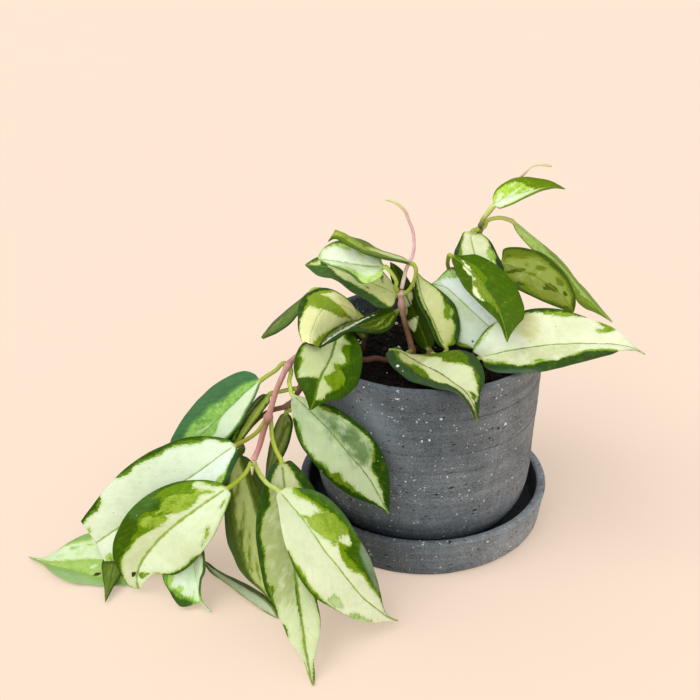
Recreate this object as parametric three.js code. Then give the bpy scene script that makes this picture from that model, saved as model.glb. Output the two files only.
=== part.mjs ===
// Potted hoya with variegated leaves: a raw clay pot on its saucer, filled with soil,
// upright stems in the middle and two stems that trail over the left rim.
// Millimetres, +Z up. Origin: centre of the saucer's underside. The viewer's side is -Y.
import * as THREE from 'three';

// ---- driving dimensions -------------------------------------------------------------
const POT_HEIGHT_TOP = 103.3;     // rim above the table
const POT_BASE = 5.2;             // underside of the pot, 0.3 above the saucer's floor
const POT_RIM_RADIUS = 60.0;
const POT_FLOOR_TOP = 12.2;
const DRAIN_RADIUS = 6.0;         // drainage hole in the pot's floor
const SAUCER_RADIUS = 64.8;
const SAUCER_HEIGHT = 21.6;
const SAUCER_FLOOR_TOP = 4.9;
const SOIL_TOP = 89.3;            // soil surface, 14 below the rim
const FIT_GAP = 0.3;              // clearance between pieces that touch
const LEAF_THICKNESS = 1.3;       // waxy, rather fleshy blade
const PETIOLE_RADIUS = 1.2;
const PETIOLE_RINGS = 5;
const LATHE_SEGMENTS = 40;

// ---- materials ----------------------------------------------------------------------
const clay = () => new THREE.MeshStandardMaterial({ color: 0x5d6166, roughness: 0.88, metalness: 0 });
const earth = () => new THREE.MeshStandardMaterial({ color: 0x2a221d, roughness: 1.0, metalness: 0 });
const leafMat = (hex) => new THREE.MeshStandardMaterial({ color: hex, roughness: 0.42, metalness: 0 });
const stemMat = (hex) => new THREE.MeshStandardMaterial({ color: hex, roughness: 0.6, metalness: 0 });

const plant = new THREE.Group();
const put = (name, geometry, material) => {
  const mesh = new THREE.Mesh(geometry, material);
  mesh.name = name;
  plant.add(mesh);
  return mesh;
};

// ---- turned clay pieces -------------------------------------------------------------
// Profiles are (radius, height) pairs; the lathe turns about Y, so the result is tipped up to +Z.
function turned(profile) {
  const g = new THREE.LatheGeometry(profile.map(([r, z]) => new THREE.Vector2(r, z)), LATHE_SEGMENTS);
  g.rotateX(Math.PI / 2);
  return g;
}

const potProfile = [
  [34, POT_BASE], [38.5, 6.4], [42.6, 9.2], [46.9, 13.2], [50.9, 17.4], [53.8, 22], [55.6, 30],
  [56.1, 46], [57.9, 76], [58.3, 89], [59.3, 96.5], [POT_RIM_RADIUS, 102.2], [59.2, POT_HEIGHT_TOP],
  [56.6, POT_HEIGHT_TOP], [55.9, 102.4], [55.0, 88], [52.4, 40], [50.4, 26], [46, 17.5], [40, 13.2],
  [34, POT_FLOOR_TOP], [DRAIN_RADIUS, POT_FLOOR_TOP], [DRAIN_RADIUS, POT_BASE], [34, POT_BASE],
];
put('pot', turned(potProfile), clay());

const saucerProfile = [
  [0, 0], [59.4, 0], [61.6, 1.6], [62.5, 5], [64.2, 18], [SAUCER_RADIUS, 20.6], [64.0, SAUCER_HEIGHT],
  [61.6, SAUCER_HEIGHT], [60.9, 20.6], [60.2, 14], [59.0, 7.2], [56.6, SAUCER_FLOOR_TOP], [0, SAUCER_FLOOR_TOP],
];
put('saucer', turned(saucerProfile), clay());

// Soil fills the pot down into its drainage hole.
const soilProfile = [
  [0, POT_BASE + 0.5], [DRAIN_RADIUS - FIT_GAP - 0.1, POT_BASE + 0.5], [DRAIN_RADIUS - FIT_GAP - 0.1, POT_FLOOR_TOP + 0.4],
  [33.8, POT_FLOOR_TOP + 0.4], [39.7, 13.6], [45.5, 17.9], [49.9, 26.2], [51.9, 40.2],
  [54.4, 87.6], [53.2, SOIL_TOP - 0.2], [51, SOIL_TOP], [0, SOIL_TOP],
];
put('soil', turned(soilProfile), earth());

// ---- stems --------------------------------------------------------------------------
// Each stem is an eight-sided tube along a smooth curve through its route.
const stems = {
  stem_trailing: { color: 0xb98078, radius: 1.5, steps: 23, route: [[-13,-4.5,91.6],[-17.1,-8,91.5],[-24.5,-11,94.3],[-30.8,-14,94.8],[-39.4,-17,100.6],[-48.4,-21,105.7],[-56.2,-26,105.8],[-63.2,-31,103.3],[-65.2,-33.5,101.8],[-69.4,-44,95.4],[-70.8,-49.5,92],[-72.4,-58,87],[-74,-64,83],[-75.5,-71,78],[-77.9,-76,73.4]] },
  stem_second: { color: 0xa5706a, radius: 1.35, steps: 27, route: [[-38.5,-24,90.2],[-42,-25.5,98],[-46.5,-27,104.5],[-51,-29.5,107.3],[-55.5,-33,105.5],[-58,-36.5,99],[-60,-38.5,91],[-65.7,-36.5,80.9],[-73.7,-34,76.4],[-80.7,-31.5,70.7],[-85.5,-31,65.1],[-90.6,-32.5,58.5],[-94.9,-37.5,53.3],[-99.2,-47.5,49.3],[-103.3,-55,42.4],[-108.4,-58,31.3],[-113.9,-57.5,16.9],[-118.3,-56.5,7.4]] },
  stem_upright: { color: 0xb98078, radius: 1.5, steps: 10, route: [[-6.3,2,89.8],[-6.6,2.3,91.6],[-7.6,3,96.3],[-10.1,4,104.8],[-11.7,4.5,111.2],[-12.7,5,119.2],[-12.9,5,124.7]] },
  stem_tendril: { color: 0xdba0a4, radius: 0.64, steps: 19, route: [[-12.7,5,125.4],[-12,6,128.6],[-10.7,8,134.2],[-9.3,9,137.6],[-7.9,10,140.4],[-7,11,144.8],[-7.1,11.5,148.9],[-7.9,11.5,154.1],[-9.7,11,159],[-11.7,10,164.5],[-14.1,9,167.4],[-17.5,8,170],[-21.5,7,171.5]] },
  stem_right: { color: 0x9a8a5c, radius: 1.5, steps: 10, route: [[24,2,90.3],[28.4,3.5,96],[27.5,8,106.7],[26.5,13,116.5],[25,16.5,135.8],[24.9,15.5,147.9],[24.8,14,155.4]] },
  stem_top_tendril: { color: 0xbfc26c, radius: 0.48, steps: 15, route: [[25.4,15,156.3],[28.5,20,158.9],[33.3,23.5,164],[38.9,26,170.5],[43.7,29,175.4],[46.2,26,179.3],[48.6,22,183.8],[52,18,186.3],[56,15,187],[57.8,14,186.9]] },
  stem_left: { color: 0x8a5a48, radius: 1.35, steps: 7, route: [[-32,6,89.8],[-31.7,5.3,92.8],[-31.1,5,97.5],[-29.9,5.5,102.9],[-28.4,6,106.7]] },
  stem_front: { color: 0x8a5a48, radius: 1.3, steps: 7, route: [[2,-6,90.4],[2.3,-4,93],[3,-2,96]] },
  bud_trailing: { color: 0xe3e0b8, radius: 0.76, steps: 7, route: [[-77.7,-79.3,72.7],[-77.7,-80.2,71.2],[-77.7,-80.8,68.6]] },
};

function tube(route, radius, steps) {
  const section = new THREE.Shape();
  for (let k = 0; k < 8; k++) {
    const a = (k / 8) * Math.PI * 2;
    const p = [radius * Math.cos(a), radius * Math.sin(a)];
    if (k === 0) section.moveTo(...p); else section.lineTo(...p);
  }
  section.closePath();
  const path = new THREE.CatmullRomCurve3(route.map((p) => new THREE.Vector3(...p)), false, 'centripetal');
  return new THREE.ExtrudeGeometry(section, { steps, extrudePath: path, bevelEnabled: false });
}
for (const [name, s] of Object.entries(stems)) {
  put(name, tube(s.route, s.radius, s.steps), stemMat(s.color));
}

// ---- leaves -------------------------------------------------------------------------
// A leaf is one closed body: a round petiole that flattens into a fleshy blade. The blade is
// given by three lines from base to tip: its midrib and its two margins. `up` says which side
// of midrib x margin is the upper face.
const leaves = {
  leaf_trail_back_left: { color: 0x7fa283, up: -1,
    petiole: [[-68.1,-34.3,102.5],[-70.9,-38,100.8],[-75.4,-41,98.7]],
    midrib: [[-77.3,-42,97.6],[-80,-41.8,95],[-83.8,-41.3,91.2],[-88.8,-40.4,85.6],[-94.6,-38.5,78.8],[-100.4,-36.7,71.9],[-106.2,-35,65],[-112.1,-33.1,58.2],[-117.6,-31.4,52.1],[-122.7,-30.1,46.6],[-127.4,-29,41.7]],
    left: [[-77.5,-40.9,97.9],[-80.7,-37,97.5],[-86.1,-32,96.5],[-93.8,-27.7,92.2],[-102.3,-24.3,85.4],[-109.8,-23,78.2],[-116.3,-23.1,70.8],[-121.7,-24.7,63.3],[-125.7,-28.2,57.2],[-127.7,-29.4,49.8],[-127.6,-28.9,42]],
    right: [[-77,-43.1,97.3],[-78.2,-45.3,95.9],[-79.5,-48.7,93.2],[-82,-50.7,87.8],[-86.2,-50.6,80.1],[-91.2,-49.1,71.8],[-97.3,-46.4,63.7],[-104.7,-42.7,55.8],[-112.4,-37.5,47.7],[-120,-32.2,42.9],[-127.1,-29.1,41.4]] },
  leaf_trail_against_pot: { color: 0xc9d6a0, up: -1,
    petiole: [[-64.1,-35,98.9],[-64.7,-39,95],[-63.8,-41.5,92.6]],
    midrib: [[-63.2,-43,90.7],[-60.3,-45.5,89.5],[-56.2,-48.9,87.6],[-50.4,-53.6,84.6],[-43.6,-58.6,80.1],[-37.2,-62.1,73.6],[-30.9,-64,66.7],[-25.4,-64,58.7],[-21.5,-63.7,50.8],[-18.3,-63,43.4],[-15.6,-62,36.8]],
    left: [[-64,-43.6,90.2],[-63.1,-47.8,88.9],[-62,-53.7,86],[-60,-60.3,81.1],[-55.8,-66.1,74.8],[-49.9,-69.3,68.3],[-43.8,-69.7,60.7],[-36.5,-68.6,53.2],[-28.9,-67,47.9],[-21.6,-64.5,43.1],[-15.9,-62.1,36.6]],
    right: [[-62.4,-42.4,91.3],[-58.9,-45.4,91.1],[-53,-48.5,91.1],[-44.8,-52.2,90.7],[-35.9,-56,88.1],[-28.1,-58.4,82.6],[-21.7,-60.1,75.2],[-17.3,-60.9,65.5],[-15.6,-61.5,55.4],[-15.3,-61.8,45.7],[-15.2,-61.9,36.9]] },
  leaf_trail_folded: { color: 0x5c7a34, up: -1,
    petiole: [[-62.3,-38.8,91.3],[-69.2,-39.5,89.9]],
    midrib: [[-73.7,-40.5,89.3],[-74.8,-41,88],[-76.3,-41.7,86.1],[-78.4,-42.6,83.4],[-80.8,-43.2,80],[-83.2,-43.5,76.4],[-85.4,-43.5,72.7],[-87.5,-43.5,69],[-89.5,-43.5,65.6],[-91.5,-43.5,62.7],[-93.6,-43.5,60.3]],
    left: [[-74.4,-39.7,89.5],[-76,-38.2,88],[-78.6,-35.7,85.3],[-81.7,-34.3,81.7],[-85.1,-33.7,77.8],[-88.1,-34.1,74.1],[-90.7,-35.2,70.6],[-93.1,-37.2,67.7],[-95.1,-41,66],[-95.5,-43.5,63.8],[-93.9,-43.5,60.5]],
    right: [[-72.9,-41.3,89],[-73.7,-41,86.9],[-74.4,-41,84.5],[-76.4,-41.2,81.5],[-79,-41.3,77.9],[-81.6,-41.4,74.4],[-83.9,-41.7,70.8],[-86.3,-42.1,67.3],[-88.7,-42.6,64.3],[-91,-43.2,61.9],[-93.3,-43.5,60]] },
  leaf_trail_behind_stem: { color: 0x6c7a3c, up: 1,
    petiole: [[-64.8,-36.7,78.2]],
    midrib: [[-66.8,-36,77.2],[-67.2,-35.4,74.9],[-67.8,-34.7,71.7],[-68.7,-33.9,67.1],[-70.1,-33.1,61.5],[-71.7,-32.6,56],[-73.5,-32.1,50.6],[-75.3,-31.7,45.1],[-76.9,-31.2,40.2],[-78.3,-30.7,35.6],[-79.4,-30,31.5]],
    left: [[-67.8,-35.4,77.5],[-69.1,-33.6,74.6],[-71.2,-30.8,70.7],[-73.5,-28.6,65.3],[-75.4,-27,59.4],[-76.9,-26.3,53.7],[-77.9,-26.2,48.3],[-78.7,-26.6,43.1],[-79.1,-27.7,38.7],[-79.3,-28.9,34.9],[-79.7,-29.7,31.6]],
    right: [[-65.9,-36.6,76.9],[-65.3,-36.5,75.8],[-64.2,-37.3,73.5],[-64,-37.8,69.4],[-64.9,-37.8,64],[-66.4,-37.4,58.5],[-68.7,-36.6,53],[-71.3,-35.3,47.2],[-74,-33.7,41.7],[-76.5,-31.7,36.3],[-79.2,-30.3,31.4]] },
  leaf_trail_cut_end: { color: 0xc9d6a0, up: -1,
    petiole: [[-73.9,-57.4,84.9],[-78.3,-57.5,77.8],[-83.9,-57,72.9]],
    midrib: [[-87.8,-57,70.5],[-91.5,-58,68.1],[-96.6,-59.2,64.5],[-103.7,-60.6,59.1],[-112.4,-61.9,52.7],[-121.2,-63,46.4],[-129.7,-63.6,39.7],[-138.1,-64.2,32.9],[-145.9,-64.9,26.7],[-153,-65,21.1],[-159.5,-65,16.1]],
    left: [[-88.3,-56,70.9],[-92.6,-52.9,70.3],[-99.5,-49.4,69.4],[-109,-48.4,68.9],[-119.8,-50.1,67.1],[-129.7,-53.4,63.6],[-139.5,-55,57.4],[-148.5,-56.3,49.5],[-155.8,-58.1,41.3],[-162.1,-59.6,33.1],[-159.7,-64.8,16.4]],
    right: [[-87.3,-58,70.2],[-86.6,-61.4,68],[-88.4,-66.6,64.1],[-92.1,-71,57],[-98.7,-73.9,48.1],[-106.7,-74,37.7],[-115.7,-71.5,25.5],[-125.3,-72.5,17.3],[-135.6,-72.6,12.7],[-145.7,-71.4,9.8],[-159.3,-65.2,15.8]] },
  leaf_trail_front_left: { color: 0xc9d6a0, up: -1,
    petiole: [[-79.1,-76.6,71.5],[-81.7,-78,67.2],[-85.7,-79.5,63.6]],
    midrib: [[-88.5,-80,61.4],[-91.7,-80.6,59.2],[-96.1,-81.4,56.1],[-102.4,-82.3,51.5],[-109.7,-83,45.7],[-116.7,-83,39.5],[-123.1,-82.7,32.6],[-128.8,-82.5,25.2],[-133.3,-82.5,17.8],[-135.8,-82.8,10.4],[-135.4,-83.5,3.5]],
    left: [[-89,-79.1,61.9],[-93.3,-77.3,61.7],[-100.3,-74.9,61.4],[-110.2,-73.9,60.3],[-121.4,-75,57],[-131.3,-77.3,51],[-139.5,-80.3,42.8],[-145.1,-82.2,31.2],[-146.1,-83.1,18.9],[-142.3,-83.6,8.5],[-135.7,-83.4,3.5]],
    right: [[-88,-80.9,60.8],[-87.5,-82.8,59.4],[-88.8,-86.3,56.2],[-91.3,-88.9,50.2],[-95.1,-90.1,41.6],[-100.5,-89.5,32.5],[-107,-87.5,22.7],[-114.5,-87.4,16.1],[-122.5,-86.9,15.2],[-129.6,-85.1,11],[-135,-83.6,3.5]] },
  leaf_trail_long: { color: 0xc9d6a0, up: -1,
    petiole: [[-71.4,-58.4,84.2],[-70.6,-62,78.1],[-68.6,-65,72.9]],
    midrib: [[-66.1,-67,68.7],[-65.1,-69.5,64.2],[-63.9,-73.9,58.6],[-62.3,-81,51.2],[-60.1,-90.4,43.3],[-57.6,-100.1,35.9],[-55,-109.8,28.4],[-52.5,-119.8,21.4],[-50.1,-128.4,14.4],[-48,-134.9,6.6],[-45.5,-141.8,0.9]],
    left: [[-67.2,-67.3,68.6],[-70.4,-69.3,66.5],[-73,-74.7,61],[-75.3,-83,53.4],[-75.3,-93.5,44.4],[-72.4,-103.8,35.9],[-68.3,-113.5,27.6],[-61,-122.6,20.7],[-55.8,-130.3,13.5],[-49.4,-135.4,6.8],[-45.9,-142,0.9]],
    right: [[-65,-66.7,68.8],[-60.8,-66.6,67.8],[-54.9,-70,63],[-48.3,-76.4,55.8],[-43.9,-86.2,46.8],[-43,-95.8,37.1],[-46,-105.4,28.1],[-44.4,-117.2,21.1],[-43.9,-127.4,14.7],[-45.4,-134.4,6.9],[-45.1,-141.7,0.9]] },
  leaf_trail_front_right: { color: 0xc9d6a0, up: -1,
    petiole: [[-76.7,-77.3,71.9],[-74.2,-80,68.8],[-70.3,-83,65.7]],
    midrib: [[-65.7,-85,64],[-62.6,-88,62.5],[-58.4,-91.9,60],[-52.4,-96.8,55.4],[-45.8,-102.3,48.9],[-39.1,-106.1,41.3],[-32.7,-107.5,32.8],[-26.9,-107.1,23.7],[-20.8,-105.7,16],[-15.5,-103.4,9],[-9.5,-101,4.5]],
    left: [[-66.5,-85.7,63.7],[-65.6,-90,62.6],[-63.7,-96.5,59.2],[-61.5,-103.8,53.3],[-57.7,-110.7,45.6],[-52.7,-114.9,36.7],[-45.6,-116,27.3],[-36.1,-114.2,19.7],[-27.2,-111.3,12],[-18,-106,7.2],[-9.5,-101.3,4.2]],
    right: [[-64.8,-84.3,64.3],[-61.4,-84.3,65.3],[-55,-84.8,65.4],[-46,-86.8,64.7],[-37.3,-91.2,59.9],[-30.8,-94.6,51.9],[-25.3,-96.5,42],[-20.8,-97.8,30.9],[-18.3,-99.2,20],[-16,-100.5,9.9],[-9.4,-100.7,4.7]] },
  leaf_ground_left: { color: 0xc9d6a0, up: -1,
    petiole: [[-122.3,-58.3,3],[-127,-62.6,3],[-132.8,-65.8,3.3]],
    midrib: [[-138.2,-66.5,3.6],[-141.2,-66,3.8],[-145.3,-65.4,4],[-151.3,-64.5,4],[-158.6,-63.8,4],[-165.8,-64.1,3.7],[-173,-65.1,3.4],[-180.2,-65.4,3],[-186.8,-64.7,2.4],[-192.4,-62.9,1.9],[-197.2,-60,1.5]],
    left: [[-138,-65.4,3.7],[-140.3,-60.9,3.5],[-143.7,-54.8,3.9],[-149.9,-49.5,5.5],[-158.2,-46.9,7.2],[-165.9,-47.1,9.4],[-173.6,-49,7.1],[-180.5,-51.7,3.6],[-186,-55.8,1.1],[-191,-60.5,1.1],[-197,-59.6,1.4]],
    right: [[-138.4,-67.6,3.5],[-138.7,-70.4,2.2],[-140.4,-74.9,1.1],[-144.7,-79.4,1.1],[-152.3,-80.3,1.1],[-160.1,-79.8,1.1],[-167.7,-79.7,1.5],[-175.4,-77.4,2.6],[-182.8,-72.5,3.1],[-189.7,-66.1,2.9],[-197.4,-60.3,1.6]] },
  leaf_ground_small: { color: 0x55702c, up: 1,
    petiole: [[-129.6,-60.6,7.5],[-138,-56.8,7.4],[-145.7,-56.7,7.6]],
    midrib: [[-151.5,-58.5,6.2],[-151.5,-60.2,6.2],[-151.4,-62.7,6.3],[-151.3,-66.2,6.3],[-151,-70.3,6.3],[-150.7,-74.5,6.2],[-150.4,-78.7,5.8],[-150.3,-82.7,5],[-150.3,-86.2,3.2],[-150.1,-89.5,2.2],[-149.8,-92.6,1.6]],
    left: [[-152.6,-58.5,6.4],[-153.1,-60,6.7],[-154.5,-62.1,7.2],[-155.9,-65.7,7.6],[-156.6,-70.2,7.4],[-155.7,-74.4,6.3],[-154.3,-78.6,5.2],[-152.9,-82.5,4.1],[-151.9,-85.8,2.8],[-150.9,-89.2,2.1],[-150.2,-92.6,1.6]],
    right: [[-150.3,-58.5,6],[-149.1,-59.6,6.1],[-147.2,-61.7,6.1],[-146.4,-65.8,5.9],[-145.8,-70.8,5.4],[-146,-75.6,5.1],[-146.6,-80.1,4.7],[-147.4,-84,4.2],[-148.3,-86.9,3],[-149.1,-89.8,2.1],[-149.4,-92.6,1.6]] },
  leaf_ground_middle: { color: 0xc9d6a0, up: -1,
    petiole: [[-108.1,-60.2,32.5],[-109.3,-64,30.7],[-110.4,-67,28.1]],
    midrib: [[-109.8,-72.6,28],[-109.6,-73.7,26.4],[-109.3,-75.2,24],[-108.9,-77.1,20.6],[-108.2,-79.3,16.4],[-107.4,-81.7,12.5],[-106.2,-84.8,9],[-104.9,-88.2,5.9],[-103.6,-91.6,3.6],[-101.2,-94.2,2.2],[-98.1,-96.3,1.5]],
    left: [[-110.9,-72.3,27.7],[-112.4,-74.2,27.7],[-115.5,-76.5,26.6],[-119.1,-79.7,23.4],[-122.4,-83,18.1],[-122.6,-86.7,12.3],[-118.7,-90.6,7.6],[-114.2,-94.2,3.1],[-108.2,-94.6,3.2],[-103,-93.9,4.2],[-98.1,-96.1,1.1]],
    right: [[-108.7,-72.8,28.3],[-107.4,-75.4,28.9],[-104.7,-79,29.2],[-102.5,-83,27.6],[-101.5,-86.6,24.3],[-101,-89.6,20.6],[-102.5,-92.5,17.1],[-102.9,-94.8,12.9],[-102.2,-96.1,8.5],[-100.3,-96.3,4.6],[-98.1,-96.5,1.9]] },
  leaf_ground_edge_on: { color: 0x6b8a54, up: 1,
    petiole: [[-114.4,-59.1,12],[-112.3,-62.6,11],[-109.4,-65.4,9.6]],
    midrib: [[-107.2,-66.9,9],[-105.4,-68.9,8.7],[-102.7,-71.4,8.2],[-98.4,-74.4,7.4],[-93,-77.5,6.3],[-87.5,-80.5,5.5],[-82,-83.6,4.7],[-76.6,-86.9,3.9],[-72.1,-90.4,3],[-68.6,-94.3,2.1],[-66.1,-98.3,1.5]],
    left: [[-106.4,-66.2,8.5],[-105,-67.5,8.4],[-102,-68.8,7.1],[-97.8,-71,5.4],[-92.3,-73.5,4.2],[-86.7,-76.3,3.5],[-81.1,-79.5,3.1],[-75.5,-83.3,2.9],[-70.7,-87.7,2.6],[-67.6,-92.8,2.2],[-65.8,-98.1,1.6]],
    right: [[-107.9,-67.7,9.5],[-105.2,-70.6,9.1],[-102.3,-75,9.5],[-98.2,-79.4,9.2],[-93.1,-83.4,8.4],[-88.1,-86.7,7.3],[-83.4,-89.7,5.7],[-78.8,-92.3,3.8],[-74.5,-94,1.8],[-70.3,-96.2,0.9],[-66.5,-98.5,1.4]] },
  leaf_trail_shaded: { color: 0xc9d6a0, up: 1,
    petiole: [[-91.4,-35.7,57.3],[-88.9,-42,59.5],[-87.9,-48,61.3]],
    midrib: [[-88.7,-51,61.7],[-88.4,-51.8,58.1],[-86.7,-53.3,53.6],[-84,-56.1,47.4],[-81.3,-60.6,40.4],[-78.9,-65.7,33.7],[-76.8,-70.8,26.8],[-74.9,-76,20.1],[-73.1,-81.1,14.1],[-71.5,-86.1,9.1],[-70.1,-91,4.8]],
    left: [[-89.7,-51.5,61.7],[-91.3,-52.3,58.8],[-93.6,-55,54.4],[-95.6,-59.1,47.8],[-95.1,-64.6,40],[-93.9,-70.3,32.3],[-91.9,-75.4,24.6],[-87.6,-80.4,17.6],[-82.1,-84.3,12],[-75.7,-87.4,8.3],[-70.4,-91.1,4.9]],
    right: [[-87.7,-50.5,61.7],[-85.5,-49.2,58.6],[-81.7,-48.5,53.8],[-77,-49.7,47.2],[-72.5,-53.5,39.6],[-69.2,-58.8,32.4],[-67.5,-64.7,25.2],[-66.8,-71.3,18.3],[-67.2,-78,12.7],[-68.1,-84.8,8.4],[-69.7,-90.9,4.8]] },
  leaf_left_edge_on: { color: 0x4f7a3a, up: 1,
    petiole: [[-30.8,6.5,106.8],[-37.7,9,112.3],[-45.7,9,118.7],[-52.6,7.5,122.8]],
    midrib: [[-57,6,123.1],[-58.2,5.1,122.2],[-59.9,3.8,120.9],[-62.3,2,119.1],[-65.2,-0.2,117],[-68.1,-2.5,114.9],[-71,-4.6,112.7],[-74,-6.7,110.4],[-76.6,-8.6,108.3],[-78.9,-10.4,106.4],[-81,-12,104.6]],
    left: [[-57.4,7,122.7],[-58.7,8.5,121.3],[-61,11,118.4],[-64,12,115.4],[-67.3,11.4,112.6],[-70.5,9.3,110.4],[-73.5,6.3,108.6],[-76.1,2.4,107],[-78.3,-2.3,106.1],[-80,-7.3,105.6],[-81.2,-11.7,104.5]],
    right: [[-56.5,5,123.5],[-57.5,2.3,122.5],[-58.4,-2.1,122.2],[-60,-6.3,120.9],[-62.1,-9.8,118.7],[-64.4,-12.3,116],[-67.1,-13.7,113.2],[-70.5,-14.2,110.5],[-73.9,-13.8,108],[-77.3,-12.8,105.8],[-80.8,-12.3,104.6]] },
  leaf_left_cut_tip: { color: 0xc9d6a0, up: -1,
    petiole: [[-30.6,3.2,102.9],[-30.6,1,106.2],[-31.5,-2,109.3]],
    midrib: [[-32.8,-5,111.9],[-33.8,-6,114.1],[-35.4,-7.6,117],[-38.2,-10.1,120.7],[-42.3,-13.5,124.3],[-46.7,-17.8,125.3],[-50.1,-23,125.3],[-52.3,-28.7,123.3],[-53.4,-34.2,121.6],[-53.9,-39.1,119.9],[-53.8,-43,117.2]],
    left: [[-32.6,-4,112.4],[-34.1,-3.4,114.6],[-36.3,-2,117.9],[-40.2,-2.1,122.7],[-45.9,-4.1,127.8],[-52.4,-8.1,130.4],[-58.2,-14.3,129.7],[-61.5,-21.3,126.7],[-60.9,-28,122.9],[-59.9,-34.3,119.7],[-54.2,-43,117.3]],
    right: [[-32.9,-6,111.3],[-34,-5.7,111.6],[-35.7,-6.6,112],[-38.1,-9.1,113.1],[-40.8,-13.1,114],[-43.1,-17.5,114.6],[-45.3,-22.4,115.1],[-47.2,-27.2,115.3],[-48.6,-32.2,115.5],[-49.4,-37,115.6],[-53.4,-43,117.2]] },
  leaf_over_left_rim: { color: 0xc9d6a0, up: -1,
    petiole: [[-32.2,3.2,99.4],[-34.1,0,103.3],[-37.7,-6,108.4]],
    midrib: [[-41.4,-16,113.7],[-41.8,-18.8,113.2],[-42.3,-22.6,112.5],[-43,-28.2,111.8],[-43.5,-34.9,111.1],[-44.3,-41.7,110.4],[-45.6,-48.4,109.6],[-47.5,-54.6,107.6],[-49.1,-58.6,103.5],[-50.3,-60.6,98.3],[-52,-61.5,93.5]],
    left: [[-42.5,-15.8,113.5],[-43.9,-18.1,113.8],[-47.3,-21.3,114],[-52.2,-26.6,114.4],[-57.2,-33.6,114.6],[-60.3,-41.6,112.6],[-61.1,-49.5,109.7],[-59.4,-56,106.2],[-56.3,-59.4,102.3],[-54.1,-61,97.8],[-52.4,-61.4,93.6]],
    right: [[-40.3,-16.2,113.9],[-38.3,-19.9,114.7],[-34.8,-25.4,114.6],[-31.2,-32.4,112.7],[-29.4,-40.5,109.4],[-29.7,-47.7,105.4],[-32,-53.3,101.4],[-36.6,-58.7,98.9],[-42.1,-62.2,98.5],[-47.5,-62.7,96.8],[-51.7,-61.6,93.4]] },
  leaf_boat_shaped: { color: 0xc9d6a0, up: 1,
    petiole: [[-12.7,7.2,114.3]],
    midrib: [[-14.6,8.5,111.4],[-16.9,6,111.2],[-19.9,2.4,111.1],[-23.6,-3.1,111.7],[-27.8,-9.8,113],[-32.2,-16.4,114.5],[-36.3,-23.2,116],[-39.9,-30.2,117.6],[-43.2,-36.7,118.4],[-46.3,-42.7,118.7],[-49.1,-48,118.8]],
    left: [[-15.3,9,112.2],[-17.2,7.8,113],[-20.2,6,113.9],[-24.2,1.8,114.9],[-28.6,-4.6,114.9],[-32.7,-11.5,115.2],[-36.7,-18.9,115.7],[-40.4,-27,116.6],[-43.7,-34.6,117.6],[-46.6,-41.5,118.5],[-49.5,-47.8,118.8]],
    right: [[-13.9,8,110.7],[-14.7,4.1,109.2],[-15.9,-1.5,108.7],[-18.9,-9.2,108.7],[-23.7,-17.2,111.4],[-28.9,-23.9,114.6],[-33.8,-29.6,118.1],[-38.2,-35.6,119.6],[-42,-40.7,119.1],[-45.6,-44.6,118.8],[-48.8,-48.2,118.9]] },
  leaf_upper_left_long: { color: 0xc9d6a0, up: -1,
    petiole: [[-13.1,7.3,117.1]],
    midrib: [[-14,10.5,118.9],[-16.1,12.3,119.1],[-19,14.7,119.5],[-23.4,17.7,120.1],[-29.1,20.7,121.1],[-34.9,23.2,122.3],[-40.9,25,124],[-47,26.5,125.5],[-52.8,27.4,126.6],[-58.2,27.4,127.2],[-63,27,127.6]],
    left: [[-13.4,11.1,119.6],[-15.6,15.4,120.1],[-18,21.2,121.3],[-21.8,27,123.6],[-27.3,31.7,126.6],[-33.5,34.5,129.3],[-40.4,35.6,131.6],[-47.5,35.2,131.8],[-53.7,33.5,131.5],[-58.8,30.4,129.8],[-63,27.3,127.9]],
    right: [[-14.7,9.9,118.1],[-15.5,8.9,115.5],[-18.3,7.9,113],[-23.6,8.4,113],[-29.6,10.3,115.5],[-35.6,12.8,118],[-41.4,15.6,120.8],[-47.2,18.9,123.6],[-53.6,21.7,123.3],[-58.9,24.5,124.8],[-63,26.7,127.3]] },
  leaf_upper_left_pale: { color: 0xc9d6a0, up: -1,
    petiole: [[-15.5,3.5,125.7],[-15.2,3.5,129.6],[-17.7,2.5,134.8]],
    midrib: [[-20.4,2,138.2],[-22.1,2.6,137.8],[-24.5,3.4,137.3],[-27.9,4.7,136.8],[-32,6.2,136.5],[-36.2,7.7,136.3],[-40.4,9.2,136.4],[-44.5,10.6,136.4],[-48.4,12,136.4],[-51.8,13.1,136.3],[-54.9,14,137.1]],
    left: [[-20.1,3.1,138.5],[-21.8,5.8,138.7],[-23.9,10.1,139.2],[-27.1,14.2,140.4],[-31.6,17.3,142],[-36.4,18.9,143.2],[-41.3,19.4,144.7],[-46.2,18.7,144.4],[-50.3,16.9,143.1],[-53.3,15,140.7],[-54.8,14.3,137.4]],
    right: [[-20.7,0.9,137.9],[-21.1,-1.3,137.3],[-22.5,-4.8,136.3],[-25.6,-7,134.6],[-30.2,-7.5,133.4],[-34.4,-6.2,134.4],[-38.2,-3.4,136.8],[-42.7,0.2,137.5],[-47.3,4.7,137],[-51.5,9.6,136.6],[-55.1,13.7,136.9]] },
  leaf_upper_left_edge_on: { color: 0xc9d6a0, up: -1,
    petiole: [[-10.4,4.5,123.6],[-8.2,4,126.3],[-6.1,3,132.2],[-5.7,3,137]],
    midrib: [[-7.2,4,139.2],[-9.3,4,139.8],[-12.2,4,140.6],[-16.3,4,141.6],[-21.1,4.6,142.8],[-25.9,6.1,143.9],[-30.6,7.5,145.3],[-35.1,8.7,147.3],[-39,9.9,149.6],[-42.7,11,151.4],[-46.1,12,152.8]],
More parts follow.
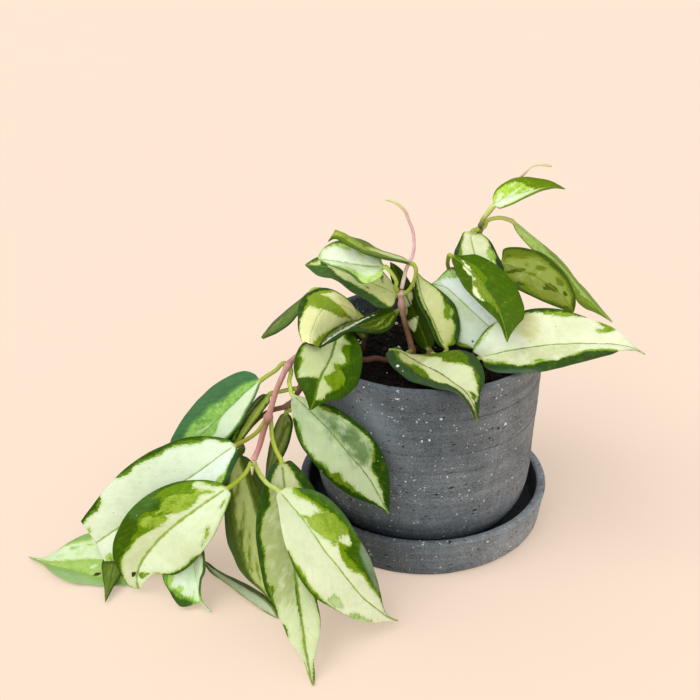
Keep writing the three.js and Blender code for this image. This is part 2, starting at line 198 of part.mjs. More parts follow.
    left: [[-7.3,5.1,139],[-9.2,7.5,139],[-12,11.3,138.7],[-16,14,139.1],[-20.9,15.9,139.9],[-25.7,17.8,141.2],[-30.2,18.9,143.5],[-34.9,19,145.5],[-39.3,17.9,147.2],[-42.8,16.2,150.1],[-45.9,12.4,152.8]],
    right: [[-7.2,2.9,139.5],[-9.4,1.5,140.3],[-12.4,-1.1,141.9],[-16.7,-3,143.5],[-21.8,-3.4,144.5],[-27,-2.3,145.2],[-32,-0.7,146.4],[-36.8,1.4,148.2],[-41.5,3.8,149.1],[-45.6,7.6,150],[-46.2,11.6,152.8]] },
  leaf_centre_back: { color: 0x8c9c52, up: 1,
    petiole: [[2.1,-1.8,92.3]],
    midrib: [[1.8,2,92],[1.1,3.1,94.2],[0,4.8,97.1],[-1.8,7.5,100.9],[-4.1,10.9,105.3],[-6.7,14.2,109.7],[-9.3,17.3,114.2],[-11.9,20,118.9],[-14.4,22.4,123.3],[-16.9,24.4,127.2],[-19.3,26,130.7]],
    left: [[0.8,2.3,91.5],[-0.7,3.9,92.1],[-3.5,6.7,93],[-6.4,10.7,95.9],[-9.1,15.1,100.1],[-11.5,18.7,104.7],[-14.1,21.5,109.7],[-16.5,23.4,115.2],[-18.2,24.6,120.7],[-19,25.3,125.9],[-19.6,26.1,130.5]],
    right: [[2.8,1.7,92.5],[3.9,2.3,93.9],[4.6,3.4,97.3],[3.8,5.7,102],[1,8.9,107],[-1.9,12.3,111.8],[-4.9,15.7,116.5],[-7.9,19,121.3],[-11.1,22,125.5],[-14.7,24.5,128.7],[-19,25.9,131]] },
  leaf_centre_cream: { color: 0xc9d6a0, up: 1,
    petiole: [[4,-4.9,94.5],[5.8,-7,94.8],[9.2,-10,97.6]],
    midrib: [[10.6,-9,99.3],[9.4,-8.1,100.9],[7.9,-6.9,103.1],[6,-4.9,106.4],[3.9,-2.4,110.4],[1.7,0.2,114.3],[-0.9,2.7,118],[-2.7,5.2,122],[-3.9,7.5,126],[-4.9,9.4,129.6],[-5.8,11,133.1]],
    left: [[9.6,-9.4,98.8],[7.9,-9.3,100.3],[5.7,-9.2,102.3],[3.7,-7.9,106.1],[1.7,-5.6,110.5],[-0.5,-3,114.6],[-3.4,-0.2,118.3],[-5.3,2.8,122.2],[-6,5.9,126.1],[-6.1,8.6,129.7],[-6.2,10.9,133]],
    right: [[11.6,-8.6,99.8],[13.3,-8.7,100.5],[15.5,-7.8,103],[16.6,-5.6,107.4],[16.3,-2.6,112.7],[14.6,0.6,117.8],[10.9,3.4,121.7],[6.2,5.7,125],[1.6,7.6,127.7],[-2.6,9.3,130],[-5.4,11.1,133.1]] },
  leaf_right_mint: { color: 0xc9d6a0, up: 1,
    petiole: [[30.4,2.3,96.3],[32.7,1,96.8],[35.9,-2.5,100.4]],
    midrib: [[36,-6,104.9],[34.5,-5.2,106.4],[32.4,-4.1,108.3],[29.3,-2.3,110.8],[25.4,0.2,113.4],[21.5,2.4,116.3],[17.6,4.5,119.3],[13.6,6.7,122],[9.8,8.8,124.4],[6,10.8,124.9],[2.4,12.5,125]],
    left: [[35.2,-6.5,104.3],[35.4,-8.1,101.7],[32.9,-9.1,100.2],[26.9,-9.1,99.6],[20,-7.4,99.4],[13.8,-5.2,100.8],[9.6,-2.1,105.6],[6.9,1.5,111.1],[4.5,4.9,116],[3.1,8.7,120.4],[2.3,12.3,124.6]],
    right: [[36.9,-5.5,105.5],[37.7,-4.1,107.8],[38.7,-1.8,111.1],[37.4,1.3,115.4],[32.6,5.1,120.1],[27.9,8.1,124.8],[22.9,10.5,129.6],[17.2,12.2,133.4],[10.9,12.9,133.8],[6.5,12.6,129.2],[2.5,12.7,125.3]] },
  leaf_right_back: { color: 0xc9d6a0, up: -1,
    petiole: [[23.1,12.5,154.4]],
    midrib: [[21.7,11.2,154.7],[20.9,10.8,153.2],[20.7,10.2,150.9],[21.4,9.3,147.7],[22.6,7.8,144],[23.9,6.1,140.4],[25.2,4.4,136.9],[26.3,2.5,133.4],[27.4,0.9,130.2],[28.4,-0.6,127.2],[29.4,-2,124.6]],
    left: [[20.7,11.1,155.3],[18.9,11.1,154.6],[16.7,10.5,153.4],[14.9,8.9,149.2],[12.7,7.1,144.6],[12.8,4.9,139.6],[14.2,2.8,134.9],[17.2,0.9,130.8],[21,-0.5,127.6],[24.9,-1.3,125.7],[29,-2,124.5]],
    right: [[22.7,11.3,154.1],[24.2,11.8,153.5],[26.9,12.5,151.9],[30.2,12.3,148.9],[32.9,11.1,144.8],[35.2,8.9,140.7],[37.3,6,136.8],[37.4,2.7,132.7],[36.2,-0.1,129.3],[33.1,-1.2,126.6],[29.7,-2,124.7]] },
  leaf_right_front_green: { color: 0x3f7a1c, up: -1,
    petiole: [[23.6,15.3,122.2],[18,17,122.8],[12.3,18,127.7],[10.1,15.5,133.7],[10,8,140.9]],
    midrib: [[10.6,2,145.3],[12.8,0.2,144.4],[15.8,-2.1,142.9],[19.7,-5.8,140.7],[23.8,-10.8,138.3],[27.5,-16.4,136.2],[30.9,-21.8,133.4],[33.5,-27.5,130.3],[35.3,-32.8,127.2],[36.6,-37.3,123.8],[37.4,-41,120.2]],
    left: [[9.9,1.2,145.1],[11.4,-1.3,143.8],[12.7,-5.3,141.9],[14.7,-10.3,139],[17.7,-16.2,136],[21.8,-21.8,133.9],[25.9,-26.8,131.7],[30.2,-31.5,129.6],[33.7,-35.5,127],[35.7,-38.6,123.7],[37.1,-41.1,120.2]],
    right: [[11.4,2.8,145.4],[14,2.5,144.7],[18.8,2.9,144.7],[25.4,1.4,145.3],[32.5,-3.5,143.1],[38.4,-10,140.3],[42.8,-17.3,136.4],[45.4,-26.1,132.4],[44.6,-33.1,128],[40.4,-36.8,124.2],[37.8,-40.9,120.2]] },
  leaf_right_large: { color: 0xc9d6a0, up: 1,
    petiole: [[27.8,0.6,94.6],[27.9,-8,97.9],[27,-18,100.6]],
    midrib: [[25.6,-27,104.2],[29.2,-28.1,106],[34.4,-29,108.1],[42.1,-29,110.2],[51.7,-28.9,111.9],[61.4,-27.9,112.9],[71,-27,113.2],[80.7,-26.2,112.9],[89.5,-25.1,112.2],[97.5,-25,110.7],[104.1,-25,107.6]],
    left: [[25.4,-26.3,105],[22.2,-26.3,107.8],[25.5,-24.5,114.1],[32.5,-21.1,120.5],[43.4,-18.6,124.9],[55.2,-16.7,126.8],[67.4,-15.3,124.8],[79,-15.7,120.6],[89.4,-17.5,117.2],[97,-21.4,111.9],[104.1,-24.6,107.6]],
    right: [[25.9,-27.7,103.3],[27.9,-33,103.2],[32.4,-39.1,103.5],[40.4,-43.6,105.6],[49.9,-46,107.3],[59.3,-45.4,109],[68.7,-43.4,111.2],[78.3,-39.7,112.5],[87.4,-34.3,112.8],[96.2,-29.2,111.9],[104.1,-25.4,107.6]] },
  leaf_right_spotted: { color: 0x7d9a3c, up: -1,
    petiole: [[27.3,15.6,134.3],[32.3,14,136.4]],
    midrib: [[35.1,12,137.9],[37.4,12.4,136.9],[40.6,12.8,135.5],[45.1,13.5,133.4],[50.5,14.1,130.9],[55.7,14.8,127.8],[60.6,15.4,124.4],[65.2,16.1,120.6],[69,16.8,116.6],[72,17.4,112.7],[74.2,18,108.8]],
    left: [[35.4,12.7,138.8],[36,14.6,141.9],[38.5,17.2,143.4],[44.9,20.1,142.7],[52.4,21.8,140.7],[59.3,22.5,137.5],[65.2,22.3,132.3],[70.2,21.5,126.5],[73.6,20.1,120.5],[75.3,18.4,114.7],[74.5,18.1,109]],
    right: [[34.8,11.3,137],[35.5,10,135.1],[36.5,8,132.7],[39.2,6.7,129.4],[43.9,6.3,126.3],[48.9,6.9,123.5],[54.1,8.1,120.4],[59.5,10.1,117.1],[64.6,12.8,113.9],[69.4,15.7,110.9],[73.9,17.9,108.5]] },
  leaf_right_narrow: { color: 0x88b048, up: 1,
    petiole: [[27.2,15,155.2],[28.8,15,158.5],[34.7,16.5,159.4]],
    midrib: [[40.7,18,157.3],[43.5,19.6,154.2],[47.6,21.7,150],[53.5,24.6,144],[60.4,27.9,136.5],[67.1,31.2,128.8],[73.6,34.1,120.8],[79.9,36.4,112.5],[86.2,37.8,105],[92.2,39,98.6],[98,40,93.1]],
    left: [[40.7,19,157.9],[44,23.3,153.5],[48.4,29.6,147.5],[54.6,35.6,140.2],[62.5,40.6,132.5],[69.8,44.1,124.7],[76.2,45.9,116.4],[82.7,46.1,109],[88.5,44.6,102.9],[93.6,42.3,97.8],[98.1,40.4,93.3]],
    right: [[40.7,17,156.8],[42.1,18.4,153.3],[45.3,19.3,148.6],[50.6,21.2,142.2],[57.6,23.9,134.8],[65.1,27.2,127.3],[72.1,30.2,119.2],[77.1,32.7,109.4],[83.7,35.2,102.3],[91.3,37.9,97.8],[97.9,39.6,93]] },
  leaf_top: { color: 0xa8c860, up: 1,
    petiole: [[25.5,13.3,157.5],[26.2,12.5,160.2],[28.5,12,164]],
    midrib: [[30.3,12,166.6],[31.9,12.7,167.7],[34.2,13.8,168.9],[37.6,15.3,170.2],[42,17.1,171.1],[46.3,19.1,171.6],[50.6,21.3,172],[55,23.2,172.3],[59.1,24.8,172.5],[62.9,26,172.1],[66.3,27,171.1]],
    left: [[29.7,13,166.7],[30.4,14.5,168.3],[31,17.5,170.5],[33.1,20.8,173.4],[37.6,23.7,175.9],[42.7,25.9,177.1],[48.2,27.7,176.9],[53.7,28.5,175.9],[58.5,28.5,174.9],[62.7,27.8,173.1],[66.2,27.4,171.1]],
    right: [[30.8,11,166.5],[32,9.1,167],[34.3,6.2,168.3],[37.6,4.7,170.4],[41.6,4.9,172.2],[45.6,6.8,173.5],[49.6,10,174.6],[54,14,174.8],[58.4,18.4,174.3],[62.5,23,173.2],[66.4,26.6,171.1]] },
  leaf_over_front_rim: { color: 0xc9d6a0, up: 1,
    petiole: [[-7.7,0.3,92.7],[-10.2,-5,94.1],[-14,-11.5,97.1]],
    midrib: [[-17.4,-14,100.5],[-14.6,-16.5,101.6],[-11,-20.4,102.4],[-6.6,-26.8,102.7],[-1.1,-34.2,103.3],[4.1,-41.8,104.9],[8.6,-49.8,106.5],[13.6,-57.7,106.6],[18.6,-64.6,105.8],[22.3,-68.1,100.6],[23.8,-69,93.6]],
    left: [[-16.7,-13.1,100.6],[-14.2,-12.6,101.6],[-9.7,-13.8,98.7],[-2,-17,99.5],[7.1,-22.9,104.6],[15.8,-33.9,112],[23.6,-46.3,114.6],[27.2,-56,110.9],[25.4,-61.6,105.3],[24.8,-65.7,99.4],[24,-68.7,93.6]],
    right: [[-18.2,-14.9,100.4],[-19.4,-18.8,100.9],[-17.6,-26.3,100.2],[-13.1,-36.2,100.5],[-7,-45.8,101.1],[-0.1,-53.8,103.7],[6.6,-61.2,105.9],[13.2,-66.6,108.1],[18,-71.1,106],[21,-71.2,100.5],[23.6,-69.3,93.6]] },
};

const V = (p) => new THREE.Vector3(...p);

function leafGeometry(leaf) {
  const mid = leaf.midrib.map(V), left = leaf.left.map(V), right = leaf.right.map(V);
  const n = mid.length;
  const tangent = mid.map((_, i) => V([0, 0, 0]).subVectors(mid[Math.min(i + 1, n - 1)], mid[Math.max(i - 1, 0)]).normalize());
  const rings = [];
  const normals = [];
  for (let i = 0; i < n; i++) {
    const across = V([0, 0, 0]).subVectors(right[i], left[i]);
    const nm = across.clone().cross(tangent[i]).normalize().multiplyScalar(leaf.up);
    const side = (v) => {
      const q = v.clone().cross(tangent[i]);
      if (v.length() < 0.3 || q.length() < 1e-6) return nm.clone();
      q.normalize().multiplyScalar(leaf.up);
      if (q.dot(nm) < 0.2) q.add(nm).normalize();
      return q;
    };
    const nl = side(V([0, 0, 0]).subVectors(mid[i], left[i]));
    const nr = side(V([0, 0, 0]).subVectors(right[i], mid[i]));
    const nc = nl.clone().add(nr).normalize();
    const h = (LEAF_THICKNESS / 2) * (i === n - 1 ? 0.5 : 1);
    const ml = mid[i].clone().add(left[i]).multiplyScalar(0.5);
    const mr = mid[i].clone().add(right[i]).multiplyScalar(0.5);
    normals.push(nm);
    rings.push([
      left[i], ml.clone().addScaledVector(nl, h), mid[i].clone().addScaledVector(nc, h), mr.clone().addScaledVector(nr, h),
      right[i], mr.clone().addScaledVector(nr, -h), mid[i].clone().addScaledVector(nc, -h), ml.clone().addScaledVector(nl, -h),
    ]);
  }
  // petiole, from the blade's base back to the stem
  const curve = new THREE.CatmullRomCurve3([...leaf.petiole.map(V), mid[0]], false, 'centripetal');
  const pts = curve.getSpacedPoints(PETIOLE_RINGS);
  let s = V([0, 0, 0]).subVectors(right[1], left[1]).normalize();
  let up = normals[1].clone();
  const petiole = [];
  for (let i = PETIOLE_RINGS - 1; i >= 0; i--) {
    const t = V([0, 0, 0]).subVectors(pts[i + 1], pts[Math.max(i - 1, 0)]).normalize();
    s = s.clone().addScaledVector(t, -s.dot(t)).normalize();
    const b = s.clone().cross(t);
    if (b.dot(up) < 0) b.negate();
    up = b;
    const ring = [];
    for (let k = 0; k < 8; k++) {
      const a = Math.PI - (k / 8) * Math.PI * 2;
      ring.push(pts[i].clone().addScaledVector(s, PETIOLE_RADIUS * Math.cos(a)).addScaledVector(b, PETIOLE_RADIUS * Math.sin(a)));
    }
    petiole.unshift(ring);
  }
  const all = [...petiole, ...rings];
  const position = [], index = [];
  for (const ring of all) for (const p of ring) position.push(p.x, p.y, p.z);
  const m = 8;
  for (let i = 0; i < all.length - 1; i++) {
    for (let j = 0; j < m; j++) {
      const a = i * m + j, b = i * m + (j + 1) % m, c = (i + 1) * m + (j + 1) % m, d = (i + 1) * m + j;
      // the same diagonal on the upper and lower face keeps the blade's thickness even
      if (j < 4) index.push(a, b, c, a, c, d); else index.push(a, b, d, b, c, d);
    }
  }
  for (let j = 1; j < m - 1; j++) index.push(0, j + 1, j);
  const o = (all.length - 1) * m;
  for (let j = 1; j < m - 1; j++) index.push(o, o + j, o + j + 1);
  // faces point out
  let volume = 0;
  const P = (k) => V([position[3 * k], position[3 * k + 1], position[3 * k + 2]]);
  for (let k = 0; k < index.length; k += 3) volume += P(index[k]).cross(P(index[k + 1])).dot(P(index[k + 2]));
  if (volume < 0) for (let k = 0; k < index.length; k += 3) [index[k + 1], index[k + 2]] = [index[k + 2], index[k + 1]];
  const g = new THREE.BufferGeometry();
  g.setAttribute('position', new THREE.Float32BufferAttribute(position, 3));
  g.setIndex(index);
  g.computeVertexNormals();
  return g;
}
for (const [name, leaf] of Object.entries(leaves)) put(name, leafGeometry(leaf), leafMat(leaf.color));

export default plant;
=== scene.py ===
# A potted wax plant with cream and green variegated leaves: a raw clay pot on its saucer,
# dark potting soil, upright stems in the middle and two stems that trail over the left rim.
# Everything is in metres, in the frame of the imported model.
import math
import bpy
import numpy as np
from mathutils import Matrix, Vector


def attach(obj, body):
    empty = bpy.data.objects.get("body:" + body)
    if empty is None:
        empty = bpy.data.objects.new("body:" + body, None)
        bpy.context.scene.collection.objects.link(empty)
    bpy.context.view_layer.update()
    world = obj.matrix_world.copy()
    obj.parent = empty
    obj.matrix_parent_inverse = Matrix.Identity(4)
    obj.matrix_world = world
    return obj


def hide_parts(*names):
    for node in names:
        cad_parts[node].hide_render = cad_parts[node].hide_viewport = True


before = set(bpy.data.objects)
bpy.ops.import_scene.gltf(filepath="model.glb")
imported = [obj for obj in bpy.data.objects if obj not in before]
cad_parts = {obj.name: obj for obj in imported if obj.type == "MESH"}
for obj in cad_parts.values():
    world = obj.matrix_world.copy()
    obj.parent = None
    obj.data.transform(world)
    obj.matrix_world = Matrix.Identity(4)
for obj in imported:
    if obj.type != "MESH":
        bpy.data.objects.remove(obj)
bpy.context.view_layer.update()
MM = 0.001

# ------------------------------------------------------------------ shape tables (mm)
# Each leaf: root (a point in its stem), petiole route, and the blade's midrib and margins
# from base to tip at the stations US. up tells which side of left x right is the upper face.
US = np.array([0, .03, .07, .12, .18, .25, .33, .41, .49, .57, .65, .73, .80, .86, .91, .95, .98, 1.0])
LEAVES = {
 "leaf_trail_back_left": dict(up=-1, root=(-65.3,-33.8,101.7),
  pet=[(-68.1,-34.3,102.5),(-70.9,-38,100.8),(-75.4,-41,98.7)],
  mid=[(-77.3,-42,97.6),(-78.9,-41.9,96),(-81.1,-41.7,93.9),(-83.8,-41.3,91.2),(-86.9,-40.8,87.9),(-90.3,-39.9,83.9),(-94.2,-38.7,79.3),(-98,-37.5,74.7),(-101.9,-36.3,70.2),(-105.7,-35.1,65.6),(-109.6,-33.9,61),(-113.6,-32.7,56.6),(-117.1,-31.6,52.7),(-120.1,-30.7,49.4),(-122.7,-30.1,46.6),(-124.8,-29.6,44.4),(-126.3,-29.2,42.8),(-127.4,-29,41.7)],
  left=[(-77.3,-41.9,97.8),(-79.3,-39.2,97.8),(-82.3,-35.2,97.1),(-86.1,-32,96.5),(-90.7,-29.3,94.3),(-96,-26.6,90.4),(-101.6,-24.5,85.9),(-106.8,-23.4,81.3),(-111.5,-23,76.4),(-115.8,-23.1,71.4),(-119.6,-23.8,66.4),(-122.8,-25.5,61.6),(-125.3,-27.9,57.8),(-127.2,-29.3,53.9),(-127.7,-29.4,49.8),(-127.9,-29.2,46.2),(-127.9,-29.1,43.6),(-127.8,-29.1,41.8)],
  right=[(-77.3,-42.1,97.4),(-77.9,-43.7,96.3),(-78.5,-46.8,95.4),(-79.5,-48.7,93.2),(-80.9,-50.2,90.1),(-83,-50.9,86),(-85.8,-50.6,80.8),(-89,-49.8,75.3),(-92.6,-48.5,69.7),(-96.7,-46.7,64.4),(-101.4,-44.5,59.1),(-106.7,-41.5,53.8),(-111.7,-38.1,48.5),(-116.2,-34.8,44.7),(-120,-32.2,42.9),(-123,-30.8,41.9),(-125.3,-29.8,41.5),(-126.8,-29.2,41.2)]),
 "leaf_trail_against_pot": dict(up=-1, root=(-65.7,-34.5,101.2),
  pet=[(-64.1,-35,98.9),(-64.7,-39,95),(-63.8,-41.5,92.6)],
  mid=[(-63.2,-43,90.7),(-61.5,-44.5,90),(-59.1,-46.5,89),(-56.2,-48.9,87.6),(-52.8,-51.7,85.8),(-48.7,-55.1,83.6),(-44.2,-58.3,80.6),(-39.9,-60.8,76.4),(-35.6,-62.8,72),(-31.4,-64,67.3),(-27.6,-64,62.1),(-24.2,-64,56.6),(-21.8,-63.8,51.5),(-19.9,-63.4,47.1),(-18.3,-63,43.4),(-17.1,-62.6,40.5),(-16.2,-62.3,38.3),(-15.6,-62,36.8)],
  left=[(-63.2,-43,90.7),(-63.2,-45.8,89.6),(-62.8,-49.7,88.2),(-62,-53.7,86),(-60.9,-57.8,83.1),(-59.2,-62,79.5),(-56.3,-65.8,75.3),(-52.4,-68.2,71.2),(-48.5,-69.7,66.5),(-44.3,-69.9,61.3),(-39.7,-69.1,56.1),(-34.6,-68.3,51.6),(-29.6,-67.2,48.3),(-25.2,-65.9,45.7),(-21.6,-64.5,43.1),(-18.9,-63.3,40.5),(-17,-62.4,38.3),(-15.7,-62,36.8)],
  right=[(-63.2,-43,90.7),(-60.6,-44.3,90.9),(-57.2,-46.4,91.2),(-53,-48.5,91.1),(-48.1,-50.8,90.9),(-42.4,-53.2,90.4),(-36.6,-55.7,88.5),(-31.4,-57.7,85),(-26.3,-58.9,81.1),(-22.1,-60.1,76),(-18.9,-60.5,69.7),(-16.6,-61.1,62.9),(-15.6,-61.4,56.4),(-15.4,-61.7,50.6),(-15.3,-61.8,45.7),(-15.3,-61.9,41.8),(-15.4,-61.9,38.8),(-15.5,-62,36.8)]),
 "leaf_trail_folded": dict(up=-1, root=(-60,-38.5,90.9),
  pet=[(-62.3,-38.8,91.3),(-69.2,-39.5,89.9)],
  mid=[(-73.7,-40.5,89.3),(-74.3,-40.8,88.5),(-75.2,-41.2,87.4),(-76.3,-41.7,86.1),(-77.6,-42.3,84.5),(-79,-42.8,82.5),(-80.7,-43.2,80.3),(-82.2,-43.4,77.9),(-83.7,-43.5,75.5),(-85.2,-43.5,73),(-86.6,-43.5,70.6),(-88,-43.5,68.1),(-89.3,-43.5,65.9),(-90.4,-43.5,64.1),(-91.5,-43.5,62.7),(-92.4,-43.5,61.6),(-93.1,-43.5,60.8),(-93.6,-43.5,60.3)],
  left=[(-73.9,-40.2,89.9),(-75.1,-39.3,89),(-76.8,-37.1,87.1),(-78.6,-35.7,85.3),(-80.6,-34.7,83.2),(-82.6,-34.1,80.7),(-84.8,-33.8,78.1),(-86.9,-33.9,75.6),(-88.8,-34.3,73.2),(-90.5,-35,70.9),(-92.2,-36.2,68.8),(-93.6,-38,67),(-94.9,-40.6,66.1),(-95.6,-42.6,65.2),(-95.5,-43.5,63.8),(-95.1,-43.6,62.3),(-94.5,-43.6,61.1),(-94,-43.6,60.3)],
  right=[(-73.4,-40.8,88.6),(-73.6,-41,87.6),(-73.9,-41,86.1),(-74.4,-41,84.5),(-75.6,-41.1,82.6),(-77.1,-41.2,80.6),(-78.8,-41.3,78.2),(-80.5,-41.4,75.9),(-82.2,-41.5,73.5),(-83.7,-41.7,71.1),(-85.3,-41.9,68.7),(-87,-42.2,66.4),(-88.5,-42.5,64.5),(-89.9,-42.9,63.1),(-91,-43.2,61.9),(-92,-43.5,61),(-92.8,-43.7,60.3),(-93.3,-43.7,59.9)]),
 "leaf_trail_behind_stem": dict(up=1, root=(-65.7,-36.5,80.9),
  pet=[(-64.8,-36.7,78.2)],
  mid=[(-66.8,-36,77.2),(-67,-35.6,75.8),(-67.3,-35.2,74),(-67.8,-34.7,71.7),(-68.3,-34.2,68.9),(-69.1,-33.7,65.7),(-70,-33.2,62),(-71,-32.8,58.3),(-72.2,-32.5,54.7),(-73.3,-32.2,51),(-74.5,-31.8,47.4),(-75.7,-31.5,43.8),(-76.8,-31.2,40.6),(-77.6,-31,37.9),(-78.3,-30.7,35.6),(-78.8,-30.4,33.8),(-79.2,-30.2,32.4),(-79.4,-30,31.5)],
  left=[(-67.1,-36,77.2),(-68.3,-34.8,75.8),(-69.8,-32.5,73.4),(-71.2,-30.8,70.7),(-72.6,-29.3,67.5),(-74,-28.1,63.8),(-75.3,-27.1,59.8),(-76.4,-26.5,56),(-77.2,-26.2,52.3),(-77.9,-26.2,48.7),(-78.4,-26.4,45.2),(-78.8,-26.9,41.9),(-79.1,-27.5,39.1),(-79.2,-28.3,36.8),(-79.3,-28.9,34.9),(-79.4,-29.5,33.5),(-79.4,-29.9,32.4),(-79.4,-30,31.5)],
  right=[(-66.6,-36,77.2),(-65.8,-36.1,76.3),(-65,-36.9,75.3),(-64.2,-37.3,73.5),(-63.8,-37.6,71),(-64.1,-37.8,68.1),(-64.8,-37.8,64.5),(-65.6,-37.6,60.8),(-66.9,-37.2,57.2),(-68.5,-36.7,53.4),(-70.1,-35.9,49.6),(-72,-34.9,45.7),(-73.7,-33.8,42.2),(-75.3,-32.7,39),(-76.5,-31.7,36.3),(-77.6,-30.8,34.1),(-78.4,-30.2,32.5),(-78.9,-29.9,31.5)]),
 "leaf_trail_cut_end": dict(up=-1, root=(-72.5,-58.5,86.7),
  pet=[(-73.9,-57.4,84.9),(-78.3,-57.5,77.8),(-83.9,-57,72.9)],
  mid=[(-87.8,-57,70.5),(-90,-57.6,69.1),(-93,-58.4,67.1),(-96.6,-59.2,64.5),(-100.8,-60.1,61.3),(-105.8,-60.9,57.4),(-111.7,-61.8,53.3),(-117.6,-62.6,49.1),(-123.3,-63.2,44.8),(-129,-63.6,40.3),(-134.6,-63.9,35.7),(-140.2,-64.4,31.2),(-145.2,-64.9,27.3),(-149.5,-65,23.9),(-153,-65,21.1),(-155.9,-65,18.9),(-158,-65,17.2),(-159.5,-65,16.1)],
  left=[(-87.8,-57,70.5),(-90.6,-54.7,70.7),(-94.6,-51.4,69.8),(-99.5,-49.4,69.4),(-105.3,-48.4,69.1),(-111.8,-48.7,68.7),(-118.9,-49.9,67.4),(-125.6,-52.1,65.1),(-132.1,-54.1,62.5),(-138.7,-54.9,58),(-144.9,-55.7,52.9),(-150.6,-56.8,47.3),(-155.1,-58,42),(-159,-58.9,37.3),(-162.1,-59.6,33.1),(-164.6,-60.2,29.8),(-166.4,-60.7,27.3),(-167.6,-61,25.6)],
  right=[(-87.8,-57,70.5),(-86.9,-59.3,68.7),(-86.7,-63.3,67.1),(-88.4,-66.6,64.1),(-90.4,-69.6,60),(-93.6,-72,54.9),(-98.2,-73.8,48.9),(-103.2,-74.5,42.4),(-108.9,-73.2,34.5),(-114.9,-71.6,26.4),(-121.2,-71.9,20.4),(-128,-72.7,15.8),(-134.6,-72.6,13.1),(-140.6,-72.2,11.1),(-145.7,-71.4,9.8),(-149.8,-70.8,8.9),(-153,-70.3,8.3),(-155,-69.9,7.9)]),
 "leaf_trail_front_left": dict(up=-1, root=(-77.9,-76,73.4),
  pet=[(-79.1,-76.6,71.5),(-81.7,-78,67.2),(-85.7,-79.5,63.6)],
  mid=[(-88.5,-80,61.4),(-90.4,-80.4,60.1),(-93,-80.9,58.4),(-96.1,-81.4,56.1),(-99.9,-81.9,53.4),(-104.3,-82.5,50.1),(-109.1,-82.9,46.2),(-113.9,-83,42.1),(-118.4,-83,37.8),(-122.6,-82.8,33.2),(-126.5,-82.5,28.3),(-130.2,-82.5,23.2),(-132.9,-82.5,18.5),(-134.7,-82.5,14.2),(-135.8,-82.8,10.4),(-136,-83.1,7.3),(-135.7,-83.3,5),(-135.4,-83.5,3.5)],
  left=[(-88.5,-80,61.4),(-91.3,-78.4,61.8),(-95.3,-76.3,61.5),(-100.3,-74.9,61.4),(-106.2,-74.1,60.7),(-113.1,-74,59.7),(-120.5,-74.9,57.4),(-127.4,-76.1,53.8),(-133.6,-78.1,49.3),(-138.9,-80,43.6),(-143.1,-81.4,36.2),(-146.1,-82.6,27.9),(-146.4,-83.1,20),(-144.5,-83.1,13.5),(-142.3,-83.6,8.5),(-140.1,-84.3,5.1),(-137.7,-84.3,3.8),(-135.8,-83.9,3.2)],
  right=[(-88.5,-80,61.4),(-87.6,-81.4,60),(-87.8,-84.2,58.7),(-88.8,-86.3,56.2),(-90.2,-88.1,52.7),(-92.1,-89.4,48.1),(-94.7,-90,42.3),(-98.1,-89.9,36.3),(-102,-89.1,30.1),(-106.4,-87.7,23.5),(-111.3,-86.9,18.1),(-116.6,-87.6,15.4),(-121.8,-87.1,15.2),(-126.4,-85.5,14.4),(-129.6,-85.1,11),(-132,-84.4,7.7),(-133.8,-83.7,4.9),(-134.9,-83.6,3.3)]),
 "leaf_trail_long": dict(up=-1, root=(-72.6,-58.7,86.6),
  pet=[(-71.4,-58.4,84.2),(-70.6,-62,78.1),(-68.6,-65,72.9)],
  mid=[(-66.1,-67,68.7),(-65.5,-68.4,66),(-64.8,-70.6,62.6),(-63.9,-73.9,58.6),(-62.9,-78.1,54.1),(-61.8,-83.3,49.1),(-60.3,-89.6,43.9),(-58.7,-96.2,39.1),(-57,-102.5,34),(-55.2,-108.9,29),(-53.5,-115.6,24.4),(-51.8,-122.2,19.6),(-50.3,-127.7,15.1),(-49.1,-131.9,10.6),(-48,-134.9,6.6),(-47,-137.1,3.2),(-46.2,-139,0.9),(-45.5,-141.8,0.9)],
  left=[(-66.1,-67,68.7),(-69.1,-67.9,67.9),(-71.4,-70.8,64.9),(-73,-74.7,61),(-74.6,-79.7,56.5),(-75.6,-85.6,51.1),(-75.5,-92.6,45.2),(-73.8,-99.7,39.5),(-71.6,-106.2,33.7),(-68.9,-112.7,28.2),(-63.9,-118.9,23.7),(-59.8,-124.8,18.7),(-56.5,-129.7,14.1),(-52.2,-132.8,10.5),(-49.4,-135.4,6.8),(-48.1,-137.4,3.3),(-46.8,-139.1,0.9),(-45.7,-141.8,0.9)],
  right=[(-66.1,-67,68.7),(-62.8,-66.2,68.7),(-58.9,-67.4,66.3),(-54.9,-70,63),(-50.5,-73.6,58.8),(-46.8,-78.7,53.5),(-44.1,-85.4,47.5),(-43.2,-92,41.3),(-43.3,-98.1,34.7),(-45.6,-104.6,28.7),(-45.8,-112,23.8),(-43.6,-120.1,19.4),(-43.6,-126.6,15.4),(-44.8,-131.1,11),(-45.4,-134.4,6.9),(-44.9,-136.7,3.4),(-44.8,-138.7,0.9),(-44.8,-141.8,0.9)]),
 "leaf_trail_front_right": dict(up=-1, root=(-77.9,-76,73.4),
  pet=[(-76.7,-77.3,71.9),(-74.2,-80,68.8),(-70.3,-83,65.7)],
  mid=[(-65.7,-85,64),(-63.8,-86.8,63.2),(-61.4,-89.2,61.9),(-58.4,-91.9,60),(-54.7,-94.8,57.3),(-50.7,-98.3,53.9),(-46.3,-101.9,49.5),(-42,-104.8,44.5),(-37.4,-106.6,39.4),(-33.2,-107.4,33.5),(-29.3,-107.4,27.5),(-25.3,-106.9,21.5),(-21.3,-105.9,16.7),(-18,-104.7,12.6),(-15.5,-103.4,9),(-13.2,-102.2,6.5),(-11.1,-101.5,5.2),(-9.5,-101,4.5)],
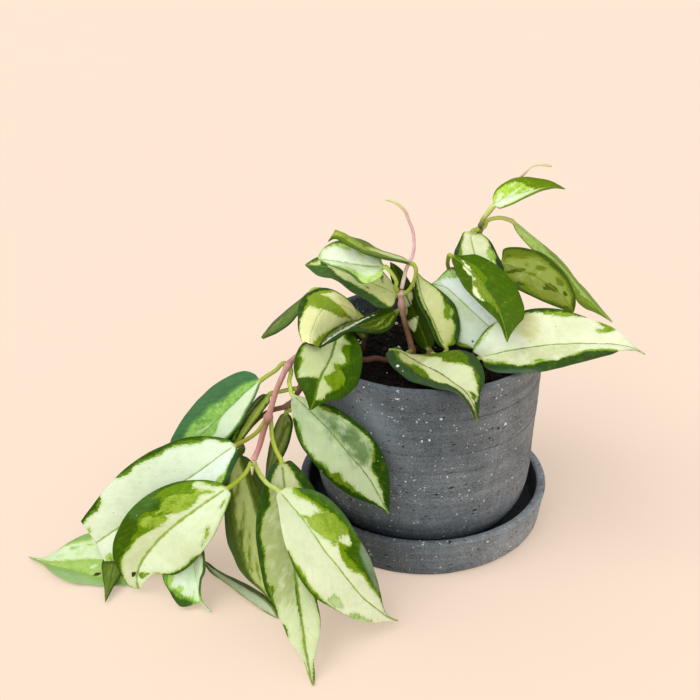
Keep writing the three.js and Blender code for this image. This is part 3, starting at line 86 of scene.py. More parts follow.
  left=[(-65.7,-85,64),(-66.2,-87.8,63.4),(-64.9,-92.1,61.7),(-63.7,-96.5,59.2),(-62.5,-101,55.7),(-60.7,-105.8,51.5),(-58,-110.2,46.3),(-55,-113.4,40.5),(-51.1,-115.4,34.3),(-46.3,-116,28.1),(-40.2,-115.2,22.9),(-33.8,-113.7,17.4),(-28.1,-111.7,12.6),(-22.6,-109,9.5),(-18,-106,7.2),(-14.4,-103.2,6.1),(-11.6,-101.8,5),(-9.7,-101.2,4.2)],
  right=[(-65.7,-85,64),(-63.1,-84.5,65.2),(-59.6,-84.2,65.3),(-55,-84.8,65.4),(-49.4,-85.8,65.2),(-43.6,-87.9,63.8),(-37.9,-90.9,60.4),(-33.2,-93.4,55.5),(-29.4,-95.2,49.5),(-25.8,-96.4,42.8),(-22.4,-97.2,35.7),(-20,-98.1,28),(-18.5,-99,21),(-17.3,-99.9,15),(-16,-100.5,9.9),(-13.9,-101,6.7),(-11.5,-101,5.3),(-9.5,-100.8,4.7)]),
 "leaf_ground_left": dict(up=-1, root=(-122.3,-58.3,3),
  pet=[(-122.3,-58.3,3),(-127,-62.6,3),(-132.8,-65.8,3.3)],
  mid=[(-138.2,-66.5,3.6),(-140,-66.2,3.7),(-142.4,-65.8,3.9),(-145.3,-65.4,4),(-148.9,-64.9,4),(-153.1,-64.2,4),(-158,-63.8,4),(-162.8,-63.9,3.9),(-167.6,-64.3,3.6),(-172.4,-65,3.4),(-177.2,-65.5,3.2),(-182.1,-65.3,2.8),(-186.2,-64.8,2.5),(-189.7,-64.1,2.2),(-192.4,-62.9,1.9),(-194.6,-61.7,1.7),(-196.2,-60.7,1.6),(-197.2,-60,1.5)],
  left=[(-138.2,-66.5,3.6),(-139.3,-63.4,3.8),(-141.4,-58.6,3.3),(-143.7,-54.8,3.9),(-147.3,-51.3,4.9),(-152,-48.4,5.8),(-157.5,-47,7),(-162.6,-46.6,9.3),(-167.9,-47.5,9),(-173,-48.7,7.3),(-177.7,-50.4,5.1),(-182.1,-52.5,2.7),(-185.6,-55.1,1.1),(-188.2,-58.6,1.1),(-191,-60.5,1.1),(-193.7,-60.6,1.1),(-195.8,-60.1,1.2),(-197.2,-59.8,1.7)],
  right=[(-138.2,-66.8,3.2),(-138.5,-68.8,2.4),(-139.1,-71.8,1.9),(-140.4,-74.9,1.1),(-142.6,-78.8,1.1),(-146.5,-79.7,1.1),(-151.6,-80.3,1.1),(-156.8,-80.3,1.1),(-162,-79.7,1.2),(-167,-79.8,1.5),(-172.1,-78.8,2.3),(-177.5,-76.3,2.8),(-182.1,-73.1,3.1),(-186,-69.4,3.4),(-189.7,-66.1,2.9),(-193,-63.3,2.1),(-195.6,-61.2,1.4),(-197.2,-60.2,1.2)]),
 "leaf_ground_small": dict(up=1, root=(-129.6,-60.6,7.5),
  pet=[(-129.6,-60.6,7.5),(-138,-56.8,7.4),(-145.7,-56.7,7.6)],
  mid=[(-151.5,-58.5,6.2),(-151.5,-59.6,6.2),(-151.5,-60.9,6.3),(-151.4,-62.7,6.3),(-151.4,-64.8,6.3),(-151.3,-67.2,6.3),(-151,-70,6.3),(-150.8,-72.8,6.2),(-150.6,-75.6,6.1),(-150.4,-78.4,5.8),(-150.3,-81.1,5.4),(-150.3,-83.7,4.5),(-150.3,-85.9,3.4),(-150.3,-87.8,2.7),(-150.1,-89.5,2.2),(-150,-90.9,1.9),(-149.9,-91.9,1.7),(-149.8,-92.6,1.6)],
  left=[(-152,-58.6,6.3),(-152.6,-59.5,6.6),(-153.5,-60.6,6.8),(-154.5,-62.1,7.2),(-155.4,-64.2,7.5),(-156.3,-66.8,7.7),(-156.6,-69.8,7.5),(-156.2,-72.7,6.7),(-155.3,-75.5,6),(-154.4,-78.2,5.3),(-153.5,-80.9,4.6),(-152.6,-83.4,3.8),(-152,-85.5,3),(-151.4,-87.5,2.4),(-150.9,-89.2,2.1),(-150.4,-90.7,1.9),(-150.1,-91.9,1.7),(-149.9,-92.6,1.6)],
  right=[(-151,-58.4,6.1),(-149.8,-59.1,6.1),(-148.4,-60.1,6.1),(-147.2,-61.7,6.1),(-146.7,-64,6),(-146.2,-67.1,5.8),(-145.8,-70.4,5.4),(-145.9,-73.6,5.2),(-146.2,-76.8,5),(-146.5,-79.7,4.8),(-147,-82.5,4.5),(-147.7,-84.9,3.9),(-148.3,-86.6,3.1),(-148.7,-88.3,2.5),(-149.1,-89.8,2.1),(-149.3,-90.9,1.8),(-149.5,-91.9,1.7),(-149.6,-92.5,1.6)]),
 "leaf_ground_middle": dict(up=-1, root=(-107.9,-57.9,32.5),
  pet=[(-108.1,-60.2,32.5),(-109.3,-64,30.7),(-110.4,-67,28.1)],
  mid=[(-109.8,-72.6,28),(-109.7,-73.2,27),(-109.5,-74.1,25.7),(-109.3,-75.2,24),(-109,-76.4,22),(-108.7,-77.7,19.6),(-108.3,-79.1,16.7),(-107.8,-80.6,14.1),(-107.1,-82.5,11.6),(-106.3,-84.5,9.3),(-105.4,-86.7,7.1),(-104.6,-89.1,5.2),(-103.7,-91.3,3.7),(-102.5,-92.9,2.9),(-101.2,-94.2,2.2),(-99.9,-95.2,1.8),(-98.8,-95.9,1.6),(-98.1,-96.3,1.5)],
  left=[(-109.8,-72.6,28),(-111.4,-73.5,27.8),(-113.3,-74.9,27.5),(-115.5,-76.5,26.6),(-117.8,-78.5,24.8),(-120.1,-80.6,22.2),(-122.3,-82.8,18.6),(-122.8,-85,14.5),(-121.7,-87.6,11),(-119,-90.2,8),(-116.4,-92.7,5),(-112.7,-94.9,2.5),(-108.8,-94.7,3),(-105.5,-93.8,4.3),(-103,-93.9,4.2),(-101,-94.5,3.4),(-99.5,-95.5,2.3),(-98.5,-96.5,1.4)],
  right=[(-109.8,-72.6,28),(-108.4,-73.9,28.3),(-106.4,-76.8,29.3),(-104.7,-79,29.2),(-103.1,-81.5,28.4),(-102.2,-84,26.9),(-101.6,-86.3,24.6),(-101.1,-88.3,22.1),(-101.2,-90.3,19.7),(-102.4,-92.3,17.5),(-102.8,-93.9,14.8),(-102.9,-95.2,11.8),(-102.4,-96,8.9),(-101.4,-96.3,6.6),(-100.3,-96.3,4.6),(-99.2,-96.2,3),(-98.3,-96,1.9),(-97.6,-96.2,1.5)]),
 "leaf_ground_edge_on": dict(up=1, root=(-114.4,-59.1,12),
  pet=[(-114.4,-59.1,12),(-112.3,-62.6,11),(-109.4,-65.4,9.6)],
  mid=[(-107.2,-66.9,9),(-106.1,-68.1,8.8),(-104.6,-69.6,8.6),(-102.7,-71.4,8.2),(-100.2,-73.2,7.8),(-97.1,-75.1,7.1),(-93.5,-77.2,6.4),(-89.8,-79.2,5.8),(-86.1,-81.2,5.3),(-82.5,-83.3,4.7),(-78.8,-85.5,4.2),(-75.3,-87.8,3.7),(-72.4,-90.1,3.1),(-70.2,-92.2,2.5),(-68.6,-94.3,2.1),(-67.4,-96,1.8),(-66.6,-97.4,1.6),(-66.1,-98.3,1.5)],
  left=[(-107.2,-66.8,9.2),(-105.8,-67.4,8.8),(-104.1,-67.8,8),(-102,-68.8,7.1),(-99.5,-70.2,6),(-96.5,-71.6,5),(-92.8,-73.3,4.3),(-89,-75.1,3.8),(-85.3,-77.1,3.4),(-81.5,-79.2,3.1),(-77.8,-81.7,3),(-74.2,-84.4,2.8),(-71.1,-87.3,2.6),(-68.9,-90.1,2.4),(-67.6,-92.8,2.2),(-66.7,-95.2,2),(-66.2,-97.1,1.7),(-65.9,-98.3,1.5)],
  right=[(-107.2,-67.1,8.8),(-106,-69.1,8.9),(-104.3,-72.1,9.4),(-102.3,-75,9.5),(-99.9,-77.8,9.4),(-96.9,-80.5,9),(-93.6,-83.1,8.4),(-90.2,-85.4,7.8),(-86.9,-87.5,6.9),(-83.8,-89.5,5.8),(-80.7,-91.3,4.6),(-77.6,-92.8,3.3),(-74.9,-93.8,1.9),(-72.5,-94.8,1),(-70.3,-96.2,0.9),(-68.6,-97.3,0.9),(-67.3,-98.2,0.9),(-66.4,-98.8,1)]),
 "leaf_trail_shaded": dict(up=1, root=(-92.2,-33.8,56.5),
  pet=[(-91.4,-35.7,57.3),(-88.9,-42,59.5),(-87.9,-48,61.3)],
  mid=[(-88.7,-51,61.7),(-88.5,-51.4,59.5),(-88.1,-52.1,56.8),(-86.7,-53.3,53.6),(-84.9,-54.9,49.9),(-83.4,-57.1,45.6),(-81.6,-60.2,40.9),(-79.8,-63.6,36.5),(-78.3,-66.9,32),(-77,-70.3,27.4),(-75.7,-73.8,22.9),(-74.4,-77.4,18.4),(-73.3,-80.6,14.6),(-72.3,-83.6,11.5),(-71.5,-86.1,9.1),(-70.9,-88.3,7.1),(-70.4,-89.9,5.8),(-70.1,-91,4.8)],
  left=[(-88.7,-51,61.7),(-90.4,-51.7,60),(-92.1,-53,57.6),(-93.6,-55,54.4),(-94.9,-57.5,50.5),(-95.8,-60.4,45.8),(-95.2,-64.1,40.6),(-94.4,-68,35.6),(-93.6,-71.7,30.3),(-92.2,-75,25.3),(-89.3,-78.3,20.5),(-86.4,-81.6,15.9),(-82.7,-84,12.5),(-79,-85.8,10.1),(-75.7,-87.4,8.3),(-73.3,-88.9,6.8),(-71.6,-90.2,5.7),(-70.5,-91.1,4.9)],
  right=[(-88.7,-51,61.7),(-86.7,-49.9,60),(-84.4,-48.6,57.2),(-81.7,-48.5,53.8),(-78.8,-49,49.8),(-75.8,-50.3,45.2),(-72.8,-53.1,40.2),(-70.4,-56.5,35.4),(-68.5,-60.3,30.6),(-67.6,-64.2,25.8),(-67,-68.5,21.1),(-66.8,-73,16.7),(-67.2,-77.3,13.2),(-67.6,-81.3,10.5),(-68.1,-84.8,8.4),(-68.7,-87.6,6.8),(-69.2,-89.6,5.7),(-69.6,-90.9,4.8)]),
 "leaf_left_edge_on": dict(up=1, root=(-28.8,5.9,105.9),
  pet=[(-30.8,6.5,106.8),(-37.7,9,112.3),(-45.7,9,118.7),(-52.6,7.5,122.8)],
  mid=[(-57,6,123.1),(-57.7,5.5,122.6),(-58.7,4.7,121.8),(-59.9,3.8,120.9),(-61.3,2.7,119.8),(-63,1.5,118.6),(-64.9,0,117.1),(-66.9,-1.5,115.7),(-68.8,-3,114.3),(-70.8,-4.4,112.9),(-72.8,-5.8,111.4),(-74.7,-7.2,109.9),(-76.4,-8.4,108.5),(-77.8,-9.5,107.3),(-78.9,-10.4,106.4),(-79.9,-11.1,105.6),(-80.5,-11.6,105),(-81,-12,104.6)],
  left=[(-57,6.2,123.6),(-58,7.2,122.4),(-59.4,9.7,120.3),(-61,11,118.4),(-62.8,11.8,116.5),(-64.8,12.1,114.6),(-67.1,11.5,112.8),(-69.2,10.3,111.3),(-71.3,8.6,109.9),(-73.2,6.6,108.7),(-75.1,4.2,107.6),(-76.8,1.3,106.7),(-78.1,-1.8,106.1),(-79.2,-4.7,105.8),(-80,-7.3,105.6),(-80.7,-9.6,105.5),(-81.1,-11.2,105.3),(-81.5,-11.8,105)],
  right=[(-57,5.8,122.7),(-57.3,4,122.5),(-57.7,0.7,122.6),(-58.4,-2.1,122.2),(-59.3,-4.7,121.5),(-60.5,-7.3,120.4),(-61.9,-9.6,118.9),(-63.4,-11.4,117.2),(-65,-12.7,115.3),(-66.9,-13.6,113.5),(-69,-14.2,111.6),(-71.4,-14.2,109.8),(-73.6,-13.9,108.2),(-75.6,-13.4,106.9),(-77.3,-12.8,105.8),(-78.8,-12.3,104.9),(-79.8,-12.1,104.3),(-80.5,-12.2,104.1)]),
 "leaf_left_cut_tip": dict(up=-1, root=(-30.1,5.4,102.1),
  pet=[(-30.6,3.2,102.9),(-30.6,1,106.2),(-31.5,-2,109.3)],
  mid=[(-32.8,-5,111.9),(-33.4,-5.6,113.2),(-34.2,-6.5,115),(-35.4,-7.6,117),(-37,-9.1,119.2),(-39.2,-10.9,121.8),(-42,-13.2,124.1),(-44.8,-15.9,125),(-47.7,-19.1,125.4),(-49.9,-22.5,125.4),(-51.5,-26.3,124.2),(-52.6,-30.2,122.8),(-53.3,-33.7,121.8),(-53.8,-36.7,120.8),(-53.9,-39.1,119.9),(-53.9,-40.9,118.8),(-53.9,-42.2,117.9),(-53.8,-43,117.2)],
  left=[(-32.8,-4.8,112.3),(-33.5,-4.2,113.8),(-34.7,-2.6,115.4),(-36.3,-2,117.9),(-38.5,-1.9,120.8),(-41.5,-2.4,124.1),(-45.4,-3.9,127.5),(-49.7,-6.1,129.8),(-54,-9.5,130.5),(-57.7,-13.8,129.8),(-60.6,-18.4,128.3),(-61.4,-23.1,125.7),(-61,-27.3,123.3),(-60.6,-31.2,121.3),(-59.9,-34.3,119.7),(-59.1,-36.6,118.4),(-58.5,-38.1,117.4),(-58,-39.1,116.7)],
  right=[(-32.8,-5.2,111.4),(-33.5,-5.6,111.6),(-34.5,-5.7,111.6),(-35.7,-6.6,112),(-37.2,-8,112.6),(-38.8,-10,113.4),(-40.6,-12.8,114),(-42.2,-15.5,114.4),(-43.7,-18.7,114.7),(-45.1,-22,115.1),(-46.5,-25.2,115.3),(-47.6,-28.5,115.4),(-48.5,-31.8,115.5),(-49,-34.7,115.6),(-49.4,-37,115.6),(-49.6,-38.7,115.4),(-49.8,-39.9,115.2),(-49.9,-40.6,115.1)]),
 "leaf_over_left_rim": dict(up=-1, root=(-30.9,5.1,98.8),
  pet=[(-32.2,3.2,99.4),(-34.1,0,103.3),(-37.7,-6,108.4)],
  mid=[(-41.4,-16,113.7),(-41.6,-17.7,113.4),(-42,-19.9,113),(-42.3,-22.6,112.5),(-42.7,-26,112),(-43.1,-29.9,111.6),(-43.5,-34.4,111.2),(-43.9,-38.9,110.7),(-44.6,-43.4,110.2),(-45.4,-47.8,109.6),(-46.5,-52,108.7),(-48.1,-56,106.7),(-49,-58.3,104),(-49.6,-59.8,100.8),(-50.3,-60.6,98.3),(-51,-61.1,96.2),(-51.6,-61.4,94.6),(-52,-61.5,93.5)],
  left=[(-41.4,-16,113.7),(-42.9,-17.3,113.8),(-44.9,-19,113.8),(-47.3,-21.3,114),(-50.2,-24.4,114.2),(-53.6,-28.2,114.5),(-56.9,-33,114.6),(-59.3,-38.2,113.6),(-60.6,-43.6,111.9),(-61.1,-48.9,110),(-60.3,-53.5,107.7),(-58.6,-57.3,105.2),(-56.6,-59.2,102.7),(-55.1,-60.2,100.2),(-54.1,-61,97.8),(-53.4,-61.4,95.8),(-53,-61.7,94.2),(-52.7,-61.8,93.1)],
  right=[(-41.4,-16,113.7),(-39.5,-18.1,114.3),(-37.2,-21.7,114.9),(-34.8,-25.4,114.6),(-32.4,-29.7,113.6),(-30.5,-34.5,112),(-29.4,-39.9,109.7),(-29.4,-44.9,107.1),(-30.1,-49.2,104.4),(-31.7,-52.8,101.7),(-34.5,-56.4,99.7),(-38,-59.9,98.6),(-41.6,-62,98.5),(-44.9,-62.7,98.2),(-47.5,-62.7,96.8),(-49.5,-62.3,95.2),(-50.9,-61.9,93.8),(-51.8,-61.8,92.9)]),
 "leaf_boat_shaped": dict(up=1, root=(-12.3,4.8,114.9),
  pet=[(-12.7,7.2,114.3)],
  mid=[(-14.6,8.5,111.4),(-16,7,111.3),(-17.8,5,111.1),(-19.9,2.4,111.1),(-22.2,-0.9,111.3),(-24.6,-4.8,112),(-27.5,-9.3,112.9),(-30.4,-13.7,113.8),(-33.2,-18.1,114.9),(-35.9,-22.6,115.8),(-38.4,-27.3,116.9),(-40.8,-32,117.9),(-42.9,-36.1,118.3),(-44.7,-39.7,118.6),(-46.3,-42.7,118.7),(-47.5,-45,118.8),(-48.5,-46.8,118.8),(-49.1,-48,118.8)],
  left=[(-14.9,8.9,112.4),(-16.3,8.2,112.8),(-18,7.4,113.2),(-20.2,6,113.9),(-22.6,3.7,114.7),(-25.3,0.3,114.9),(-28.2,-4,114.9),(-31,-8.5,115.1),(-33.7,-13.3,115.3),(-36.3,-18.3,115.7),(-38.9,-23.5,116.2),(-41.3,-29.1,116.9),(-43.4,-33.9,117.5),(-45.2,-38,118),(-46.6,-41.5,118.5),(-47.7,-44.4,118.9),(-48.6,-46.5,119.1),(-49.1,-47.8,119.3)],
  right=[(-14.3,7.9,110.1),(-14.5,5.8,109.4),(-15,2.4,109),(-15.9,-1.5,108.7),(-17.5,-6.1,108.5),(-20.1,-11.4,109.1),(-23.3,-16.6,111.1),(-26.8,-21.3,113.2),(-30.1,-25.4,115.5),(-33.4,-29.2,117.9),(-36.4,-33,119.5),(-39.3,-37.1,119.5),(-41.7,-40.3,119.2),(-43.8,-42.7,119),(-45.6,-44.6,118.8),(-46.9,-46.1,118.5),(-48,-47.2,118.4),(-48.6,-48.2,118.4)]),
 "leaf_upper_left_long": dict(up=-1, root=(-12.5,4.9,117.1),
  pet=[(-13.1,7.3,117.1)],
  mid=[(-14,10.5,118.9),(-15.2,11.6,119),(-16.9,13,119.2),(-19,14.7,119.5),(-21.6,16.5,119.9),(-24.8,18.5,120.3),(-28.6,20.5,121),(-32.5,22.2,121.8),(-36.4,23.7,122.7),(-40.4,24.9,123.9),(-44.5,25.9,125),(-48.6,26.8,125.9),(-52.3,27.4,126.5),(-55.5,27.5,126.9),(-58.2,27.4,127.2),(-60.3,27.3,127.4),(-61.9,27.2,127.5),(-63,27,127.6)],
  left=[(-14,10.7,119.3),(-14.9,13.3,119.9),(-16.2,17.4,120.3),(-18,21.2,121.3),(-20.2,24.9,122.6),(-23.1,28.4,124.3),(-26.8,31.4,126.4),(-30.9,33.5,128.3),(-35.2,34.9,130),(-39.8,35.6,131.5),(-44.5,35.5,131.7),(-49.2,34.9,131.9),(-53.2,33.8,131.7),(-56.3,32,130.6),(-58.8,30.4,129.8),(-60.7,28.9,129),(-62.1,27.7,128.4),(-63,27.1,127.8)],
  right=[(-14,10.3,118.4),(-14.9,9.6,116.5),(-16.3,8.4,114.6),(-18.3,7.9,113),(-21.2,8.1,112.7),(-25.3,8.6,113.3),(-29.1,10.1,115.3),(-33.1,11.8,117.1),(-37.2,13.5,118.5),(-40.9,15.4,120.5),(-44.6,17.5,122.7),(-48.9,19.7,123.8),(-53,21.4,123.4),(-56.4,23,123.7),(-58.9,24.5,124.8),(-60.7,25.7,125.9),(-62.1,26.6,126.7),(-63,26.9,127.4)]),
 "leaf_upper_left_pale": dict(up=-1, root=(-12.9,5,124.1),
  pet=[(-15.5,3.5,125.7),(-15.2,3.5,129.6),(-17.7,2.5,134.8)],
  mid=[(-20.4,2,138.2),(-21.4,2.4,138),(-22.8,2.8,137.7),(-24.5,3.4,137.3),(-26.5,4.2,137),(-28.9,5,136.7),(-31.7,6,136.5),(-34.5,7.1,136.4),(-37.2,8.1,136.3),(-40,9.1,136.4),(-42.8,10,136.4),(-45.6,11,136.5),(-48,11.8,136.4),(-50.1,12.6,136.3),(-51.8,13.1,136.3),(-53.2,13.5,136.6),(-54.3,13.8,136.9),(-54.9,14,137.1)],
  left=[(-20.4,2.1,138.4),(-21.2,4,138.7),(-22.4,7.4,138.7),(-23.9,10.1,139.2),(-25.8,12.8,139.9),(-28.2,15.1,140.8),(-31.2,17.1,141.9),(-34.4,18.4,142.7),(-37.6,19.1,143.5),(-40.9,19.4,144.6),(-44.1,19.2,144.8),(-47.4,18.4,144.1),(-50,17.1,143.2),(-52,15.9,142.1),(-53.3,15,140.7),(-54.2,14.7,139.3),(-54.7,14.4,138.2),(-55,14.1,137.4)],
  right=[(-20.4,1.9,138),(-20.8,0.3,137.4),(-21.4,-2.8,137.1),(-22.5,-4.8,136.3),(-24.3,-6.4,135.3),(-26.7,-7.4,134.2),(-29.8,-7.5,133.4),(-32.9,-7,133.4),(-35.3,-5.5,135.2),(-37.9,-3.7,136.7),(-40.7,-1.4,137.5),(-43.9,1.3,137.4),(-46.9,4.2,137.1),(-49.4,7.1,136.8),(-51.5,9.6,136.6),(-53.1,11.7,136.6),(-54.2,13.2,136.7),(-54.9,13.9,136.9)]),
 "leaf_upper_left_edge_on": dict(up=-1, root=(-12.9,5.1,123.1),
  pet=[(-10.4,4.5,123.6),(-8.2,4,126.3),(-6.1,3,132.2),(-5.7,3,137)],
  mid=[(-7.2,4,139.2),(-8.5,4,139.6),(-10.1,4,140),(-12.2,4,140.6),(-14.6,4,141.2),(-17.5,4,141.9),(-20.7,4.5,142.7),(-23.9,5.5,143.4),(-27.1,6.4,144.3),(-30.2,7.3,145.2),(-33.3,8.2,146.4),(-36.2,9,147.9),(-38.7,9.7,149.4),(-40.9,10.4,150.5),(-42.7,11,151.4),(-44.2,11.4,152),(-45.3,11.8,152.5),(-46.1,12,152.8)],
  left=[(-7.2,4.1,139.5),(-8.4,5.7,139.4),(-10,9.1,138.7),(-12,11.3,138.7),(-14.4,13.1,138.9),(-17.2,14.5,139.4),(-20.5,15.8,139.9),(-23.8,17.1,140.6),(-26.9,18.1,141.7),(-29.8,18.8,143.3),(-32.9,19.1,144.7),(-36.1,18.8,145.8),(-38.9,18,147),(-41.1,17.3,148.7),(-42.8,16.2,150.1),(-44.3,14.5,151.4),(-45.3,12.8,152.5),(-46.1,12.1,153.1)],
  right=[(-7.2,3.9,139),(-8.5,2.7,139.7),(-10.2,0.4,140.9),(-12.4,-1.1,141.9),(-14.9,-2.4,142.9),(-17.9,-3.4,143.8),(-21.4,-3.5,144.5),(-24.9,-2.8,144.9),(-28.3,-2,145.5),(-31.6,-0.9,146.3),(-34.7,0.5,147.6),(-38.1,1.9,148.4),(-41,3.5,149),(-43.5,5.5,149.9),(-45.6,7.6,150),(-47.3,9,149.3),(-48.6,9.6,148.3),(-49.4,9.6,147.7)]),
 "leaf_centre_back": dict(up=1, root=(2.4,-3.7,93.4),
  pet=[(2.1,-1.8,92.3)],
  mid=[(1.8,2,92),(1.4,2.7,93.3),(0.8,3.6,95),(0,4.8,97.1),(-1,6.4,99.4),(-2.3,8.3,102),(-3.9,10.6,105),(-5.6,12.8,107.9),(-7.3,15,110.8),(-9.1,17,113.8),(-10.8,18.9,117),(-12.5,20.7,120.1),(-14.1,22.2,122.9),(-15.6,23.4,125.3),(-16.9,24.4,127.2),(-17.9,25.1,128.8),(-18.7,25.6,129.9),(-19.3,26,130.7)],
  left=[(1.8,2,92),(0.2,3,92.1),(-1.6,4.9,92.2),(-3.5,6.7,93),(-5.3,9.1,94.7),(-7.1,11.9,96.9),(-8.9,14.7,99.7),(-10.6,17.3,102.7),(-12.2,19.5,105.9),(-13.9,21.3,109.3),(-15.6,22.8,112.8),(-17,23.8,116.7),(-18.1,24.5,120.2),(-18.7,24.9,123.3),(-19,25.3,125.9),(-19.1,25.6,128.1),(-19.2,25.7,129.7),(-19.3,26,130.7)],
  right=[(1.8,2,92),(3.2,2.2,93),(4.2,2.4,94.8),(4.6,3.4,97.3),(4.4,4.7,100.2),(3.1,6.5,103.3),(1.2,8.6,106.6),(-0.7,10.9,109.8),(-2.7,13.2,112.9),(-4.6,15.5,116.1),(-6.6,17.7,119.3),(-8.7,19.8,122.5),(-10.8,21.7,125.2),(-12.8,23.3,127.3),(-14.7,24.5,128.7),(-16.5,25.3,129.7),(-18,25.8,130.3),(-19,26,130.7)]),
 "leaf_centre_cream": dict(up=1, root=(2.5,-3.4,93.9),
  pet=[(4,-4.9,94.5),(5.8,-7,94.8),(9.2,-10,97.6)],
  mid=[(10.6,-9,99.3),(9.9,-8.5,100.3),(9,-7.8,101.5),(7.9,-6.9,103.1),(6.7,-5.7,105.1),(5.5,-4.3,107.4),(4.1,-2.6,110.1),(2.7,-0.9,112.7),(1,0.8,115.2),(-0.7,2.5,117.7),(-2,4.2,120.3),(-3,5.9,123.1),(-3.8,7.3,125.6),(-4.4,8.5,127.8),(-4.9,9.4,129.6),(-5.3,10.1,131.2),(-5.6,10.7,132.3),(-5.8,11,133.1)],
  left=[(10.1,-9.1,99.2),(8.8,-9.1,99.8),(7.2,-9.4,100.9),(5.7,-9.2,102.3),(4.4,-8.5,104.5),(3.2,-7.3,107.3),(1.8,-5.8,110.1),(0.5,-4.1,112.9),(-1.2,-2.3,115.5),(-3.2,-0.5,118),(-4.7,1.5,120.5),(-5.5,3.6,123.3),(-6,5.6,125.8),(-6.1,7.2,127.9),(-6.1,8.6,129.7),(-6,9.7,131.2),(-5.9,10.5,132.3),(-5.8,11,133.1)],
  right=[(11.1,-9.1,99.1),(12.5,-8.9,99.9),(14,-8.5,101.1),(15.5,-7.8,103),(16.4,-6.5,105.6),(16.7,-4.8,108.8),(16.4,-2.8,112.3),(15.4,-0.7,115.7),(13.9,1.4,118.9),(11.3,3.2,121.4),(8.2,4.8,123.7),(5,6.2,125.7),(2.1,7.5,127.4),(-0.6,8.4,128.8),(-2.6,9.3,130),(-4,10,131.3),(-5,10.6,132.3),(-5.6,11,133.1)]),
 "leaf_right_mint": dict(up=1, root=(28.4,3.5,96.1),
  pet=[(30.4,2.3,96.3),(32.7,1,96.8),(35.9,-2.5,100.4)],
  mid=[(36,-6,104.9),(35.1,-5.5,105.8),(33.9,-4.9,106.9),(32.4,-4.1,108.3),(30.5,-3,109.8),(28.3,-1.7,111.5),(25.7,0,113.2),(23.1,1.5,115),(20.5,3,117),(17.9,4.4,119),(15.3,5.8,120.9),(12.6,7.3,122.8),(10.2,8.7,124.3),(8,9.8,124.8),(6,10.8,124.9),(4.4,11.5,125),(3.2,12.1,125),(2.4,12.5,125)],
  left=[(36,-6.2,104.5),(35.8,-7.4,102.6),(34.9,-8.6,101),(32.9,-9.1,100.2),(29.1,-9.2,99.7),(25.2,-8.8,99.5),(20.6,-7.6,99.4),(16.1,-6.2,99.7),(12.5,-4.5,101.9),(9.9,-2.3,105.1),(8,-0.1,108.7),(6.3,2.4,112.4),(4.7,4.6,115.6),(3.7,6.8,118.2),(3.1,8.7,120.4),(2.7,10.3,122.2),(2.5,11.5,123.6),(2.4,12.3,124.5)],
  right=[(36,-5.8,105.3),(37.1,-4.8,106.9),(38.1,-3.4,108.7),(38.7,-1.8,111.1),(38.5,0,113.8),(36.2,2.3,116.6),(32.9,4.8,119.7),(29.9,6.9,122.9),(26.7,8.7,126),(23.4,10.3,129.2),(19.8,11.7,132.3),(15.5,12.4,133.9),(11.4,12.9,134.1),(8.5,12.8,131.6),(6.5,12.6,129.2),(4.9,12.6,127.3),(3.4,12.6,126.2),(2.4,12.7,125.4)]),
 "leaf_right_back": dict(up=-1, root=(24.8,14.1,154.7),
  pet=[(23.1,12.5,154.4)],
  mid=[(21.7,11.2,154.7),(21.2,11,153.8),(20.7,10.7,152.5),(20.7,10.2,150.9),(21.1,9.7,149),(21.7,9,146.7),(22.4,8,144.3),(23.4,6.8,141.9),(24.2,5.7,139.6),(25.1,4.5,137.2),(25.8,3.3,134.9),(26.6,2.1,132.5),(27.3,1,130.5),(27.9,0.1,128.7),(28.4,-0.6,127.2),(28.8,-1.2,126.1),(29.2,-1.7,125.2),(29.4,-2,124.6)],
  left=[(21.4,11.3,155),(19.9,11.2,154.8),(18.1,10.9,154.4),(16.7,10.5,153.4),(15.6,9.5,150.9),(14.3,8.5,148.1),(12.8,7.2,145),(12.7,5.8,141.7),(12.9,4.4,138.4),(13.9,3,135.2),(15.9,1.6,132.4),(18.2,0.4,129.8),(20.7,-0.4,127.9),(22.9,-0.9,126.6),(24.9,-1.3,125.7),(26.6,-1.6,125.1),(28,-1.8,124.8),(28.9,-2,124.6)],
  right=[(22.1,11.1,154.4),(23.4,11.4,153.9),(25,12.2,153),(26.9,12.5,151.9),(29,12.5,150.2),(31,12.2,147.9),(32.7,11.2,145.2),(34.2,9.9,142.3),(35.9,8.2,139.7),(37.2,6.3,137.2),(37.4,4.3,134.3),(37.4,1.8,131.7),(36.5,0.1,129.6),(34.6,-0.7,127.9),(33.1,-1.2,126.6),(31.7,-1.6,125.6),(30.6,-1.9,125),(29.8,-2,124.6)]),
 "leaf_right_front_green": dict(up=-1, root=(25.9,14.7,122.4),
  pet=[(23.6,15.3,122.2),(18,17,122.8),(12.3,18,127.7),(10.1,15.5,133.7),(10,8,140.9)],
  mid=[(10.6,2,145.3),(11.9,0.9,144.8),(13.7,-0.5,144),(15.8,-2.1,142.9),(18.2,-4.2,141.5),(20.8,-7,140.1),(23.5,-10.4,138.5),(26,-14.1,137.1),(28.3,-17.8,135.5),(30.6,-21.4,133.6),(32.5,-25.1,131.6),(34,-29,129.5),(35.1,-32.3,127.5),(36,-35.1,125.5),(36.6,-37.3,123.8),(37,-39,122.2),(37.3,-40.2,121),(37.4,-41,120.2)],
  left=[(10.7,1.9,145),(11.1,0.1,144.2),(11.7,-2.7,143.3),(12.7,-5.3,141.9),(13.9,-8.3,140.1),(15.4,-11.8,138.2),(17.4,-15.7,136.2),(20,-19.5,134.8),(22.8,-23.2,133.4),(25.6,-26.4,131.9),(28.4,-29.6,130.4),(31.2,-32.7,129),(33.4,-35.1,127.3),(34.8,-37.1,125.5),(35.7,-38.6,123.7),(36.4,-39.6,122.2),(36.9,-40.3,121.1),(37.3,-40.9,120.3)],
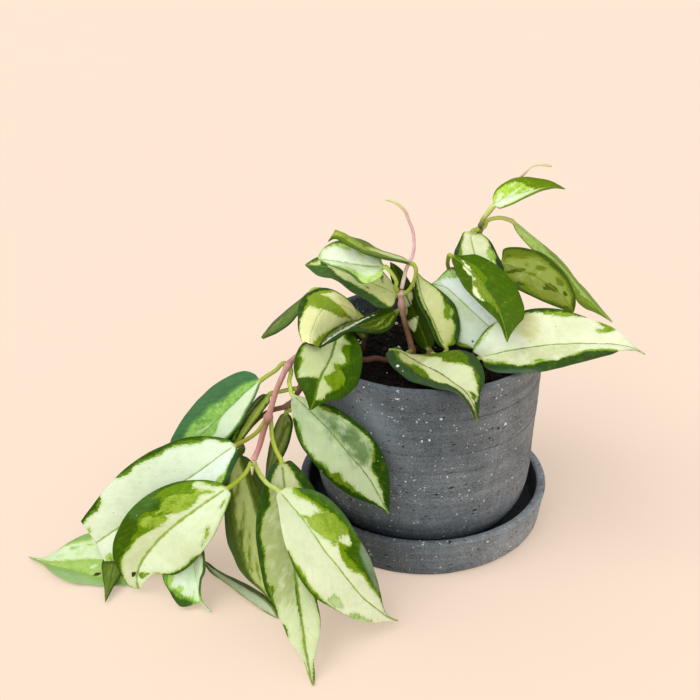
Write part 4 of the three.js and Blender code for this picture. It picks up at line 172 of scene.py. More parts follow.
  right=[(10.6,2.1,145.5),(12.7,2.1,145.1),(15.4,2.8,144.5),(18.8,2.9,144.7),(22.9,2.3,145.4),(27.3,0.3,144.7),(32,-3,143.3),(36.1,-7.2,141.6),(39.7,-11.8,139.4),(42.5,-16.6,136.8),(44.4,-22.2,134),(45.6,-28.4,131.3),(45,-32.7,128.4),(42.4,-34.9,126.2),(40.4,-36.8,124.2),(39,-38.5,122.6),(38.2,-40,121.3),(37.7,-40.9,120.3)]),
 "leaf_right_large": dict(up=1, root=(27.8,2.8,93.8),
  pet=[(27.8,0.6,94.6),(27.9,-8,97.9),(27,-18,100.6)],
  mid=[(25.6,-27,104.2),(27.8,-27.6,105.3),(30.7,-28.4,106.7),(34.4,-29,108.1),(39,-29,109.4),(44.5,-29,110.7),(50.9,-28.9,111.8),(57.3,-28.3,112.7),(63.8,-27.7,113),(70.2,-27.1,113.2),(76.7,-26.6,113.1),(83.1,-26,112.8),(88.7,-25.1,112.3),(93.5,-25,111.6),(97.5,-25,110.7),(100.5,-25,109.6),(102.7,-25,108.4),(104.1,-25,107.6)],
  left=[(25.6,-26.9,104.4),(22.7,-26.6,106.3),(22.9,-25.9,109.6),(25.5,-24.5,114.1),(29.2,-22.2,118.3),(35.1,-20.2,121.8),(42.4,-18.7,124.7),(50.2,-17.3,126.6),(58.3,-16.4,126.7),(66.4,-15.4,125.1),(74.3,-15.2,122.3),(81.9,-16.1,119.8),(88.5,-17.2,117.6),(93.3,-19.3,114.7),(97,-21.4,111.9),(100,-23.1,110),(102.4,-24.4,108.7),(104.1,-24.9,107.8)],
  right=[(25.7,-27.1,103.9),(27,-30.4,103.3),(29,-35.4,103),(32.4,-39.1,103.5),(37.2,-42.1,104.8),(42.7,-44.5,106.2),(49.1,-45.9,107.2),(55.4,-45.9,108.1),(61.7,-45,109.6),(67.9,-43.6,111.1),(74.2,-41.5,112.1),(80.7,-38.5,112.7),(86.6,-34.9,112.7),(91.6,-31.6,113),(96.2,-29.2,111.9),(99.8,-26.9,110.6),(102.4,-25.5,108.6),(104.1,-25.1,107.4)]),
 "leaf_right_spotted": dict(up=-1, root=(25.1,16.4,134),
  pet=[(27.3,15.6,134.3),(32.3,14,136.4)],
  mid=[(35.1,12,137.9),(36.5,12.2,137.3),(38.3,12.5,136.5),(40.6,12.8,135.5),(43.3,13.2,134.2),(46.5,13.6,132.8),(50.1,14.1,131.1),(53.5,14.5,129.1),(56.9,15,127),(60.2,15.4,124.7),(63.3,15.8,122.2),(66.3,16.3,119.5),(68.7,16.7,117),(70.5,17.1,114.7),(72,17.4,112.7),(73,17.7,111),(73.8,17.9,109.6),(74.2,18,108.8)],
  left=[(35.1,12.4,138.8),(35.5,13.7,140.7),(36.6,15.4,142.7),(38.5,17.2,143.4),(42.3,19.1,143.1),(46.8,20.7,142.3),(51.7,21.7,140.9),(56.6,22.3,139.1),(60.8,22.5,136.3),(64.7,22.3,132.7),(68.3,21.9,129),(71.2,21.2,124.9),(73.3,20.2,121.1),(74.8,19.2,117.7),(75.3,18.4,114.7),(75.3,18.1,112.2),(75,18,110.2),(74.7,18,108.8)],
  right=[(35.1,11.6,137),(35.3,10.8,135.8),(35.7,9.2,134.5),(36.5,8,132.7),(37.9,7.2,130.7),(40.3,6.5,128.6),(43.4,6.3,126.6),(46.8,6.6,124.7),(50.2,7.2,122.7),(53.7,8,120.7),(57.2,9.2,118.5),(60.8,10.8,116.3),(64.1,12.5,114.2),(67,14.2,112.4),(69.4,15.7,110.9),(71.3,16.9,109.7),(72.8,17.6,108.9),(73.7,17.9,108.5)]),
 "leaf_right_narrow": dict(up=1, root=(24.9,14.2,154.4),
  pet=[(27.2,15,155.2),(28.8,15,158.5),(34.7,16.5,159.4)],
  mid=[(40.7,18,157.3),(42.4,19,155.5),(44.7,20.2,153),(47.6,21.7,150),(51.2,23.5,146.4),(55.3,25.5,142.1),(59.8,27.6,137.1),(64.3,29.8,132),(68.8,32,126.9),(73,33.9,121.5),(77.2,35.5,115.9),(81.6,36.8,110.4),(85.6,37.7,105.7),(89.2,38.5,101.8),(92.2,39,98.6),(94.8,39.5,96.2),(96.7,39.8,94.3),(98,40,93.1)],
  left=[(40.7,18.2,157.8),(42.7,20.8,155.4),(45.3,25.7,151.6),(48.4,29.6,147.5),(52.1,33.4,142.9),(56.6,37,138.2),(61.8,40.3,133.1),(66.9,42.8,128.1),(71.5,44.7,122.6),(75.7,45.8,117.1),(79.9,46.3,111.8),(84.3,45.9,107.3),(88,44.8,103.5),(91.1,43.5,100.3),(93.6,42.3,97.8),(95.7,41.1,95.9),(97.2,40.3,94.5),(98.3,40.1,93.4)],
  right=[(40.3,17.9,156.8),(41.4,18.3,154.6),(43,18.5,151.9),(45.3,19.3,148.6),(48.5,20.4,144.7),(52.3,21.8,140.3),(57,23.7,135.4),(62,25.8,130.6),(66.8,28,125.3),(71.5,30,119.9),(75.3,31.8,113.7),(78.4,33.3,107.1),(82.9,34.9,102.7),(87.6,36.6,100.2),(91.3,37.9,97.8),(94.2,38.9,95.7),(96.4,39.6,94),(97.8,39.9,92.9)]),
 "leaf_top": dict(up=1, root=(24.8,14,155.4),
  pet=[(25.5,13.3,157.5),(26.2,12.5,160.2),(28.5,12,164)],
  mid=[(30.3,12,166.6),(31.2,12.4,167.3),(32.5,13,168),(34.2,13.8,168.9),(36.2,14.7,169.8),(38.7,15.7,170.4),(41.6,17,171),(44.6,18.2,171.4),(47.4,19.6,171.7),(50.3,21.1,172),(53.2,22.4,172.2),(56.2,23.7,172.4),(58.8,24.7,172.5),(61,25.4,172.4),(62.9,26,172.1),(64.4,26.5,171.7),(65.5,26.8,171.4),(66.3,27,171.1)],
  left=[(30.3,12.1,166.8),(30.3,13.4,167.8),(30.5,15.6,168.9),(31,17.5,170.5),(32.1,19.6,172.4),(34.2,21.6,174.1),(37.2,23.4,175.7),(40.5,25,176.9),(44,26.4,177.1),(47.7,27.5,176.9),(51.4,28.2,176.2),(55,28.6,175.6),(58.1,28.5,175),(60.6,28.2,174.1),(62.7,27.8,173.1),(64.3,27.4,172.4),(65.5,27.1,171.8),(66.3,27.1,171.4)],
  right=[(30.3,11.9,166.4),(31.3,10.6,166.6),(32.6,7.8,167.5),(34.3,6.2,168.3),(36.3,5.1,169.6),(38.6,4.5,170.9),(41.2,4.8,172),(43.9,5.8,173),(46.6,7.5,173.8),(49.3,9.7,174.5),(52.1,12.2,174.9),(55.2,15.1,174.8),(58,18,174.4),(60.5,20.7,173.9),(62.5,23,173.2),(64.2,25,172.3),(65.5,26.4,171.4),(66.3,26.9,170.9)]),
 "leaf_over_front_rim": dict(up=1, root=(-6.7,2.4,92.4),
  pet=[(-7.7,0.3,92.7),(-10.2,-5,94.1),(-14,-11.5,97.1)],
  mid=[(-17.4,-14,100.5),(-15.7,-15.5,101.2),(-13.5,-17.6,101.9),(-11,-20.4,102.4),(-8.4,-24.3,102.6),(-5.2,-28.6,102.8),(-1.5,-33.6,103.2),(2,-38.6,104.3),(5.3,-43.8,105.3),(8.2,-49.2,106.4),(11.4,-54.4,106.6),(14.9,-59.6,106.6),(18.1,-64.1,106),(20.8,-66.9,103.7),(22.3,-68.1,100.6),(23.2,-68.7,97.7),(23.6,-68.9,95.3),(23.8,-69,93.6)],
  left=[(-17.5,-13.9,100.7),(-15.7,-13.2,102),(-12.7,-12.3,100.9),(-9.7,-13.8,98.7),(-5.2,-15.6,98.6),(0.3,-18.1,100.4),(6.3,-22.2,104),(12.2,-28.5,108.7),(17.9,-37.3,113.4),(23.1,-45.5,114.8),(26.1,-52,112.8),(27.2,-57.8,109.4),(25.8,-61.2,105.8),(24.9,-63.5,102.4),(24.8,-65.7,99.4),(24.5,-67.4,97.1),(24.2,-68.6,95.3),(24,-68.9,93.8)],
  right=[(-17.4,-14.1,100.3),(-19.3,-16.6,100.8),(-19.1,-21.1,100.6),(-17.6,-26.3,100.2),(-15.1,-32.5,100.3),(-11.6,-38.8,100.6),(-7.5,-45.1,101),(-3,-50.6,102.5),(1.6,-55.7,104.3),(6.1,-60.7,105.7),(10.6,-64.5,107.6),(14.6,-68,107.8),(17.6,-70.8,106.3),(19.6,-71.8,103.7),(21,-71.2,100.5),(22.2,-70.3,97.6),(23,-69.3,95.3),(23.5,-68.9,93.8)]),
}
STEMS = {
 "stem_trailing": dict(r=1.5, route=[(-13,-4.5,91.6),(-17.1,-8,91.5),(-24.5,-11,94.3),(-30.8,-14,94.8),(-39.4,-17,100.6),(-48.4,-21,105.7),(-56.2,-26,105.8),(-63.2,-31,103.3),(-65.2,-33.5,101.8),(-69.4,-44,95.4),(-70.8,-49.5,92),(-72.4,-58,87),(-74,-64,83),(-75.5,-71,78),(-77.9,-76,73.4)]),
 "stem_second": dict(r=1.35, route=[(-38.5,-24,90.2),(-42,-25.5,98),(-46.5,-27,104.5),(-51,-29.5,107.3),(-55.5,-33,105.5),(-58,-36.5,99),(-60,-38.5,91),(-65.7,-36.5,80.9),(-73.7,-34,76.4),(-80.7,-31.5,70.7),(-85.5,-31,65.1),(-90.6,-32.5,58.5),(-94.9,-37.5,53.3),(-99.2,-47.5,49.3),(-103.3,-55,42.4),(-108.4,-58,31.3),(-113.9,-57.5,16.9),(-118.3,-56.5,7.4)]),
 "stem_upright": dict(r=1.5, route=[(-6.3,2,89.8),(-6.6,2.3,91.6),(-7.6,3,96.3),(-10.1,4,104.8),(-11.7,4.5,111.2),(-12.7,5,119.2),(-12.9,5,124.7)]),
 "stem_tendril": dict(r=0.8, route=[(-12.7,5,125.4),(-12,6,128.6),(-10.7,8,134.2),(-9.3,9,137.6),(-7.9,10,140.4),(-7,11,144.8),(-7.1,11.5,148.9),(-7.9,11.5,154.1),(-9.7,11,159),(-11.7,10,164.5),(-14.1,9,167.4),(-17.5,8,170),(-21.5,7,171.5)]),
 "stem_right": dict(r=1.5, route=[(24,2,90.3),(28.4,3.5,96),(27.5,8,106.7),(26.5,13,116.5),(25,16.5,135.8),(24.9,15.5,147.9),(24.8,14,155.4)]),
 "stem_top_tendril": dict(r=0.6, route=[(25.4,15,156.3),(28.5,20,158.9),(33.3,23.5,164),(38.9,26,170.5),(43.7,29,175.4),(46.2,26,179.3),(48.6,22,183.8),(52,18,186.3),(56,15,187),(57.8,14,186.9)]),
 "stem_left": dict(r=1.35, route=[(-32,6,89.8),(-31.7,5.3,92.8),(-31.1,5,97.5),(-29.9,5.5,102.9),(-28.4,6,106.7)]),
 "stem_front": dict(r=1.3, route=[(2,-6,90.4),(2.3,-4,93),(3,-2,96)]),
 "bud_trailing": dict(r=0.95, route=[(-77.7,-79.3,72.7),(-77.7,-80.2,71.2),(-77.7,-80.8,68.6)]),
}
# ------------------------------------------------------------------ how each leaf is coloured
# Every place on a blade is given as (u, s): u runs 0..1 from the base to the tip, s runs
# from -1 (left margin) over 0 (midrib) to +1 (right margin).
# A, B   rows (u, dark, mid, lime): how far each green reaches in from the left / right
#        margin, as a share of that half's width
# zones  (tone, outline): patches laid over those bands, in order
# tints  (which colour, new colour, outline, soft edge in mm, strength)
# some tints are painted shade and some are painted sheen; each one is marked at its leaf


def C(r, g, b, k=1.0):
    """a colour as the eye reads it, 0..255, to linear"""
    out = []
    for v in (r, g, b):
        v = v / 255.0
        v = v / 12.92 if v <= 0.04045 else ((v + 0.055) / 1.055) ** 2.4
        out.append(min(v * k, 0.92))
    return tuple(out)


MINT, WHITE, CREAM = C(222, 238, 214), C(234, 245, 225), C(225, 232, 186)
OLCREAM, YCREAM, SAGEC = C(192, 200, 142), C(226, 226, 155), C(196, 210, 170)
DARK, TEAL, MID, LIME = C(52, 86, 10), C(50, 86, 52), C(104, 142, 18), C(164, 200, 78)
OLIVE, OLDARK = C(116, 126, 44), C(66, 80, 10)
STALK = C(168, 186, 78)
FULL = [(-.05, -1.2), (1.05, -1.2), (1.05, 1.2), (-.05, 1.2)]
PLAIN = dict(
    A=[(0, .05, .1, .2), (.2, .08, .16, .26), (.5, .1, .18, .26), (.8, .1, .2, .3), (1, .3, .5, .8)],
    B=[(0, .05, .1, .2), (.3, .1, .18, .28), (.6, .08, .16, .26), (.85, .12, .2, .3), (1, .3, .5, .8)])
LOOKS = {
    "leaf_trail_back_left": dict(ribc=0.5, rib=0.5, core2=C(192, 214, 178), 
        core=C(214, 232, 200), dark=C(60, 104, 64), mid=C(92, 144, 70), lime=C(142, 190, 88), jag=.7, fade=1.1, mott=.35,
        A=[(0, .15, .3, .8), (.05, .48, .60, 1.1), (.1, .56, .66, 1.1), (.2, .55, .64, 1.1), (.3, .58, .68, 1.1), (.35, .60, .70, 1.1),
           (.4, .53, .62, 1.1), (.46, .45, .56, 1.1), (.55, .50, .60, 1.1), (.63, .40, .50, 1.1), (.7, .42, .50, 1.1), (.8, .5, .6, 1.1), (1, .6, .8, 1)],
        B=[(0, .03, .05, .2), (.05, .04, .07, .12), (.1, .04, .07, .1), (.2, .04, .06, .09), (.3, .04, .06, .08), (.45, .04, .06, .08), (.7, .05, .1, .15), (1, .3, .6, .9)],
        zones=[("lime", [(.38, -.03), (.45, .13), (.5, .3), (.55, .43), (.59, .46), (.63, .3), (.7, .1), (.78, -.02), (.6, -.05)]),
               ("mid", [(.36, -.2), (.42, -.36), (.47, -.52), (.475, -.46), (.42, -.3), (.37, -.17)]),
               ("mid", [(.5, -.15), (.56, -.32), (.61, -.48), (.62, -.42), (.57, -.27), (.51, -.12)]),
               ("pale", [(.5, -.05), (.58, -.1), (.66, -.2), (.68, -.14), (.6, -.05), (.55, -.02)])],
        tints=[("dark", C(72, 118, 72), [(0, -1), (1, -1), (1, -.62), (0, -.62)], 3, .5)]),
    "leaf_trail_against_pot": dict(rib=0.36, dust=0.1, stalk=C(214, 234, 110), ribc=0.65, core2=C(192, 210, 170), 
        core=C(172, 190, 142), mid=C(92, 118, 6), dark=C(30, 66, 0), lime=C(150, 182, 100),
        A=[(0, 0, 0, 0), (.14, 0, 0, 0), (.155, .08, .12, .13), (.18, .15, .18, .2), (.22, .14, .21, .23), (.26, .1, .17, .2), (.3, .06, .13, .14),
           (.36, .05, .09, .1), (.44, .06, .1, .12), (.475, .12, .2, .24), (.52, .16, .22, .24), (.555, .1, .18, .2), (.565, .12, .38, .4), (.6, .12, .37, .4),
           (.63, .12, .27, .3), (.65, .2, .36, .38), (.7, .22, .37, .39), (.73, .22, .3, .33), (.75, .28, .38, .4), (.78, .28, .33, .34), (.86, .33, .36, .37), (.92, .4, .42, .45), (1, 1, 1, 1)],
        B=[(0, 0, 0, 0), (.16, 0, 0, 0), (.18, .2, .38, .4), (.22, .2, .4, .42), (.25, .24, .36, .38), (.27, .27, .32, .34), (.3, .26, .28, .3), (.36, .16, .17, .2),
           (.4, .14, .15, .17), (.5, .12, .14, .17), (.55, .11, .13, .17), (.585, .14, .16, .22), (.6, .2, .3, .36), (.62, .3, .45, .5), (.645, .45, .54, .58),
           (.652, .6, .68, .7), (.68, .68, .73, .75), (.7, .64, .7, .72), (.74, .55, .66, .7), (.755, .66, .7, .74), (.78, .66, .7, .74), (.82, .6, .64, .7), (.87, .72, .76, .8), (.92, .75, .8, .85), (1, 1, 1, 1)],
        zones=[("brown", [(.447, -.47), (.456, -.48), (.458, -.43), (.45, -.42)])],
        tints=[("core", C(120, 148, 98), [(.17, .03), (.3, .02), (.6, .05), (.64, .3), (.62, .55), (.56, .8), (.4, .85), (.25, .7), (.17, .6)], 7, 1.0),
               ("core", C(84, 112, 64), [(.3, .15), (.5, .08), (.6, .2), (.6, .55), (.52, .75), (.4, .6), (.36, .35)], 6, 1.0),
               ("core", C(205, 222, 178), [(0, -.5), (.2, -.5), (.3, -.2), (.3, 0), (0, 0)], 4, .7)]),
    "leaf_trail_folded": dict(
        core=C(186, 204, 92), dark=C(42, 72, 2), mid=C(78, 112, 8), lime=C(136, 166, 40), un=.0, rib=.1, mott=.4,
        A=[(0, .5, 1.1, 1.2), (.2, .46, 1.1, 1.2), (.5, .46, 1.1, 1.2), (.8, .5, 1.1, 1.2), (1, .6, 1.1, 1.2)],
        B=[(0, 0, 1.1, 1.2), (.5, 0, 1.1, 1.2), (1, .3, 1.1, 1.2)],
        zones=[("lime", [(.12, -.58), (.3, -.54), (.6, -.50), (.85, -.44), (.86, -.36), (.6, -.4), (.3, -.44), (.12, -.46)]),
               ("dark", [(.05, -.38), (.4, -.34), (.8, -.28), (.8, -.20), (.4, -.24), (.05, -.28)]),
               ("pale", [(-.05, -.20), (.5, -.17), (.95, -.12), (.95, .45), (.5, .55), (-.05, .6)])]),
    "leaf_trail_behind_stem": dict(
        core=C(124, 142, 66), dark=C(44, 66, 6), mid=C(84, 106, 24), lime=C(118, 138, 52), un=0.0,
        A=[(0, .05, .2, .3), (.5, .1, .3, .5), (1, .5, 1, 1)], B=[(0, .1, .2, .3), (.3, .14, .3, .3), (.6, .1, .4, .5), (1, .5, 1, 1)],
        zones=[("mid", [(.15, .4), (.22, .1), (.4, -.2), (.6, -.25), (.6, .1), (.4, .2), (.25, .3), (.18, .8)])]),
    "leaf_trail_cut_end": dict(ribc=0.2, stalk=C(140, 146, 44), 
        core=C(218, 232, 204), dark=C(44, 76, 0), mid=C(88, 126, 10), lime=C(162, 194, 92), rib=0.45,
        A=[(0, .1, .2, .5), (.04, .14, .23, .25), (.075, .16, .29, .31), (.1, .14, .25, .27), (.13, .1, .16, .18), (.17, .06, .12, .14), (.19, .1, .17, .2),
           (.205, .12, .22, .26), (.25, .11, .19, .23), (.3, .1, .16, .18), (.35, .09, .13, .15), (.4, .08, .12, .13), (.43, .1, .18, .2), (.47, .1, .15, .16),
           (.52, .07, .13, .15), (.58, .05, .09, .1), (.61, .06, .13, .15), (.64, .06, .14, .15), (.67, .03, .09, .1), (.7, .01, .04, .04), (.725, 0, 0, 0),
           (.825, 0, 0, 0), (.835, .02, .07, .08), (.85, .06, .18, .19), (.865, .12, .2, .21), (.89, .16, .26, .27), (.905, .12, .2, .2), (.93, .1, .17, .18), (.96, .1, .15, .16), (1, .1, .14, .16)],
        B=[(0, .1, .2, .5), (.04, .28, .36, .38), (.08, .28, .33, .35), (.12, .22, .26, .28), (.16, .16, .2, .22), (.2, .12, .15, .28), (.24, .08, .12, .3), (.27, .05, .1, .14), (.5, .06, .1, .13),
           (.7, .0, .0, .0), (.88, 0, 0, 0), (.92, .02, .04, .05), (1, .02, .05, .08)],
        zones=[("lime", [(.935, .7), (.955, .62), (.975, .68), (.99, .82), (.985, .97), (.95, .95), (.94, .85)]), ("lime", [(.98, -.6), (1.01, -.62), (1.01, -.45), (.985, -.47)])],
        tints=[("core", C(228, 242, 230), [(-.02, .04), (.6, .04), (.6, .9), (-.02, .9)], 1.5, .85), ("dark", C(40, 80, 48), [(0, -1.1), (.2, -1.1), (.2, -.6), (0, -.6)], 3, .7),
               ("dark", C(36, 76, 46), [(0, .5), (.3, .5), (.3, 1.1), (0, 1.1)], 3, .8), ("core", C(214, 228, 192), [(.45, -.8), (1, -.8), (1, 0), (.6, -.1)], 5, .6)]),
    "leaf_trail_front_left": dict(ribc=0.15, stalk=C(152, 172, 44), dust=0.2, 
        core=C(208, 222, 176), mid=C(96, 132, 0), dark=C(54, 86, 0), lime=C(146, 176, 54), rib=0.7,
        A=[(0, .1, .25, .36), (.05, .12, .33, .36), (.09, .1, .33, .35), (.1, .08, .32, .74), (.13, .06, .2, .7), (.17, .06, .12, .62), (.195, .1, .14, .66), (.2, .12, .47, .68), (.22, .2, .5, .78),
           (.26, .3, .42, .83), (.28, .3, .38, .83), (.31, .27, .33, .81), (.35, .26, .32, .79), (.38, .3, .37, .74), (.42, .42, .45, .67), (.43, .44, .48, .76), (.47, .38, .46, .78),
           (.5, .3, .4, .75), (.53, .28, .34, .72), (.56, .32, .4, .70), (.575, .38, .6, .67), (.6, .45, .6, .63), (.63, .42, .56, .57), (.65, .40, .52, .53), (.68, .44, .54, .54), (.72, .4, .49, .5), (.75, .33, .4, .41), (.8, .24, .3, .31),
           (.85, .14, .18, .19), (.9, .08, .11, .12), (.95, .02, .05, .05), (1, 0, 0, 0)],
        B=[(0, 0, .05, .3), (.04, 0, 0, .05), (.49, 0, 0, 0), (.51, .03, .05, .06), (.55, .06, .09, .1), (.6, .05, .07, .08), (.67, .06, .08, .1), (.72, .07, .11, .12), (.77, .06, .1, .11), (.8, .02, .04, .08), (.84, 0, 0, 0), (1, 0, 0, 0)],
        zones=[("mid", [(.1, -.95), (.2, -.94), (.33, -.93), (.42, -.86), (.36, -.7), (.3, -.66), (.25, -.7), (.2, -.6), (.12, -.6)]), ("pale", [(.0, -.62), (.09, -.66), (.12, -.76), (.15, -.9), (.18, -.92), (.2, -.82), (.215, -.66), (.18, -.56), (.13, -.46), (.1, -.3), (.0, -.2)]),
               ("mid", [(.355, -.29), (.4, -.35), (.45, -.5), (.5, -.58), (.47, -.44), (.43, -.36), (.39, -.28)]),
               ("mid", [(.5, -.24), (.55, -.3), (.6, -.37), (.6, -.5), (.56, -.42), (.52, -.32)]),
               ("lime", [(.305, .70), (.33, .72), (.36, .80), (.45, .86), (.455, .9), (.40, .89), (.345, .85), (.31, .79)]),
               ("lime", [(.09, .73), (.14, .7), (.16, .76), (.12, .82)]),
               ("mid", [(.865, .75), (.875, .35), (.885, .18), (.905, .2), (.92, .4), (.915, .6), (.89, .8)]), ("lime", [(.88, .6), (.885, .35), (.9, .3), (.905, .5), (.89, .65)]),
               ("lime", [(.8, .8), (.83, .8), (.85, 1.0), (.82, 1.0)]),
               ("brown", [(.87, -.35), (.885, -.4), (.905, -.36), (.91, -.25), (.895, -.1), (.88, -.12), (.872, -.22)])],
        tints=[("core", C(216, 232, 196), [(-.02, .04), (1, .04), (1, 1.1), (-.02, 1.1)], 1.5, .8), ("dark", C(74, 116, 50), [(.37, -1.1), (.56, -1.1), (.55, -.7), (.4, -.7)], 2.5, .6)]),
    "leaf_trail_long": dict(ribc=0.45, stalk=C(190, 206, 76), 
        # the olive core is partly the leaf's own olive cream and partly painted shade from the leaf above
        core=C(190, 198, 146), core2=C(206, 220, 170), dark=C(36, 68, 0), mid=C(86, 116, 4), lime=C(158, 178, 70), rib=0.5,
        A=[(0, .1, .2, .5), (.04, .4, .44, .46), (.08, .3, .34, .36), (.12, .26, .29, .3), (.15, .26, .28, .3), (.2, .37, .4, .41), (.22, .37, .4, .41), (.235, .28, .33, .34), (.25, .22, .26, .27),
           (.3, .16, .19, .2), (.35, .12, .15, .16), (.375, .15, .19, .2), (.4, .17, .22, .23), (.43, .17, .2, .21), (.455, .12, .15, .17), (.5, .12, .15, .16), (.53, .09, .12, .13), (.555, .1, .15, .17), (.59, .08, .15, .17),
           (.61, .05, .09, .11), (.64, .02, .06, .07), (.67, .0, .02, .03), (.7, 0, 0, 0), (.88, 0, 0, 0), (.93, .03, .05, .3), (1, .05, .15, 1.1)],
        B=[(0, .1, .2, .5), (.03, .3, .38, .4), (.08, .33, .4, .42), (.15, .34, .38, .4), (.3, .25, .3, .32), (.5, .15, .2, .22), (.62, .14, .17, .2), (.66, .1, .14, .16), (.7, .05, .09, .1), (.75, .0, .03, .04), (.79, 0, 0, 0), (.88, 0, 0, 0), (.93, .05, .1, .3), (1, .1, .2, 1.1)],
        zones=[("mid", [(.553, -.88), (.557, -.72), (.575, -.72), (.588, -.84)]), ("mid", [(.71, -1.1), (.73, -.9), (.75, -.86), (.78, -.93), (.79, -1.1)]),
               ("mid", [(.5, -.02), (.57, -.07), (.65, -.12), (.7, -.1), (.75, -.04), (.7, .02), (.6, .02), (.52, .01)]), ("lime", [(.74, -.06), (.78, -.08), (.82, -.2), (.85, -.16), (.9, .0), (.86, .05), (.75, .03)]),
               ("mid", [(.93, .95), (.95, .6), (.98, .5), (1, .9), (.97, 1.1)])],
        # the first tint, darker olive over the left half, is painted shade from the leaf above
        tints=[("core", C(152, 164, 96), [(.12, -.8), (.62, -.95), (.66, -.2), (.4, .2), (.12, 0)], 5, .85), ("dark", TEAL, [(0, -1.1), (.12, -1.1), (.12, -.5), (0, -.5)], 3, .6)]),
    "leaf_trail_front_right": dict(ribc=0.12, stalk=C(192, 216, 118), dust=0.12, core2=C(230, 240, 202), 
        core=C(210, 220, 178), mid=C(116, 148, 12), dark=C(56, 92, 0), lime=C(150, 176, 60), rib=0.36,
        A=[(0, 0, 0, 0), (.28, 0, 0, 0), (.31, .02, .04, .04), (.38, .05, .06, .07), (.395, .07, .12, .13), (.41, .08, .14, .15), (.46, .07, .13, .15), (.5, .07, .11, .12), (.55, .07, .12, .13), (.6, .05, .09, .12), (.65, .02, .05, .06), (.7, 0, .02, .04), (.9, 0, 0, 0), (1, 0, 0, 0)],
        B=[(0, 0, 0, .05), (.08, 0, 0, .02), (.09, .02, .1, .42), (.12, .15, .36, .47), (.14, .28, .38, .46), (.18, .3, .37, .42), (.22, .33, .38, .41), (.28, .3, .36, .4), (.32, .25, .31, .45), (.36, .2, .3, .5), (.4, .17, .28, .5), (.44, .17, .22, .26),
           (.46, .2, .22, .24), (.48, .3, .34, .35), (.5, .4, .44, .45), (.52, .5, .78, .79), (.55, .55, .78, .79), (.6, .58, .67, .69), (.64, .47, .53, .55), (.7, .45, .53, .55), (.74, .42, .5, .52), (.78, .34, .42, .44), (.82, .28, .34, .36), (.86, .2, .34, .4), (.93, .3, .5, .6), (1, .3, .9, 1)],
        zones=[("lime", [(.17, -.04), (.22, .08), (.3, .08), (.36, .21), (.42, .29), (.43, .42), (.44, .6), (.46, .72), (.46, .78), (.3, .75), (.28, .58), (.25, .42), (.235, .25), (.205, .13), (.185, .03)]),
               ("mid", [(.41, .4), (.45, .34), (.47, .25), (.5, .22), (.54, .21), (.58, .28), (.58, .7), (.54, .66), (.5, .58), (.46, .5)]),
               ("dark", [(.46, .42), (.5, .38), (.56, .42), (.6, .5), (.6, .9), (.52, .8), (.5, .58)]),
               ("pale", [(.405, .44), (.43, .54), (.46, .6), (.495, .655), (.505, .72), (.48, .75), (.46, .77), (.445, .7), (.43, .62)]),
               ("lime", [(.61, -.88), (.6, -.6), (.63, -.58), (.66, -.62), (.69, -.72), (.7, -.8), (.67, -.92), (.64, -.9)]),
               ("lime", [(.74, -.95), (.745, -.73), (.78, -.68), (.82, -.7), (.86, -.76), (.87, -.95)])],
        # the first tint, pale blue-grey on the dark right margin past the middle, is painted sheen
        tints=[("dark", C(128, 152, 122), [(.56, .76), (.64, .68), (.78, .66), (.82, 1.1), (.54, 1.1)], 2, .95), ("dark", C(70, 100, 60), [(.12, .86), (.5, .88), (.5, 1.1), (.12, 1.1)], 1.2, .7),
               ("lime", C(116, 146, 22), [(.2, .5), (.33, .42), (.45, .5), (.45, .9), (.22, .9)], 2.5, .8),
               ("lime", C(190, 216, 156), [(.58, -1.1), (.9, -1.1), (.9, -.5), (.58, -.5)], 2, .85)]),
    "leaf_ground_left": dict(
        core=C(214, 232, 186), mid=C(140, 176, 82), dark=C(138, 170, 104), lime=C(172, 204, 104), rib=.3,
        A=[(0, 0, .1, .3), (.3, 0, .05, .1), (.45, .1, .2, .25), (.48, .2, .28, .34), (.58, .18, .26, .34), (.66, .1, .16, .24), (.7, .03, .1, .2), (.8, 0, .05, .1), (.88, 0, .1, .2), (.93, 0, .3, .9), (1, 0, .8, 1.2)],
        B=[(0, .1, .2, .8), (.25, .1, .2, .7), (.4, .15, .3, .8), (.5, .3, .45, 1.05), (.6, .5, .6, 1.05), (.8, .5, .65, 1.05), (.9, .3, .6, 1.1), (1, .3, .9, 1.2)],
        zones=[("lime", [(.44, -.52), (.5, -.55), (.5, -.48), (.45, -.45)]), ("lime", [(.55, -.5), (.62, -.54), (.62, -.47), (.56, -.44)]), ("lime", [(.66, -.3), (.72, -.34), (.72, -.26), (.67, -.24)]), ("lime", [(.5, -.3), (.54, -.33), (.55, -.26), (.51, -.24)]), ("lime", [(.25, -.05), (.265, -.2), (.29, -.32), (.31, -.3), (.32, -.05)]), ("pale", [(.37, .22), (.42, .2), (.45, .33), (.44, .42), (.4, .38)]),
               ("lime", [(.3, -.03), (.8, -.08), (.87, -.2), (.9, .3), (.7, .32), (.5, .3), (.34, .15)]), ("brown", [(.35, .5), (.38, .52), (.42, .6), (.44, .7), (.4, .68), (.36, .6)])],
        tints=[("dark", C(148, 182, 120), [(.3, .8), (1, .5), (1, 1.2), (.3, 1.2)], 3, .9)]),
    "leaf_ground_small": dict(core=C(132, 152, 58), dark=C(50, 74, 4), mid=C(84, 112, 10), lime=C(104, 122, 34), un=.1,
        A=[(0, .3, .6, 1), (.5, .1, .5, .9), (1, .5, 1, 1.2)], B=[(0, .3, .6, 1), (.5, .1, .3, .7), (1, .5, 1, 1.2)], zones=[("mid", [(.55, -.8), (.9, -.7), (.9, .6), (.6, .4)])]),
    "leaf_ground_middle": dict(
        core=C(214, 232, 202), dark=C(52, 86, 18), mid=C(112, 154, 44), lime=C(168, 206, 96), rib=0.2,
